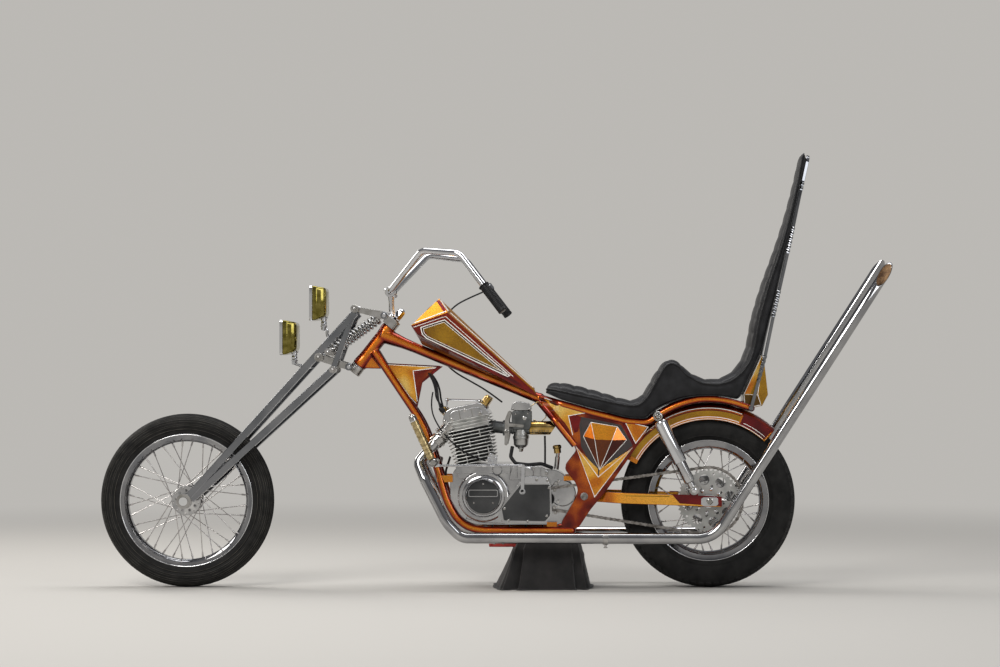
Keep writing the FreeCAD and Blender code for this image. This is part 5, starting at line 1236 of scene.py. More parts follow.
def fuel_tank():
    corners = []
    for ring in (TANK_FRONT, TANK_REAR):
        corners += [Vector((x, -y, z)) * MM for x, y, z in ring]
        corners += [Vector((x, y, z)) * MM for x, y, z in reversed(ring)]
    size = 2 * len(TANK_FRONT)
    faces = []
    for i in range(size):
        j = (i + 1) % size
        faces += [(i, size + i, j), (j, size + i, size + j)]
    faces += [(2, 3, 4), (0, 1, 2), (0, 2, 4), (7, 6, 5), (9, 8, 7), (9, 7, 5), (0, 4, 5), (0, 5, 9)]
    faces += [(size, size + i, size + i + 1) for i in range(1, size - 1)]
    build = Build()
    build.add(corners, faces)
    tank = build.piece("tank_body", PAINT_TANK, replaces=("fuel_tank",), smooth=TANK_FACET_ANGLE)
    tunnel = Build()
    a, b = Vector(BACKBONE[0]) * MM, Vector(BACKBONE[1]) * MM
    run = (b - a).normalized()
    tunnel.stack(a, run, [(0, 0.0191), ((b - a).length + 0.04, 0.0191)], 32)
    carved(tank, [tunnel])
    shaded(tank.data, TANK_FACET_ANGLE)
    bevelled(tank, 0.0035, 4, TANK_FACET_ANGLE)
    tree = surface_of(tank)
    white, black, red, gold = builds(4)
    panel = ((-252, 931), (-186, 953), (-168, 958), (62, 760), (54, 757), (-232, 893), (-247, 908))
    inner = inset(panel, 7.5)
    ridge = ((-283, 938), (-160, 984))
    tail = ((-160, 984), (146, 709))
    for side in SIDES:
        fill_panel(gold, tree, panel, side)
        laid_line(white, tree, panel, 3.4, side, 0.0011, closed=True)
        laid_line(black, tree, inset(panel, 3.4), 4.6, side, 0.0009, closed=True)
        laid_line(white, tree, inner, 1.8, side, 0.0011, closed=True)
        for path in (ridge, tail):
            laid_line(red, tree, path, 13.0, side, 0.0006)
        laid_line(white, tree, ((-281, 944), (-163, 989)), 3.0, side, 0.0012)
        laid_line(white, tree, ((-277, 932), (-180, 966), (-164, 970)), 2.4, side, 0.0010)
        laid_line(white, tree, ((-164, 970), (74, 757)), 2.2, side, 0.0010)
        laid_line(red, tree, ((-262, 902), (-228, 884), (60, 750), (140, 703)), 10.0, side, 0.0006)
        laid_line(white, tree, ((-156, 990), (-188, 1033)), 3.0, side, 0.0012)
        laid_line(red, tree, ((-163, 984), (-195, 1029)), 11.0, side, 0.0007)
        laid_line(white, tree, ((-149, 984), (146, 717)), 2.2, side, 0.0012)
    gold.piece("tank_gold_panels", PAINT_GOLD, smooth=40)
    red.piece("tank_red_lines", PAINT_RED, smooth=40)
    black.piece("tank_black_lines", BLACK_LINE, smooth=40)
    white.piece("tank_white_lines", WHITE_LINE, smooth=40)
    cap = Build()
    centre = at(-222, 992)
    normal = Vector((-0.70, 0, 0.714)).normalized()
    cap.stack(centre - normal * 0.004, normal, [(0, 0.030), (0.010, 0.030), (0.012, 0.028), (0.016, 0.020),
                                                (0.018, 0.008)], 40)
    cap.piece("tank_cap", PAINT_GOLD, smooth=40)


def inset(points, distance):
    """The outline moved inward by a distance."""
    flat = [Vector(p) for p in points]
    area = sum(a.x * b.y - b.x * a.y for a, b in zip(flat, flat[1:] + flat[:1]))
    pairs = strip_outline(points, 2 * distance, True)
    return [tuple(a if area > 0 else b) for a, b in pairs]


def fill_panel(build, tree, points, side, lift=0.0006, step=14.0):
    """A patch of paint with straight borders that lies on a surface."""
    flat = [Vector(p) for p in points]
    border = stepped(points, step, True)
    low_x, high_x = min(p.x for p in flat), max(p.x for p in flat)
    low_z, high_z = min(p.y for p in flat), max(p.y for p in flat)
    inside = []
    x = low_x + step / 2
    while x < high_x:
        z = low_z + step / 2
        while z < high_z:
            if point_inside((x, z), flat, step * 0.4):
                inside.append(Vector((x, z)))
            z += step
        x += step
    edges = [(i, (i + 1) % len(border)) for i in range(len(border))]
    verts, _, faces, _, _, _ = delaunay_2d_cdt(border + inside, edges, [], 1, 1e-6)
    build.add([laid(tree, v.x, v.y, side, lift)[0] for v in verts], [list(f) for f in faces])


def point_inside(p, polygon, margin):
    x, z = p
    count = len(polygon)
    hit = False
    for i in range(count):
        a, b = polygon[i], polygon[(i + 1) % count]
        if (a.y > z) != (b.y > z) and x < (b.x - a.x) * (z - a.y) / (b.y - a.y) + a.x:
            hit = not hit
        run = b - a
        share = max(0.0, min(1.0, (Vector(p) - a).dot(run) / run.length_squared))
        if (Vector(p) - a - run * share).length < margin:
            return False
    return hit


# ------------------------------------------------------------- rear end
SWING_ARM_Y, SWING_ARM_HALF = 117, 11
SHOCK_TOP, SHOCK_BOTTOM, SHOCK_Y = (589.7, 616.0), (718, 353.8), 140


def swing_arm():
    axle = REAR_AXLE_MM
    arm, chrome, red, lines, steel = builds(5)
    for side in SIDES:
        rings = []
        for x, y, thick, tall in ((axle[0] + 44, 117, 22, 30), (axle[0] + 41, 117, 22, 37),
                                  (470, 117, 22, 38), (446, 114, 21, 38), (426, 105, 18, 38),
                                  (408, 92, 15, 38), (392, 81, 13, 38), (374, 76, 13, 38), (352, 75, 13, 36),
                                  (320, 75, 13, 30), (312, 75, 12, 18)):
            z = axle[1] + (PIVOT[1] - axle[1]) * (axle[0] - x) / (axle[0] - PIVOT[0])
            rings.append([at(x, z + tall / 2 * b, side * (y + thick / 2 * a)) for a,
                          b in ((-1, -1), (1, -1), (1, 1), (-1, 1))])
        arm.rings(rings)
        outer = side * (SWING_ARM_Y + SWING_ARM_HALF)
        flat_panel(red, ((640, 339), (668, 306), (axle[0] + 43, 296), (axle[0] + 43, 330), (700, 337)), outer,
                   outer + side * 1.6)
        flat_panel(red, ((SHOCK_BOTTOM[0] - 16, 330), (SHOCK_BOTTOM[0] + 16, 330),
                         (SHOCK_BOTTOM[0] + 12, 366), (SHOCK_BOTTOM[0] - 12, 366)), side * 110, outer)
        flat_line(lines, ((476, 333), (632, 331)), 3.0, outer, outer + side * 0.8)
        flat_panel(chrome, ((744, 302), (752, 297), (796, 297), (804, 302), (804, 323), (796, 328),
                            (752, 328), (744, 323)), outer, outer + side * 3.2)
        steel.boss(axle[0], axle[1], outer, side, [(0, 0.014), (0.004, 0.014), (0.0045, 0.012),
                                                   (0.013, 0.012), (0.014, 0.010), (0.018, 0.0088)], 6)
        steel.stack(at(axle[0] + 44, axle[1] + 3, side * SWING_ARM_Y), (1, 0, 0),
                    [(0, 0.007), (0.006, 0.007), (0.007, 0.0035), (0.016, 0.0035)], 6)
        cross_pin(chrome, SHOCK_BOTTOM, 6, side * 106, side * 158)
        chrome.boss(SHOCK_BOTTOM[0], SHOCK_BOTTOM[1], side * 151.5, side,
                    [(0, 0.010), (0.006, 0.010), (0.007, 0.008)], 6)
        spacer_in = 86.0 if side < 0 else 53.0
        cross_pin(chrome, axle, 15, side * spacer_in, side * 106)
    arm.piece("swing_arm_bars", PAINT_ARM, replaces=("swing_arm",), bevel=0.0045, segments=4, smooth=40)
    red.piece("swing_arm_ends", PAINT_RED, bevel=0.001, smooth=30)
    lines.piece("swing_arm_lines", PAINT_GOLD)
    cross_pin(steel, PIVOT, 9, -103, 103)
    cross_pin(steel, PIVOT, 17, -68, 68)
    cross_pin(steel, axle, 9, -140, 140)
    chrome.piece("swing_arm_chrome", CHROME, bevel=0.0012)
    steel.piece("swing_arm_bolts", OLD_CHROME)


def arc_band(build, radius, y, width, high, start, end):
    """A raised line of paint round the crown or skirt of the fender."""
    side_arc(build, radius, radius + high, y - width / 2, y + width / 2, start, end)


def side_arc(build, r0, r1, y0, y1, start, end):
    """A line of paint on the rear fender, between two angles in degrees."""
    build.lathe(REAR_AXLE, [(r0 * MM, y0 * MM), (r0 * MM, y1 * MM), (r1 * MM, y1 * MM), (r1 * MM, y0 * MM)],
                sides=90, start=start, sweep=end - start)


def rear_fender():
    outer = [(290, -79), (318, -78.6), (331, -75.5), (341, -68), (347, -56), (349.5, -40), (350, 0)]
    outer += [(r, -y) for r, y in reversed(outer[:-1])]
    inner = []
    for r, y in outer:
        bend = min(1.0, abs(y) / 79)
        inner.append((r - 2.4 * (1 - bend * 0.9), y * (1 - 0.031 * bend)))
    ring = [(r * MM, y * MM) for r, y in outer] + [(r * MM, y * MM) for r, y in reversed(inner)]
    build = Build()
    build.lathe(REAR_AXLE, ring, sides=110, start=47, sweep=106)
    build.piece("fender_band", PAINT, replaces=("rear_fender",), smooth=50)
    gold, white, red = builds(3)
    for side in SIDES:
        y0, y1 = sorted((side * 77.8, side * 79.8))
        side_arc(white, 298.5, 301, y0, y1, 69, 150)
        side_arc(gold, 303, 322, y0, y1, 69, 150)
        side_arc(red, 322, 326, y0, y1, 69, 150)
        side_arc(white, 330, 332.5, y0 * 0.97, y1 * 0.97, 69, 150)
        side_arc(white, 291.5, 293.5, y0, y1, 49, 150)
        side_arc(red, 294, 331, y0, y1, 48, 68)
        side_arc(white, 302, 304, y0 - 0.4, y1 + 0.4, 49, 66)
        arc_band(red, 331, side * 75, 6, 5, 48, 68)
    arc_band(gold, 349.6, 0, 60, 0.8, 69, 150)
    for y in (-33, 33):
        arc_band(white, 349.4, y, 2.4, 1.2, 48, 152)
    arc_band(red, 349.6, 0, 60, 0.8, 48, 68)
    gold.piece("fender_gold", PAINT_GOLD, smooth=50)
    red.piece("fender_red", PAINT_RED, smooth=50)
    white.piece("fender_white_lines", WHITE_LINE, smooth=50)


def shock_absorbers():
    covers, lowers, ends = builds(3)
    for side in SIDES:
        top = at(SHOCK_TOP[0], SHOCK_TOP[1], side * SHOCK_Y)
        bottom = at(SHOCK_BOTTOM[0], SHOCK_BOTTOM[1], side * SHOCK_Y)
        down = (bottom - top).normalized()
        length = (bottom - top).length
        covers.stack(top, down, [(0.016, 0.012), (0.019, 0.021), (0.024, 0.0245), (0.028, 0.025),
                                 (0.178, 0.025), (0.181, 0.0243), (0.182, 0.0225), (0.170, 0.0215)], 48)
        lowers.stack(top, down, [(0.165, 0.0195), (length - 0.040, 0.0200), (length - 0.034, 0.019),
                                 (length - 0.030, 0.0130), (length - 0.012, 0.0125)], 40)
        for spot in (SHOCK_TOP, SHOCK_BOTTOM):
            cross_pin(ends, spot, 17, side * SHOCK_Y - 11, side * SHOCK_Y + 11, 36)
        ends.boss(SHOCK_TOP[0], SHOCK_TOP[1], side * 151, side,
                  [(0, 0.0135), (0.002, 0.0135), (0.0025, 0.0115), (0.008, 0.0110), (0.013, 0.0075),
                   (0.014, 0.003)], 24)
        cross_pin(ends, SHOCK_TOP, 8, side * 107.3, side * 140)
    covers.piece("shock_covers", CHROME, replaces=("shock_absorbers",))
    lowers.piece("shock_bodies", POLISHED)
    ends.piece("shock_eyes", OLD_CHROME)


DRIVE_SPROCKET, DRIVE_SPROCKET_R = (199, 320), 29.0
REAR_SPROCKET_R, ROLLER_LIFT, PITCH = 113, 6.7, 15.875


def belt_points(c1, r1, c2, r2, pitch):
    """Evenly spaced places round two circles, in the side view."""
    base = math.atan2(c2[1] - c1[1], c2[0] - c1[0])
    span = math.dist(c1, c2)
    swing = math.acos((r1 - r2) / span)
    path = []
    for k in range(61):
        turn = base + swing + (2 * math.pi - 2 * swing) * k / 60
        path.append(Vector((c1[0] + r1 * math.cos(turn), c1[1] + r1 * math.sin(turn))))
    for k in range(121):
        turn = base - swing + 2 * swing * k / 120
        path.append(Vector((c2[0] + r2 * math.cos(turn), c2[1] + r2 * math.sin(turn))))
    path.append(path[0])
    total = sum((b - a).length for a, b in zip(path, path[1:]))
    count = 2 * round(total / pitch / 2)
    step = total / count
    points, travelled, target = [], 0.0, 0.0
    for a, b in zip(path, path[1:]):
        length = (b - a).length
        while target <= travelled + length and len(points) < count:
            points.append(a + (b - a) * ((target - travelled) / max(length, 1e-9)))
            target += step
        travelled += length
    return points


def drive_chain():
    axle = REAR_AXLE_MM
    points = belt_points(DRIVE_SPROCKET, DRIVE_SPROCKET_R + ROLLER_LIFT, axle, REAR_SPROCKET_R + ROLLER_LIFT,
                         PITCH)
    plates, rollers = builds(2)
    count = len(points)
    for i, a in enumerate(points):
        b = points[(i + 1) % count]
        out = i % 2
        run = (b - a).normalized()
        side = Vector((-run.y, run.x))
        outline = []
        for centre, ahead in ((b, 1), (a, -1)):
            for degrees in (-78, -40, 0, 40, 78):
                turn = math.radians(degrees)
                outline.append(centre + (run * math.cos(turn) + side * math.sin(turn)) * 5.7 * ahead)
        outline = outline[:5] + [(a + b) / 2 + side * 4.2] + outline[5:] + [(a + b) / 2 - side * 4.2]
        for sign in SIDES:
            inner = CHAIN_Y + sign * (3.9 + 1.5 * out)
            flat_panel(plates, [(p.x, p.y) for p in outline], inner, inner + sign * 1.4)
        cross_pin(rollers, (a.x, a.y), 4.9, CHAIN_Y - 3.8, CHAIN_Y + 3.8, 12)
        cross_pin(rollers, (a.x, a.y), 2.4, CHAIN_Y - 7, CHAIN_Y + 7, 8)
    plates.piece("chain_plates", DARK_STEEL, replaces=("drive_chain",))
    rollers.piece("chain_rollers", DARK_STEEL, smooth=60)


SISSY_FOOT_Y = 122
# metres: half a bar's diagonal, then where twists start and end along a leg, their spacing and their length
SISSY_HALF, TWIST_FROM, TWIST_TO, TWIST_PITCH, TWIST_LONG = 0.0074, 0.10, 0.84, 0.235, 0.10
SISSY_LEG = ((972, -116, 830), (1003, -104, 976), (1064, -76, 1237), (1098, -58, 1396), (1132, -38, 1545))
TAIL_BOX_Y = 80
TAIL_BOX = ((962, 834), (896, 694), (900, 640), (964, 652), (985, 692), (972, 806))


def sissy_bar():
    """Square bars, twisted between their plain stretches."""
    foot = loop_point(66.0)
    left = [Vector((foot[0], -SISSY_FOOT_Y, foot[2]))] + [Vector(p) for p in SISSY_LEG]
    points = left + [mirror(p) for p in reversed(left)]
    gentle = [160, 160, 200, 200]
    path = bent_path([p * MM for p in points], [r * MM for r in gentle + [26, 26] + gentle[::-1]], 10)
    dense = [path[0]]
    for a, b in zip(path, path[1:]):
        count = max(1, int((b - a).length / 0.0025))
        dense += [a + (b - a) * (k / count) for k in range(1, count + 1)]
    total = sum((b - a).length for a, b in zip(dense, dense[1:]))
    rings, turned, travelled, side = [], 0.0, 0.0, None
    for i, p in enumerate(dense):
        before, after = dense[max(i - 1, 0)], dense[min(i + 1, len(dense) - 1)]
        ahead = (after - before).normalized()
        side = Vector((0, 1, 0)) if side is None else side
        side = (side - ahead * side.dot(ahead)).normalized()
        from_end = min(travelled, total - travelled)
        share = (from_end - TWIST_FROM) % TWIST_PITCH
        if TWIST_FROM < from_end < TWIST_TO and share < TWIST_LONG:
            turned += (p - before).length / TWIST_LONG * math.pi * 3
        other = ahead.cross(side)
        ring = []
        for degrees in (38, 52, 128, 142, 218, 232, 308, 322):
            angle = math.radians(degrees) + turned
            ring.append(p + (side * math.cos(angle) + other * math.sin(angle)) * SISSY_HALF)
        rings.append(ring)
        travelled += (after - p).length
    build = Build()
    build.rings(rings)
    for sign in SIDES:
        cross_pin(build, (foot[0], foot[2]), 9, sign * 107.3, sign * SISSY_FOOT_Y)
        build.boss(foot[0], foot[2], sign * 128, sign, [(0, 0.0085), (0.005, 0.0085), (0.006, 0.007)], 6)
    build.piece("sissy_bar_twisted", PLATE_CHROME, replaces=("sissy_bar",), smooth=24)


def tail_box():
    gold, bright, deep, white = builds(4)
    flat_panel(gold, TAIL_BOX, -TAIL_BOX_Y, TAIL_BOX_Y)
    gold.piece("tail_box_body", PAINT_GOLD, replaces=("tail_box",), bevel=0.003, segments=3, smooth=25)
    # on each side a lighter and a darker patch stand in for facets of the box: painted light along the front
    # edge, painted shade at the foot
    for side in SIDES:
        flat_panel(bright, ((958, 820), (902, 695), (922, 695), (955, 772)), side * 79.0, side * 80.6)
        flat_panel(deep, ((901, 690), (904, 646), (958, 656), (946, 690)), side * 79.0, side * 80.6)
        flat_line(white, ((961, 828), (899, 693), (903, 644), (960, 655)), 2.6, side * 79.5, side * 81.2)
        flat_line(white, ((964, 800), (948, 692), (960, 655)), 2.0, side * 79.5, side * 81.2)
        flat_line(white, ((902, 693), (946, 691)), 1.6, side * 79.5, side * 81.2)
    bright.piece("tail_box_painted_lit_facets", PAINT_STAR)
    deep.piece("tail_box_painted_shade_facets", PAINT_SHADE_GOLD)
    white.piece("tail_box_lines", WHITE_LINE)


# ------------------------------------------------------------- engine
ALTERNATOR = (-29, 331)
BARREL_BASE = (-56, 448)
LEAN = math.radians(12)


def leaned(u, v, y=0.0):
    """A place on the forward-leaning upper engine: ahead of and above its foot."""
    x = BARREL_BASE[0] + u * math.cos(LEAN) - v * math.sin(LEAN)
    return Vector((x, y, BARREL_BASE[1] + u * math.sin(LEAN) + v * math.cos(LEAN))) * MM


def leaned_prism(build, points, y0, y1):
    build.rings([[leaned(u, v, y) for u, v in points] for y in (y0, y1)])


def round_corners(points, radius, steps=4):
    """The same outline with its corners rounded."""
    result = []
    count = len(points)
    for i, p in enumerate(points):
        corner = Vector(p)
        back = Vector(points[i - 1]) - corner
        ahead = Vector(points[(i + 1) % count]) - corner
        reach = min(radius, back.length * 0.45, ahead.length * 0.45)
        a, b = corner + back.normalized() * reach, corner + ahead.normalized() * reach
        for k in range(steps + 1):
            t = k / steps
            result.append(tuple(a * (1 - t) ** 2 + corner * 2 * t * (1 - t) + b * t * t))
    return result


def screw(build, x, z, y, radius=5.0, high=3.0, side=-1):
    """A round-headed screw standing on a cover."""
    build.boss(x, z, y, side, [(0, radius * MM), (high * 0.6 * MM, radius * MM),
                               (high * MM, radius * 0.7 * MM)], 14)


def hexagon(build, x, z, y, radius=7.0, high=6.0, side=-1):
    build.boss(x, z, y, side, [(0, radius * MM), (high * MM, radius * MM),
                               ((high + 1) * MM, radius * 0.85 * MM)], 6)


def crankcase():
    case, dark, bolts = builds(3)
    soft_panel(case, ((-150, 262), (-120, 226), (250, 226), (296, 300), (290, 372), (240, 422), (60, 436),
                      (-120, 442), (-150, 400)), 26, -68, 68)
    case.block((-0.128, -0.112, 0.412), (0.066, 0.112, 0.4465))
    for side in SIDES:
        case.boss(ALTERNATOR[0], ALTERNATOR[1], side * 60, side, [(0, 0.092), (0.046, 0.092), (0.052, 0.086)],
                  72)
    soft_panel(case, ((-128, 440), (-20, 440), (20, 404), (-20, 380), (-118, 396)), 8, -104, 104)
    soft_panel(case, ((-96, 250), (-40, 236), (52, 232), (60, 262), (-60, 290)), 8, -88, 88)
    soft_panel(case, ((60, 388), (196, 392), (204, 418), (180, 436), (74, 440)), 12, -104, 96)
    for x in (86, 128, 172):
        flat_panel(case, ((x, 392), (x + 6, 392), (x + 6, 437), (x, 437)), -107, -100)
    case.piece("crankcase_halves", POLISHED, replaces=("crankcase",), bevel=0.005, segments=3, smooth=30)
    case_round = Build()
    case_round.boss(252, 340, -60, -1, [(0, 0.047), (0.0100, 0.047), (0.0125, 0.044), (0.0125, 0.040)], 48)
    case_round.boss(126, 412, -90, -1, [(0, 0.024), (0.028, 0.024), (0.031, 0.021), (0.031, 0.004)], 36)
    case_round.boss(20, 424, -100, -1, [(0, 0.018), (0.016, 0.018), (0.019, 0.015)], 24)
    case_round.piece("crankcase_rounds", POLISHED, smooth=30)
    cross_pin(dark, (199, 320), 24, -84.5, -60, 32)
    dark.block((-0.120, -0.060, 0.2262), (0.240, 0.060, 0.232))
    for x in (-60, 0, 60, 120, 180):
        flat_panel(dark, ((x - 2, 218), (x + 2, 218), (x + 2, 232), (x - 2, 232)), -62, 62)
    pipe(dark, ((72, -52, 505), (66, -70, 470), (84, -88, 447), (130, -94, 442), (176, -86, 446),
                (216, -70, 430)), (20, 16, 30, 30), 6.5, 14, 6)
    pipe(dark, ((188, -40, 544), (189, -44, 500), (189, -58, 440)), (60,), 3.6, 10, 4)
    pipe(dark, ((-140, -40, 300), (-168, -46, 340), (-166, -50, 420), (-150, -60, 470)), (20, 40), 4, 10, 6)
    dark.piece("engine_hoses", RUBBER, smooth=40)
    for x, z, y in ((-112, 300, -96), (-112, 362, -96), (-96, 424, -104), (-40, 428, -104), (56, 420, -104),
                    (148, 428, -104), (194, 412, -104), (-76, 262, -100), (-10, 246, -88), (38, 244, -88)):
        hexagon(bolts, x, z, y, 6, 5)
    for z in (282, 300, 318, 372, 390):
        bolts.boss(236, z - 6, -68, -1, [(0, 0.006), (0.012, 0.006), (0.0125, 0.0045)], 6)
    bolts.stack(at(229, 424, -40), Vector((0.10, 0, 0.99)), [(0, 0.009), (0.045, 0.009), (0.046, 0.007),
                                                             (0.06, 0.007)], 16)
    bolts.piece("crankcase_bolts", OLD_CHROME)
    knob = Build()
    knob.stack(at(234, 482, -40), Vector((-0.10, 0, 0.99)), [(0, 0.013), (0.016, 0.0135), (0.018, 0.016),
                                                             (0.026, 0.016), (0.030, 0.011)], 12)
    knob.piece("oil_filler_knob", BRASS, smooth=30)


COVER = ((30, 291), (108, 397), (126, 404), (194, 401), (211, 376), (215, 262), (194, 237), (48, 234),
         (22, 258))


def engine_covers():
    ring, face, badge, screws = builds(4)
    low = at(ALTERNATOR[0], ALTERNATOR[1], -68.3)
    ring.stack(low, (0, -1, 0), [(0, 0.0755), (0.056, 0.0755), (0.060, 0.0740), (0.0625, 0.0700),
                                 (0.0635, 0.0655), (0.066, 0.0640), (0.0700, 0.0625), (0.0715, 0.0605)], 96)
    face.boss(ALTERNATOR[0], ALTERNATOR[1], -137, -1, [(0, 0.0600), (0.0056, 0.0600), (0.0074, 0.0585),
                                                       (0.0082, 0.0560), (0.0082, 0.002)], 96)
    for (half_x, half_z), y0, y1, target in (((52, 12.5), -144.0, -146.4, badge),
                                             ((49.6, 10.1), -145.6, -146.9, face)):
        x, z = ALTERNATOR[0], ALTERNATOR[1] + 12
        corners = ((x - half_x, z - half_z), (x + half_x, z - half_z), (x + half_x, z + half_z),
                   (x - half_x, z + half_z))
        soft_panel(target, corners, half_z * 0.45, y0, y1)
    for dx, dz in ((-33, -22), (34, -22), (0, 45)):
        screw(screws, ALTERNATOR[0] + dx, ALTERNATOR[1] + dz, -145, 3.4, 2.0)
    ring.piece("alternator_ring", POLISHED, replaces=("alternator_cover",), smooth=30)
    face.piece("alternator_face", DARK_FACE, smooth=30)
    badge.piece("alternator_blank_badge", POLISHED, smooth=30)
    cover, band, seam = builds(3)
    soft_panel(cover, COVER, 7, -126, -68.3)
    raised = [(x + (118 - x) * 0.045, z + (312 - z) * 0.06) for x, z in COVER]
    soft_panel(cover, raised, 7, -131.5, -120)
    carve = Build()
    carve.boss(ALTERNATOR[0], ALTERNATOR[1], -160, 1, [(0, 0.0775), (0.2, 0.0775)], 64)
    body = cover.piece("sprocket_cover_body", POLISHED, replaces=("sprocket_cover",), smooth=30)
    tool = Build()
    flat_panel(tool, ((190, 270), (260, 260), (260, 380), (190, 370)), -86.8, -68.3)
    carved(body, [carve, tool], overlaps=True)
    bevelled(body, 0.0022, 3, 40)
    soft_panel(band, ((95, 377), (110, 396), (126, 403), (193, 399), (207, 376)), 4, -130.6, -132.4)
    band.piece("sprocket_cover_band", CHROME, bevel=0.0008, smooth=30)
    soft_panel(seam, ((44, 246), (190, 243), (208, 264), (206, 373), (104, 373), (36, 288)), 5, -130.9,
               -132.0)
    seam.piece("sprocket_cover_face", DARK_FACE, bevel=0.0008, smooth=30)
    for x, z in ((60, 246), (128, 243), (196, 262), (204, 362), (160, 390), (108, 385), (198, 388),
                 (46, 288)):
        screw(screws, x, z, -131, 5.2, 4)
    for x, z in ((222, 290), (226, 272), (224, 352), (228, 376)):
        hexagon(screws, x, z, -69, 6.5, 30)
    screws.piece("cover_screws", OLD_CHROME)
    clutch, rim = builds(2)
    points = ((-92, 268), (-40, 240), (150, 240), (196, 285), (190, 360), (140, 396), (-60, 400), (-100, 350))
    soft_panel(clutch, points, 24, 68.3, 118)
    raised = [(x + (48 - x) * 0.07, z + (320 - z) * 0.07) for x, z in points]
    soft_panel(clutch, raised, 22, 112, 130)
    clutch.boss(118, 322, 120, 1, [(0, 0.068), (0.012, 0.066), (0.018, 0.056), (0.020, 0.040),
                                   (0.020, 0.005)], 64)
    clutch.boss(-40, 300, 120, 1, [(0, 0.040), (0.012, 0.040), (0.016, 0.034), (0.016, 0.004)], 48)
    clutch.piece("clutch_cover_body", POLISHED, replaces=("clutch_cover",), bevel=0.003, segments=3,
                 smooth=30)
    for x, z in points:
        screw(rim, x + (48 - x) * 0.10, z + (320 - z) * 0.11, 117.5, 5.5, 13.5, 1)
    rim.piece("clutch_cover_screws", OLD_CHROME)


# fins on the barrel and their spacing; half the top fin's size
BARREL_FINS, FIN_PITCH, FIN_HALF_X, FIN_HALF_Y = 11, 12.25, 86, 127


def cylinder_barrel():
    fins, core, webs = builds(3)
    for i in range(BARREL_FINS):
        low = 3 + i * FIN_PITCH
        share = i / (BARREL_FINS - 1)
        u = FIN_HALF_X * (0.86 + 0.14 * share)
        ring = round_corners(((-u, -FIN_HALF_Y), (u, -FIN_HALF_Y), (u, FIN_HALF_Y), (-u, FIN_HALF_Y)), 16, 5)
        rings = [[leaned(a * k, v, y * k) for a, y in ring]
                 for v, k in ((low, 0.995), (low + 0.6, 1.0), (low + 2.8, 1.0), (low + 3.4, 0.995))]
        fins.rings(rings)
    fins.piece("barrel_fins", FINS, replaces=("cylinder_barrel",), smooth=50)
    leaned_prism(core, ((-62, 2), (62, 2), (62, 128.2), (-62, 128.2)), -105, 105)
    core.piece("barrel_core", CORE, bevel=0.008, segments=3)
    for u, low in ((-42, 40), (-8, 62), (34, 88), (52, 20), (-30, 4), (14, 8)):
        for y0, y1 in ((-121, -104), (104, 121)):
            leaned_prism(webs, ((u, low), (u + 3.6, low), (u + 3.6, low + 30), (u, low + 30)), y0, y1)
    webs.piece("barrel_ribs", FINS, bevel=0.0008)


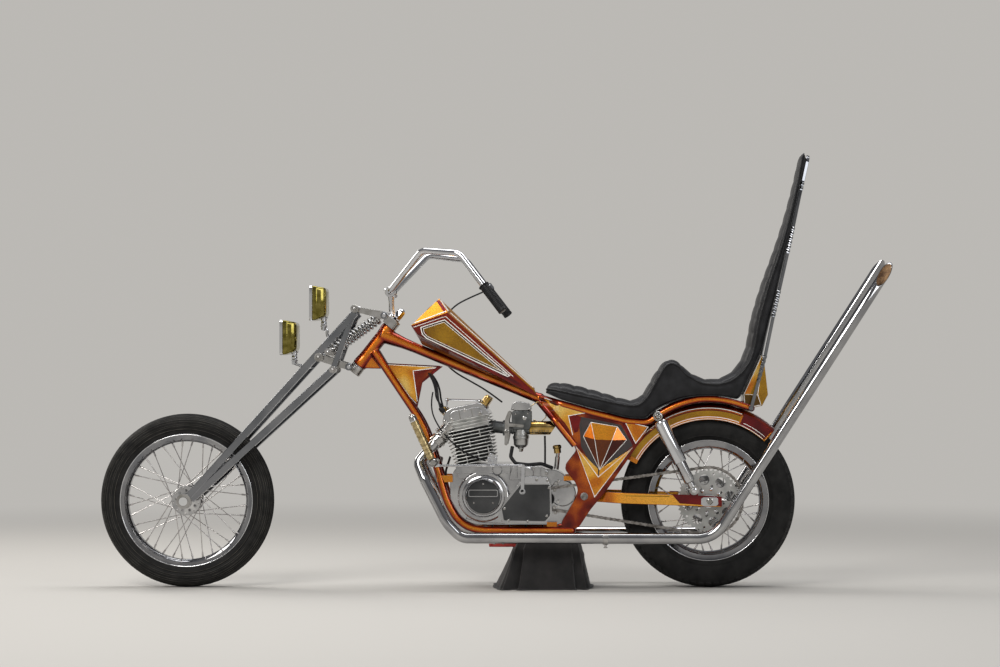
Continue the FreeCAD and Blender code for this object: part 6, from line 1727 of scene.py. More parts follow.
def cylinder_head():
    fins, cover, plate, dark, bright, caps = builds(6)
    base = 128.3
    for i in range(3):
        ring = round_corners(((-86, -121), (86, -121), (86, 121), (-86, 121)), 14, 5)
        low = base + 8 + i * 11.4
        fins.rings([[leaned(a, v, y) for a, y in ring] for v in (low, low + 3.8)])
    leaned_prism(fins, ((-74, base), (74, base), (74, base + 36), (-74, base + 36)), -108, 108)
    fins.piece("head_fins", FINS, replaces=("cylinder_head",), bevel=0.0012)
    side = ((-84, 160), (84, 160), (85, 168), (66, 200), (50, 211), (-46, 211), (-70, 202), (-85, 172))
    leaned_prism(cover, round_corners(side, 9), -112, 112)
    cover.piece("rocker_cover", POLISHED, bevel=0.006, segments=4, smooth=35)
    for y0, y1 in ((-118.5, -108), (108, 118.5)):
        leaned_prism(plate, round_corners(((-58, 164), (60, 164), (60, 178), (48, 196), (-40, 200),
                                           (-58, 190)), 6), y0, y1)
    plate.piece("rocker_side_plates", POLISHED, bevel=0.003, segments=3)
    for sign in SIDES:
        for u, v in ((-50, 170), (52, 170), (2, 193), (-76, 168)):
            spot = leaned(u, v, sign * 108)
            bright.stack(spot, (0, sign, 0), [(0, 0.0070), (0.0115, 0.0066), (0.0120, 0.0048),
                                              (0.0145, 0.0048), (0.0150, 0.0038)], 18)
        for u in (-22, 22):
            leaned_prism(bright, ((u, 164), (u + 3, 164), (u + 3, 198), (u, 198)), sign * 117.6, sign * 119.6)
        root = at(-150, 612, sign * 92)
        tip = at(-181, 640, sign * 92)
        run = (tip - root).normalized()
        bright.stack(root, run, [(-0.01, 0.011), (0.004, 0.011), (0.005, 0.0085), (0.018, 0.0085),
                                 (0.019, 0.0055), (0.030, 0.0055)], 6)
        dark.stack(root + run * 0.026, run, [(0, 0.0085), (0.012, 0.0090), (0.020, 0.0075), (0.024, 0.004)],
                   16)
        for (x, z), lean in (((-165, 628), -48), ((-22, 668), 34)):
            axis = Vector((math.sin(math.radians(lean)), 0, math.cos(math.radians(lean))))
            spot = at(x, z, sign * 62)
            bright.stack(spot - axis * 0.046, axis, [(0, 0.019), (0.030, 0.019), (0.032, 0.0175)], 32)
            profile = ribs(-0.0135, 0.0056, 5, ((0, 0.0118), (0.0003, 0.0150), (0.0030, 0.0150),
                                                (0.0033, 0.0118)))
            profile += [(0.0148, 0.0118), (0.0150, 0.0140), (0.0185, 0.0136), (0.0200, 0.0095)]
            caps.stack(spot, axis, profile, 32)
        collar_root = at(-146, 586, sign * 100)
        end = at(-184, 540, sign * 100)
        run = (end - collar_root).normalized()
        profile = [(0.0, 0.0235), (0.030, 0.0235)]
        profile += ribs(0.032, 0.0075, 3, ((0, 0.0235), (0.0005, 0.0300), (0.0035, 0.0300), (0.004, 0.0235)))
        bright.stack(collar_root, run, profile, 40)
        for spread in (Vector((0, sign, 0)), Vector((0, -sign, 0))):
            bright.stack(collar_root + run * 0.026 + spread * 0.030, run,
                         [(0, 0.007), (0.024, 0.007), (0.025, 0.0045), (0.032, 0.0045)], 6)
    bright.piece("head_bosses", OLD_CHROME, smooth=30)
    dark.piece("plug_caps", RUBBER)
    caps.piece("tappet_caps_finned", BRASS, replaces=("tappet_caps",), smooth=30)
    rail = Build()
    pipe(rail, ((-162, -66, 640), (-161, -66, 674), (-100, -66, 672.5), (-46, -66, 670), (-45, -66, 655)),
         (5, 60, 5), 3.2, 14, 5)
    for x, z in ((-162, 668), (-45, 664)):
        rail.stack(at(x, z, -66), (0, 0, 1), [(0, 0.0068), (0.007, 0.0068), (0.0075, 0.0055), (0.011, 0.0055),
                                              (0.0115, 0.004)], 6)
    rail.piece("oil_pipe", CHROME)


# the middle of each carburettor, and the height of its throat
CARB_Y, THROAT_Z = 46, 572
# the air stacks' open ends, cut at a slant
STACK_END, STACK_R, STACK_SLANT = 222, 24, 0.66


def carburettors():
    tops, bodies, bowls, links, copper, throats = builds(6)
    for sign in SIDES:
        y = sign * CARB_Y
        low, high = sorted((y - 30, y + 30))
        soft_panel(tops, ((66, 636), (140, 636), (139, 650), (128, 662), (86, 668), (72, 660)), 4, low, high)
        low, high = sorted((y - 27, y + 27))
        soft_panel(bodies, ((74, 566), (134, 566), (140, 580), (140, 634), (70, 634), (70, 584)), 8, low,
                   high)
        outer = y + sign * 27
        for x, z in ((116, 608), (84, 622), (128, 624), (84, 580)):
            screw(links, x, z, outer, 7 if x == 116 else 3.6, 3, sign)
        for x, z in ((74, 640), (132, 640)):
            screw(links, x, z, y + sign * 30, 4, 3, sign)
        throats.stack(at(44, THROAT_Z, y), (1, 0, 0), [(0, 0.020), (0.024, 0.020), (0.026, 0.0225),
                                                       (0.030, 0.0225), (0.032, 0.0200), (0.058, 0.0200),
                                                       (0.060, 0.0225), (0.089, 0.0235), (0.0905, 0.021)], 36)
        throats.stack(at(38, THROAT_Z, y), (1, 0, 0), [(0, 0.027), (0.012, 0.027), (0.0135, 0.0255),
                                                       (0.016, 0.0255)], 40)
        bowls.stack(at(102, 568, y), (0, 0, -1), [(0, 0.024), (0.022, 0.0255), (0.026, 0.0285),
                                                  (0.033, 0.0285), (0.036, 0.0265), (0.056, 0.0250),
                                                  (0.064, 0.0185), (0.066, 0.0110), (0.070, 0.0105)], 36)
        links.stack(at(102, 498, y), (0, 0, -1), [(0, 0.007), (0.010, 0.007), (0.011, 0.005)], 6)
        soft_panel(links, ((44, 512), (54, 510), (62, 545), (60, 600), (68, 628), (58, 634), (46, 604)), 4,
                   outer, outer + sign * 2.5)
        soft_panel(links, ((58, 578), (112, 574), (114, 584), (60, 590)), 3, outer, outer + sign * 2.0)
        coil = []
        for k in range(90):
            turn = k / 90 * 7 * 2 * math.pi
            coil.append(at(52 + 7 * math.cos(turn), 560 + 7 * math.sin(turn), outer + sign * (1 + k * 0.13)))
        links.tube(coil, 0.0010, 6)
        screw(links, 52, 560, outer, 4, 15, sign)
        inlet = at(46, THROAT_Z, y)
        port = at(-14, 578, y)
        throats.tube([inlet, (inlet * 2 + port) / 3, (inlet + port * 2) / 3, port], 0.0205, 32)
        throats.stack(at(2, 576, y), (1, 0, 0), [(0, 0.0215), (0.001, 0.0232), (0.007, 0.0232),
                                                 (0.008, 0.0215)], 32)
        copper_path = ((138, sign * 40, 650), (164, sign * 44, 668), (190, sign * 40, 640),
                       (192, sign * 36, 610), (170, sign * 32, 590), (146, sign * 34, 600))
        pipe(copper, copper_path, (8, 10, 10, 10), 1.3, 8, 6)
    cross_pin(links, (92, 650), 3.5, -60, 60)
    tops.piece("carb_tops", POLISHED, replaces=("carburettors",), bevel=0.003, segments=3)
    bodies.piece("carb_bodies", GUNMETAL, bevel=0.004, segments=3)
    bowls.piece("carb_bowls", ALLOY, smooth=30)
    throats.piece("carb_throats", GUNMETAL, smooth=30)
    links.piece("carb_links", OLD_CHROME)
    copper.piece("carb_copper_lines", BRASS, smooth=60)
    stacks, holes = builds(2)
    for sign in SIDES:
        outer, inner = [], []
        for radius, rings, xs in ((STACK_R, outer, (134, 134.6, 150, None)), (22.2, inner, (137, 150, None))):
            for x in xs:
                ring = []
                for k in range(40):
                    turn = 2 * math.pi * k / 40
                    dz = radius * math.sin(turn)
                    end = STACK_END + dz * STACK_SLANT
                    ring.append(at(end if x is None else x, THROAT_Z + dz,
                                   sign * CARB_Y + radius * math.cos(turn)))
                rings.append(ring)
        stacks.rings(outer + inner[::-1])
        # dark discs stand in for the holes in the stacks: painted shade where a hole would show the dark
        # inside of the stack
        for k in range(10):
            for degrees in (198, 212, 226, 314, 328, 342, 270):
                turn = math.radians(degrees)
                out = Vector((0, math.cos(turn), math.sin(turn)))
                x = 144 + k * 6.2
                if x > STACK_END + STACK_R * math.sin(turn) * STACK_SLANT - 6:
                    continue
                holes.stack(at(x, THROAT_Z, sign * CARB_Y) + out * 0.0238, out,
                            [(0, 0.0019), (0.0003, 0.0019)], 8)
    stacks.piece("air_stack_tubes", BRASS, replaces=("air_stacks",), smooth=40)
    holes.piece("air_stack_holes", GUNMETAL, slot="brass")


# ------------------------------------------------------------- exhausts
PIPE_R, PIPE_STEPS = 19.0, 48
# metres by which the right pipe is longer than the left one, and the length left for the slash-cut end
RIGHT_LONGER, PIPE_END = 0.028, 0.20
PIPE = ((-184, 100, 540), (-262, 116, 452), (-236, 152, 392), (-156, 190, 240), (-104, 190, 187),
        (786, 190, 185), (1413, 190, 1159))
PIPE_BENDS = (30, 60, 120, 60, 110)


def exhaust(sign, node):
    knots = [Vector((x, sign * y, z)) * MM for x, y, z in PIPE]
    run = (knots[-1] - knots[-2]).normalized()
    tip = knots[-1] + run * (RIGHT_LONGER if sign > 0 else 0.0)
    knots[-1] = tip - run * PIPE_END
    path = bent_path(knots, [r * MM for r in PIPE_BENDS], 22)
    outward = Vector((0, sign, 0))
    facing = run * 38 + outward * 101
    plane = tip - run * 0.0505
    build = Build()
    build.tube(path, PIPE_R * MM, PIPE_STEPS)
    tube_rings = [build.verts[i:i + PIPE_STEPS] for i in range(0, len(build.verts), PIPE_STEPS)]
    last = tube_rings[-1]
    centre = path[-1]

    def cut_ring(shrink):
        ring = []
        for p in last:
            q = centre + (p - centre) * shrink
            ring.append(q + run * ((plane - q).dot(facing) / run.dot(facing)))
        return ring

    inside = [centre + (p - centre) * 0.915 for p in last]
    pieces = Build()
    pieces.rings(tube_rings + [cut_ring(1.0), cut_ring(0.985), cut_ring(0.915), inside])
    pieces.piece(node + "_pipe", PIPE_CHROME, replaces=(node,), smooth=40)
    soot = Build()
    soot.rings([[p + run * -0.002 for p in cut_ring(0.91)], [centre + (p - centre) * 0.91 for p in last],
                [centre + (p - centre) * 0.88 for p in last], [p + run * -0.004 for p in cut_ring(0.88)]],
               closed=True)
    soot.piece(node + "_soot", SOOT, smooth=60)
    collar = Build()
    start, ahead = knots[0], (knots[1] - knots[0]).normalized()
    collar.stack(start + ahead * 0.002, ahead, [(0, 0.0205), (0.0005, 0.0265), (0.008, 0.0270),
                                                (0.009, 0.0245), (0.018, 0.0245), (0.019, 0.0270),
                                                (0.0255, 0.0265), (0.026, 0.0198)], 48)
    if sign < 0:
        clamp = at(404, 184, -190)
        collar.stack(clamp - Vector((0.010, 0, 0)), (1, 0, 0),
                     [(0, 0.0192), (0.0005, 0.0208), (0.0195, 0.0208), (0.020, 0.0192)], 48)
        collar.stack(at(404, 168, -190), (0, 0, -1), [(0, 0.004), (0.012, 0.004), (0.0125, 0.007),
                                                      (0.016, 0.007)], 12)
    collar.piece(node + "_collar", OLD_CHROME, smooth=30)


def exhausts():
    exhaust(-1, "exhaust_left")
    exhaust(1, "exhaust_right")


# ------------------------------------------------------------- controls
# how far to the side the footpegs' grips are, and where the shift linkage is
PEG_Y, SHIFT_Y = 152, -150


def foot_controls():
    grips, bright = builds(2)
    root, tip = Vector((-206, 0, 452)), Vector((-280, 0, 613))
    for sign in SIDES:
        a, b = (Vector((p.x, sign * PEG_Y, p.z)) * MM for p in (root, tip))
        run = (b - a).normalized()
        length = (b - a).length
        profile = [(0.014, 0.0125)] + ribs(0.020, (length - 0.034) / 9, 9, (
            (0, 0.0136), (0.0015, 0.0150), (0.0120, 0.0150), (0.0135, 0.0136)))
        grips.stack(a, run, profile, 32)
        bright.stack(b, run, [(-0.014, 0.0140), (-0.008, 0.0142), (-0.002, 0.0138), (0.005, 0.0118),
                              (0.0105, 0.0068), (0.0125, 0.001)], 32)
        bright.ball(a, 0.0165, 24)
        cross_pin(bright, (root.x, root.z), 7, sign * 84.2, sign * 166)
        hexagon(bright, root.x, root.z, sign * 164, 10, 5, sign)
        soft_panel(bright, ((-222, 440), (-190, 436), (-184, 462), (-212, 472)), 6, sign * 118, sign * 132)
    grips.piece("peg_grips", PEG_METAL, replaces=("foot_pegs",), smooth=30)
    bright.piece("peg_joints", OLD_CHROME, smooth=30)
    rod = Build()
    y = SHIFT_Y
    rod.rod(at(-210, 441, y), at(116, 441, y), 0.0040, 16, 0.001)
    for x in (-190, -24, 6, 104):
        rod.stack(at(x - 9, 441, y), (1, 0, 0), [(0, 0.0052), (0.0004, 0.0062), (0.0146, 0.0062),
                                                 (0.015, 0.0052)], 6)
    soft_panel(rod, ((107, 446), (119, 444), (116, 350), (104, 346)), 4, y - 5, y + 5)
    cross_pin(rod, (110, 350), 7, y - 5, -132.3)
    cross_pin(rod, (110, 350), 11, y - 3, y + 7)
    for x, z in ((2, 452), (-10, 462), (14, 466), (-4, 478)):
        rod.boss(x, z, y + 12, -1, [(0, 0.0070), (0.014, 0.0070), (0.016, 0.005)], 12)
    soft_panel(rod, ((-16, 436), (20, 436), (22, 470), (2, 486), (-14, 474)), 6, y + 4, y + 8)
    cross_pin(rod, (2, 452), 5, y + 8, -104)
    rod.piece("shift_linkage", CHROME, replaces=("shift_rod",))


CABLE = ((-48.7, 286, 1069), (-98, 238, 1046), (-152, 188, 1014), (-192, 154, 956), (-205, 124, 878),
         (-188, 76, 818), (-140, 38, 772), (-78, 14, 738), (-18, 4, 704), (34, 0, 664))
PLUG_LEAD = ((-222, -9.6, 766), (-218, -32, 760), (-204, -54, 738), (-194, -72, 706), (-192, -86, 672),
             (-182.6, -92, 641.4))
CLUTCH_CABLE = ((-214, -30, 700), (-222, -62, 652), (-196, -128, 588), (-140, -136, 520), (-74, -138, 474),
                (-20, -140, 458))


def wire_piece(name, points, radius, replaces=(), hand=None):
    """One cable: a smooth line through its places."""
    data = bpy.data.curves.new(name, "CURVE")
    data.dimensions = "3D"
    data.resolution_u = 10
    line = data.splines.new("NURBS")
    line.points.add(len(points) - 1)
    for knot, p in zip(line.points, points):
        knot.co = (p[0] * MM, p[1] * MM, p[2] * MM, 1)
    line.order_u = 3
    line.use_endpoint_u = True
    obj = new_object(name, data)
    bare = finished_mesh(obj)
    bpy.data.objects.remove(obj)
    build = Build()
    build.tube([v.co.copy() for v in bare.vertices], radius * MM, 16)
    obj = new_object(name, filled_mesh(name, build.verts, build.faces))
    obj.data.materials.append(RUBBER)
    obj.data.shade_smooth()
    if hand:
        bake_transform(obj)
    else:
        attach(obj, "frame")
    if replaces:
        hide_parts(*replaces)
    return obj


def cables():
    wire_piece("control_cable_line", CABLE, 3.0, ("control_cable",),
               ("front_fork", "frame", tuple(at(-120, 1030, 212)), tuple(at(-200, 860, 110))))
    wire_piece("plug_lead_left", PLUG_LEAD, 3.5, ("plug_leads",))
    wire_piece("plug_lead_right", [(x, -y, z) for x, y, z in PLUG_LEAD], 3.5)
    inner = [(x - 9, y * 0.62, z + 3) for x, y, z in PLUG_LEAD[:-1]] + [(-178, -64, 648)]
    wire_piece("plug_lead_inner", inner, 3.5)
    wire_piece("clutch_cable_line", CLUTCH_CABLE, 2.6)


# ------------------------------------------------------------- seat
# places along the seat: its crown, its piping and its foot, then the half widths of pillow and foot
SEAT_ROWS = (
    ((197, 722), (194, 711), (190, 698), 84, 80),
    ((203, 733), (203, 713), (203, 695), 92, 88),
    ((242, 736), (242, 706), (242, 676), 100, 96),
    ((293, 727), (293, 694), (293, 661), 106, 101),
    ((343, 714), (343, 684), (343, 647), 110, 105),
    ((404, 697), (404, 670), (404, 631), 112, 106),
    ((452, 681), (452, 659), (452, 618), 112, 106),
    ((492, 672), (494, 652), (494, 608), 112, 106),
    ((520, 676), (524, 654), (524, 607), 112, 106),
    ((547, 704), (556, 684), (550, 607), 112, 106),
    ((570, 748), (582, 733), (566, 622), 112, 106),
    ((597, 789), (606, 776), (596, 645), 112, 106),
    ((617, 812), (620, 797), (618, 655), 112, 106),
    ((638, 821), (638, 805), (640, 664), 112, 106),
    ((668, 810), (664, 796), (668, 675), 112, 106),
    ((698, 778), (692, 764), (698, 682), 112, 106),
    ((747, 751), (742, 734), (744, 688), 112, 106),
    ((798, 746), (800, 727), (800, 688), 110, 104),
    ((843, 761), (852, 740), (846, 682), 106, 100),
    ((873, 787), (889, 768), (880, 674), 102, 96),
    ((895, 822), (917, 806), (915, 750), 97, 91),
    ((909, 860), (934, 850), (948, 820), 93, 87),
    ((915, 888), (940, 882), (962, 850), 92, 86),
    ((927, 959), (952, 952), (984, 942), 92, 86),
    ((947, 1031), (971, 1024), (1004, 1018), 92, 86),
    ((970, 1102), (992, 1096), (1021, 1092), 92, 86),
    ((997, 1174), (1017, 1169), (1038, 1167), 92, 86),
    ((1022, 1245), (1039, 1241), (1055, 1240), 91, 85),
    ((1045, 1317), (1059, 1314), (1071, 1313), 89, 83),
    ((1065, 1388), (1076, 1386), (1086, 1387), 86, 80),
    ((1083, 1460), (1092, 1458), (1103, 1458), 82, 76),
    ((1099, 1531), (1105, 1529), (1119, 1528), 76, 70),
    ((1107, 1552), (1110, 1549), (1120, 1546), 70, 64),
    ((1113, 1557), (1114, 1553), (1119, 1551), 62, 56),
)
# the length of one roll, where the bench ends, and how deep the seams lie on the bench and the back
ROLL, BENCH_END_X, BENCH_DENT, BACK_DENT = 52.0, 850, 5.0, 3.4
SWELL_PRESSURE, SWELL_CAP = 2.2, 0.005


def seat_stations(step):
    """Evenly spaced, gently smoothed rows between the places in the table."""
    rows = [Vector([*t, *p, *b]) for t, p, b, _, _ in SEAT_ROWS]
    halves = [Vector((a, b)) for *_, a, b in SEAT_ROWS]
    marks = [0.0]
    for a, b in zip(rows, rows[1:]):
        marks.append(marks[-1] + (Vector(b[:2]) - Vector(a[:2])).length)
    total, stations = marks[-1], []
    count = int(total / step)
    for k in range(count + 1):
        s = total * k / count
        i = max(j for j in range(len(marks) - 1) if marks[j] <= s + 1e-9)
        share = (s - marks[i]) / (marks[i + 1] - marks[i])
        stations.append([s, rows[i].lerp(rows[i + 1], share), halves[i].lerp(halves[i + 1], share)])
    for _ in range(6):
        kept = [list(station) for station in stations]
        for i in range(1, len(stations) - 1):
            stations[i][1] = (kept[i - 1][1] + kept[i][1] * 2 + kept[i + 1][1]) / 4
            stations[i][2] = (kept[i - 1][2] + kept[i][2] * 2 + kept[i + 1][2]) / 4
    return stations


def swollen(obj, pins, pressure, cap, frames=16):
    """Let a padded piece swell between its pinned seams, and keep the result."""
    rest = [v.co.copy() for v in obj.data.vertices]
    group = obj.vertex_groups.new(name="pins")
    for weight in sorted(set(pins)):
        group.add([i for i, w in enumerate(pins) if w == weight], weight, "REPLACE")
    cloth = obj.modifiers.new("cloth", "CLOTH")
    cloth.settings.vertex_group_mass = "pins"
    cloth.settings.quality = 6
    cloth.settings.mass = 0.4
    cloth.settings.tension_stiffness = 30
    cloth.settings.compression_stiffness = 30
    cloth.settings.bending_stiffness = 2.5
    cloth.settings.use_pressure = True
    cloth.settings.uniform_pressure_force = pressure
    cloth.settings.effector_weights.gravity = 0
    cloth.collision_settings.use_collision = False
    cloth.collision_settings.use_self_collision = False
    scene = bpy.context.scene
    for number in range(1, frames + 1):
        scene.frame_set(number)
    moved = finished_mesh(obj)
    for i, vertex in enumerate(moved.vertices):
        shift = vertex.co - rest[i]
        if shift.length > cap:
            vertex.co = rest[i] + shift * (cap / shift.length)
    obj.modifiers.remove(cloth)
    obj.vertex_groups.clear()
    obj.data = moved
    scene.frame_set(1)
    return obj


def seat():
    stations = seat_stations(ROLL / 10)
    across, down, under = 30, 6, 8
    rings, pins = [], []
    for s, row, half in stations:
        crown, edge, foot = Vector(row[:2]), Vector(row[2:4]), Vector(row[4:6])
        t = (s / ROLL) % 1.0
        dent = 1 - math.sqrt(max(0.0, 1 - (2 * t - 1) ** 2))
        near_end = min(s, stations[-1][0] - s)
        soft = min(1.0, near_end / 30)
        lift = crown - edge
        ring, weights = [], []
        seam = t < 0.06 or t > 0.94
        for k in range(across + 1):
            a = -1 + 2 * k / across
            y = math.sin(a * math.pi / 2) * 0.35 + a * 0.65
            full = (1 - abs(y) ** 3.0) ** 0.5
            deep = BENCH_DENT if crown.x < BENCH_END_X else BACK_DENT
            drop = deep * dent * soft * min(1.0, full * 1.5)
            place = edge + lift * full * (0.95 + 0.05 * soft) - lift.normalized() * drop
            ring.append(Vector((place.x, y * half.x, place.y)) * MM)
            weights.append(1.0 if seam or k in (0, across) else 0.25 if abs(a) > 0.85 else 0.0)
        right = []
        for k in range(1, down + 1):
            share = k / down
            place = edge.lerp(foot, share)
            wide = half.x + (half.y - half.x) * share - 4.5 * (1 - share) ** 3 * (k < 2)
            bulge = 2.5 * math.sin(share * math.pi)
            right.append((place, wide + bulge - 2.5))
        ring += [Vector((p.x, y, p.y)) * MM for p, y in right]
        ring += [Vector((foot.x, half.y * (1 - 2 * k / under), foot.y)) * MM for k in range(1, under)]
        ring += [Vector((p.x, -y, p.y)) * MM for p, y in reversed(right)]
        weights += [1.0] * (len(ring) - len(weights))
        if s == 0 or s == stations[-1][0]:
            weights = [1.0] * len(ring)
        rings.append(ring)
        pins += weights
    build = Build()
    build.rings(rings)
    pillow = build.piece("seat_pillow", VINYL, replaces=("seat",), smooth=180)
    swollen(pillow, pins, SWELL_PRESSURE, SWELL_CAP)
    pillow.data.shade_smooth()
    finer = pillow.modifiers.new("finer", "SUBSURF")
    finer.levels = finer.render_levels = 1
    for side, name in ((-1, "left"), (1, "right")):
        piping = Build()
        points = []
        for s, row, half in stations:
            points.append(Vector((row[2], side * (half.x + 0.6), row[3])) * MM)
        piping.tube(points, 0.0030, 10)
        piping.piece("seat_piping_" + name, VINYL_EDGE, smooth=60)
    hem = Build()
    for side in SIDES:
        points = [Vector((row[4], side * (half.y - 1.5), row[5] + 1.5)) * MM for s, row,
                  half in stations if 8 < s < 1480]
        hem.tube(points, 0.0022, 8)
    hem.piece("seat_hem", VINYL_EDGE, smooth=60)


# ------------------------------------------------------------- covered stand
# shares: how much of the cloth is its flat top, and how much of the rest falls before the hem lies down
TOP_SHARE, HEM_SHARE = 0.18, 0.93


def stand_cloth():
    """A black cloth thrown over the block: it falls in folds and creases on the floor."""
    rng = random.Random(12)
    waves = [(rng.choice((5, 7, 8, 11, 13, 17)), rng.uniform(0, 2 * math.pi), rng.uniform(0.5, 1.0))
             for _ in range(7)]
    creases = [(rng.uniform(0, 2 * math.pi), rng.uniform(0.2, 0.9), rng.uniform(0.02, 0.06))
               for _ in range(26)]
    around, rows = 300, 46
    top_z, half_x, half_y = 191.0, 104.0, 114.0
    middle = Vector((200, 0))
    rings = []
    for r in range(rows + 1):
        ring = []
        share = r / rows
        for k in range(around):
            turn = 2 * math.pi * k / around
            c, s = math.cos(turn), math.sin(turn)
            power = 0.30
            ex = math.copysign(abs(c) ** power, c)
            ey = math.copysign(abs(s) ** power, s)
            size = max(abs(ex), abs(ey))
            ex, ey = ex / size ** 0.35, ey / size ** 0.35
            wave = sum(w * math.sin(n * turn + p) for n, p, w in waves) / 3.2
            fold = math.tanh(wave * 1.6)
            if share < TOP_SHARE:
                q = share / TOP_SHARE
                place = Vector((middle.x + ex * half_x * q, ey * half_y * q))
                z = top_z + 1.2 * math.sin(place.x * 0.09) * math.sin(place.y * 0.07 + 1) - 2.0 * q ** 6
            else:
                q = (share - TOP_SHARE) / (1 - TOP_SHARE)
                fall = min(1.0, q / HEM_SHARE)
                left = max(0.0, -c)
                spread = 8 * min(1.0, fall * 4) + (30 + 52 * left ** 2) * fall ** 1.25 + fold * (3
                                                                                                 + 17 * fall)
                if q > HEM_SHARE:
                    spread += (q - HEM_SHARE) / (1 - HEM_SHARE) * 10
                out = Vector((ex * half_y, ey * half_x)).normalized()
                place = Vector((middle.x + ex * half_x, ey * half_y)) + out * spread
                z = (top_z - 4) * (1 - fall) + 2.2 + 2.2 * abs(fold) * (q > HEM_SHARE)
                for where, high, tall in creases:
                    off_turn = math.remainder(turn - where, 2 * math.pi) / 0.10
                    near = math.exp(-(off_turn ** 2) - ((fall - high) / tall) ** 2)
                    place += out * near * 3.2
            ring.append(Vector((place.x, place.y, z)) * MM)
        rings.append(ring)
    build = Build()
    build.verts = [Vector((0.2, 0, top_z * MM))] + [p for ring in rings[1:] for p in ring]
    build.faces = [[0, 1 + k, 1 + (k + 1) % around] for k in range(around)]
    for r in range(rows - 1):
        for k in range(around):
            m = (k + 1) % around
            build.faces.append([1 + r * around + k, 1 + r * around + m, 1 + (r + 1) * around + m,
                                1 + (r + 1) * around + k])
    cloth = build.piece("stand_cloth", CLOTH, replaces=("stand_cover",), smooth=180)
    thick = cloth.modifiers.new("thick", "SOLIDIFY")
    thick.thickness = 0.0012
    under = Build()
    under.block((0.110, -0.100, 0.002), (0.282, 0.100, 0.181))
    under.piece("stand_block_rounded", STAND_STEEL, replaces=("stand_block",), bevel=0.006, segments=3)
    pad, bolts = builds(2)
    pad.block((-0.012, -0.060, 0.147), (0.1055, 0.060, 0.1795))
    pad.block((-0.012, -0.064, 0.150), (-0.002, 0.064, 0.1765))
    pad.piece("stand_red_pad", PAD_RED, replaces=("stand_pad",), bevel=0.004, segments=3)
    for x in (8, 40):
        for sign in SIDES:
            hexagon(bolts, x, 163, sign * 60, 7, 4, sign)
    bolts.piece("stand_pad_bolts", OLD_CHROME)


PIECES = (front_wheel, rear_wheel, girders, link_plates, springs, steering_stem, headlamps, handlebar,
          main_frame, front_star, rear_panels, gem_covers, fuel_tank, swing_arm, rear_fender, shock_absorbers,
          drive_chain, sissy_bar, tail_box, crankcase, engine_covers, cylinder_barrel, cylinder_head,
          carburettors, exhausts, foot_controls, cables, seat, stand_cloth)


# ------------------------------------------------------------- camera and light
def area_light(name, place, aim, size, power, tint=(1, 1, 1)):
    data = bpy.data.lights.new(name, "AREA")
    data.shape = "RECTANGLE"
    data.size, data.size_y = size
    data.energy = power
    data.color = tint
    lamp = new_object(name, data)
    lamp.location = place
    lamp.rotation_euler = (Vector(aim) - Vector(place)).to_track_quat("-Z", "Y").to_euler()


BACKDROP = (0.50, 0.485, 0.46)
# metres from the middle at which the floor starts to fade and is one with the background
FLOOR_FADE = (1.6, 6.5)
# the background's light by height, from the horizon up
SKY = ((0.0, BACKDROP), (0.17, BACKDROP), (0.34, (0.13, 0.13, 0.135)), (0.6, (0.20, 0.20, 0.21)),
       (1.0, (0.40, 0.40, 0.41)))
SOFT_LIGHT = (0.30, 0.30, 0.30, 1)
CAMERA_PLACE = (0.314, -9.0, 0.762)


def seen_by(made):
    """1 for rays that see the background: straight, mirrored or through glass."""
    rays = node_of(made, "ShaderNodeLightPath")
    total = None
    for name in ("Is Camera Ray", "Is Glossy Ray", "Is Transmission Ray"):
        step = node_of(made, "ShaderNodeMath", operation="ADD", use_clamp=True)
        wire(made, rays, name, step, 0)
        if total:
            wire(made, total, "Value", step, 1)
        else:
            step.inputs[1].default_value = 0.0
        total = step
    return total


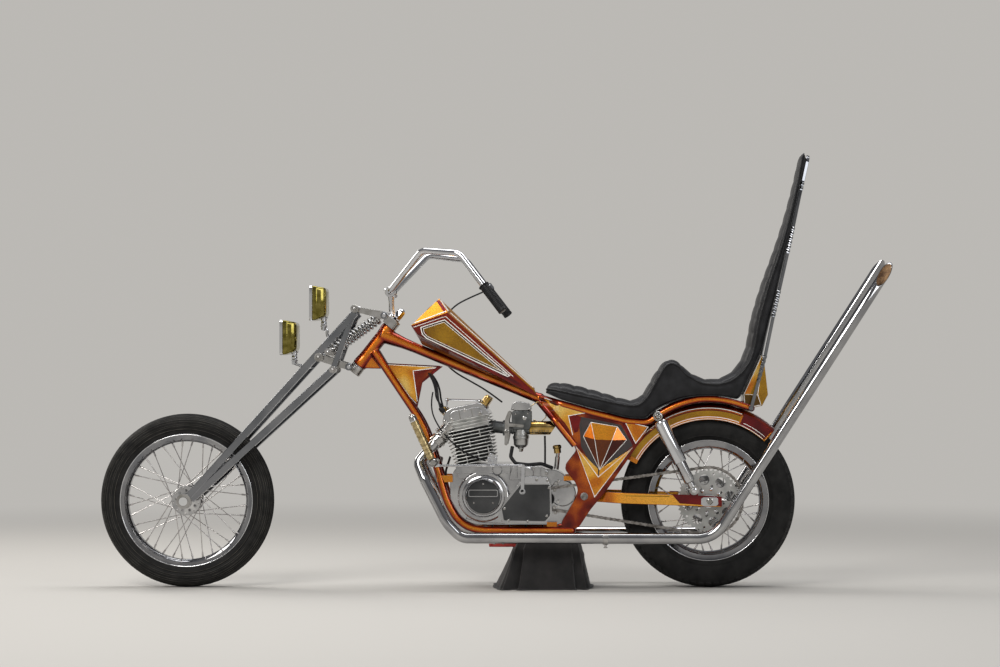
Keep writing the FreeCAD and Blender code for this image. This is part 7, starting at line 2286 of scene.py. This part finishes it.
def floor_material():
    """A pale floor that runs into the pale background a few metres away."""
    made = bpy.data.materials.new("studio_floor")
    made.use_nodes = True
    node = bsdf(made)
    node.inputs["Base Color"].default_value = (*BACKDROP, 1)
    node.inputs["Roughness"].default_value = 0.85
    node.inputs["Specular IOR Level"].default_value = 0.2
    glow = node_of(made, "ShaderNodeEmission", Color=(*BACKDROP, 1))
    place = node_of(made, "ShaderNodeTexCoord")
    length = node_of(made, "ShaderNodeVectorMath", operation="LENGTH")
    wire(made, place, "Object", length, 0)
    far = node_of(made, "ShaderNodeMapRange", interpolation_type="SMOOTHSTEP",
                  From_Min=FLOOR_FADE[0], From_Max=FLOOR_FADE[1])
    wire(made, length, "Value", far, "Value")
    both = node_of(made, "ShaderNodeMath", operation="MULTIPLY")
    wire(made, far, "Result", both, 0)
    wire(made, seen_by(made), "Value", both, 1)
    mix = node_of(made, "ShaderNodeMixShader")
    wire(made, both, "Value", mix, "Fac")
    wire(made, node, "BSDF", mix, 1)
    wire(made, glow, "Emission", mix, 2)
    wire(made, mix, "Shader", made.node_tree.nodes["Material Output"], "Surface")
    return made


def studio():
    scene = bpy.context.scene
    rings = [[(r * math.cos(math.radians(a)), r * math.sin(math.radians(a)), 0) for a in range(0, 360, 6)]
             for r in (0.01, 20, 90)]
    build = Build()
    build.rings(rings, capped=False)
    floor = new_object("studio_floor", filled_mesh("studio_floor", build.verts, build.faces))
    floor.data.materials.append(floor_material())

    area_light("key", (-2.6, -4.2, 4.4), (0.0, 0.0, 0.6), (3.2, 2.0), 230, (1.0, 0.98, 0.95))
    area_light("fill", (3.6, -4.6, 2.6), (0.2, 0.0, 0.5), (2.4, 2.4), 60, (0.95, 0.97, 1.0))
    area_light("top", (0.2, 0.6, 4.2), (0.1, 0.0, 0.4), (4.5, 1.6), 120)
    area_light("rim", (-3.8, 2.4, 2.8), (-0.4, 0.0, 0.7), (2.0, 1.4), 70, (1.0, 0.96, 0.90))
    world = scene.world or bpy.data.worlds.new("studio")
    scene.world = world
    world.use_nodes = True
    background = world.node_tree.nodes["Background"]
    background.inputs["Strength"].default_value = 1.0
    place = node_of(world, "ShaderNodeTexCoord")
    parts = node_of(world, "ShaderNodeSeparateXYZ")
    heights = ramp_node(world, SKY)
    wire(world, place, "Generated", parts, "Vector")
    wire(world, parts, "Z", heights, "Fac")
    mixed = node_of(world, "ShaderNodeMix", data_type="RGBA")
    mixed.inputs["A"].default_value = SOFT_LIGHT
    wire(world, seen_by(world), "Value", mixed, "Factor")
    wire(world, heights, "Color", mixed, "B")
    wire(world, mixed, "Result", background, "Color")

    data = bpy.data.cameras.new("camera")
    data.lens = 90.0
    data.shift_x = -0.08
    data.shift_y = 0.0415
    camera = new_object("camera", data)
    camera.location = CAMERA_PLACE
    camera.rotation_euler = (math.radians(90), 0, 0)
    scene.camera = camera
    scene.view_settings.view_transform = "Standard"


for make in PIECES:
    make()
studio()
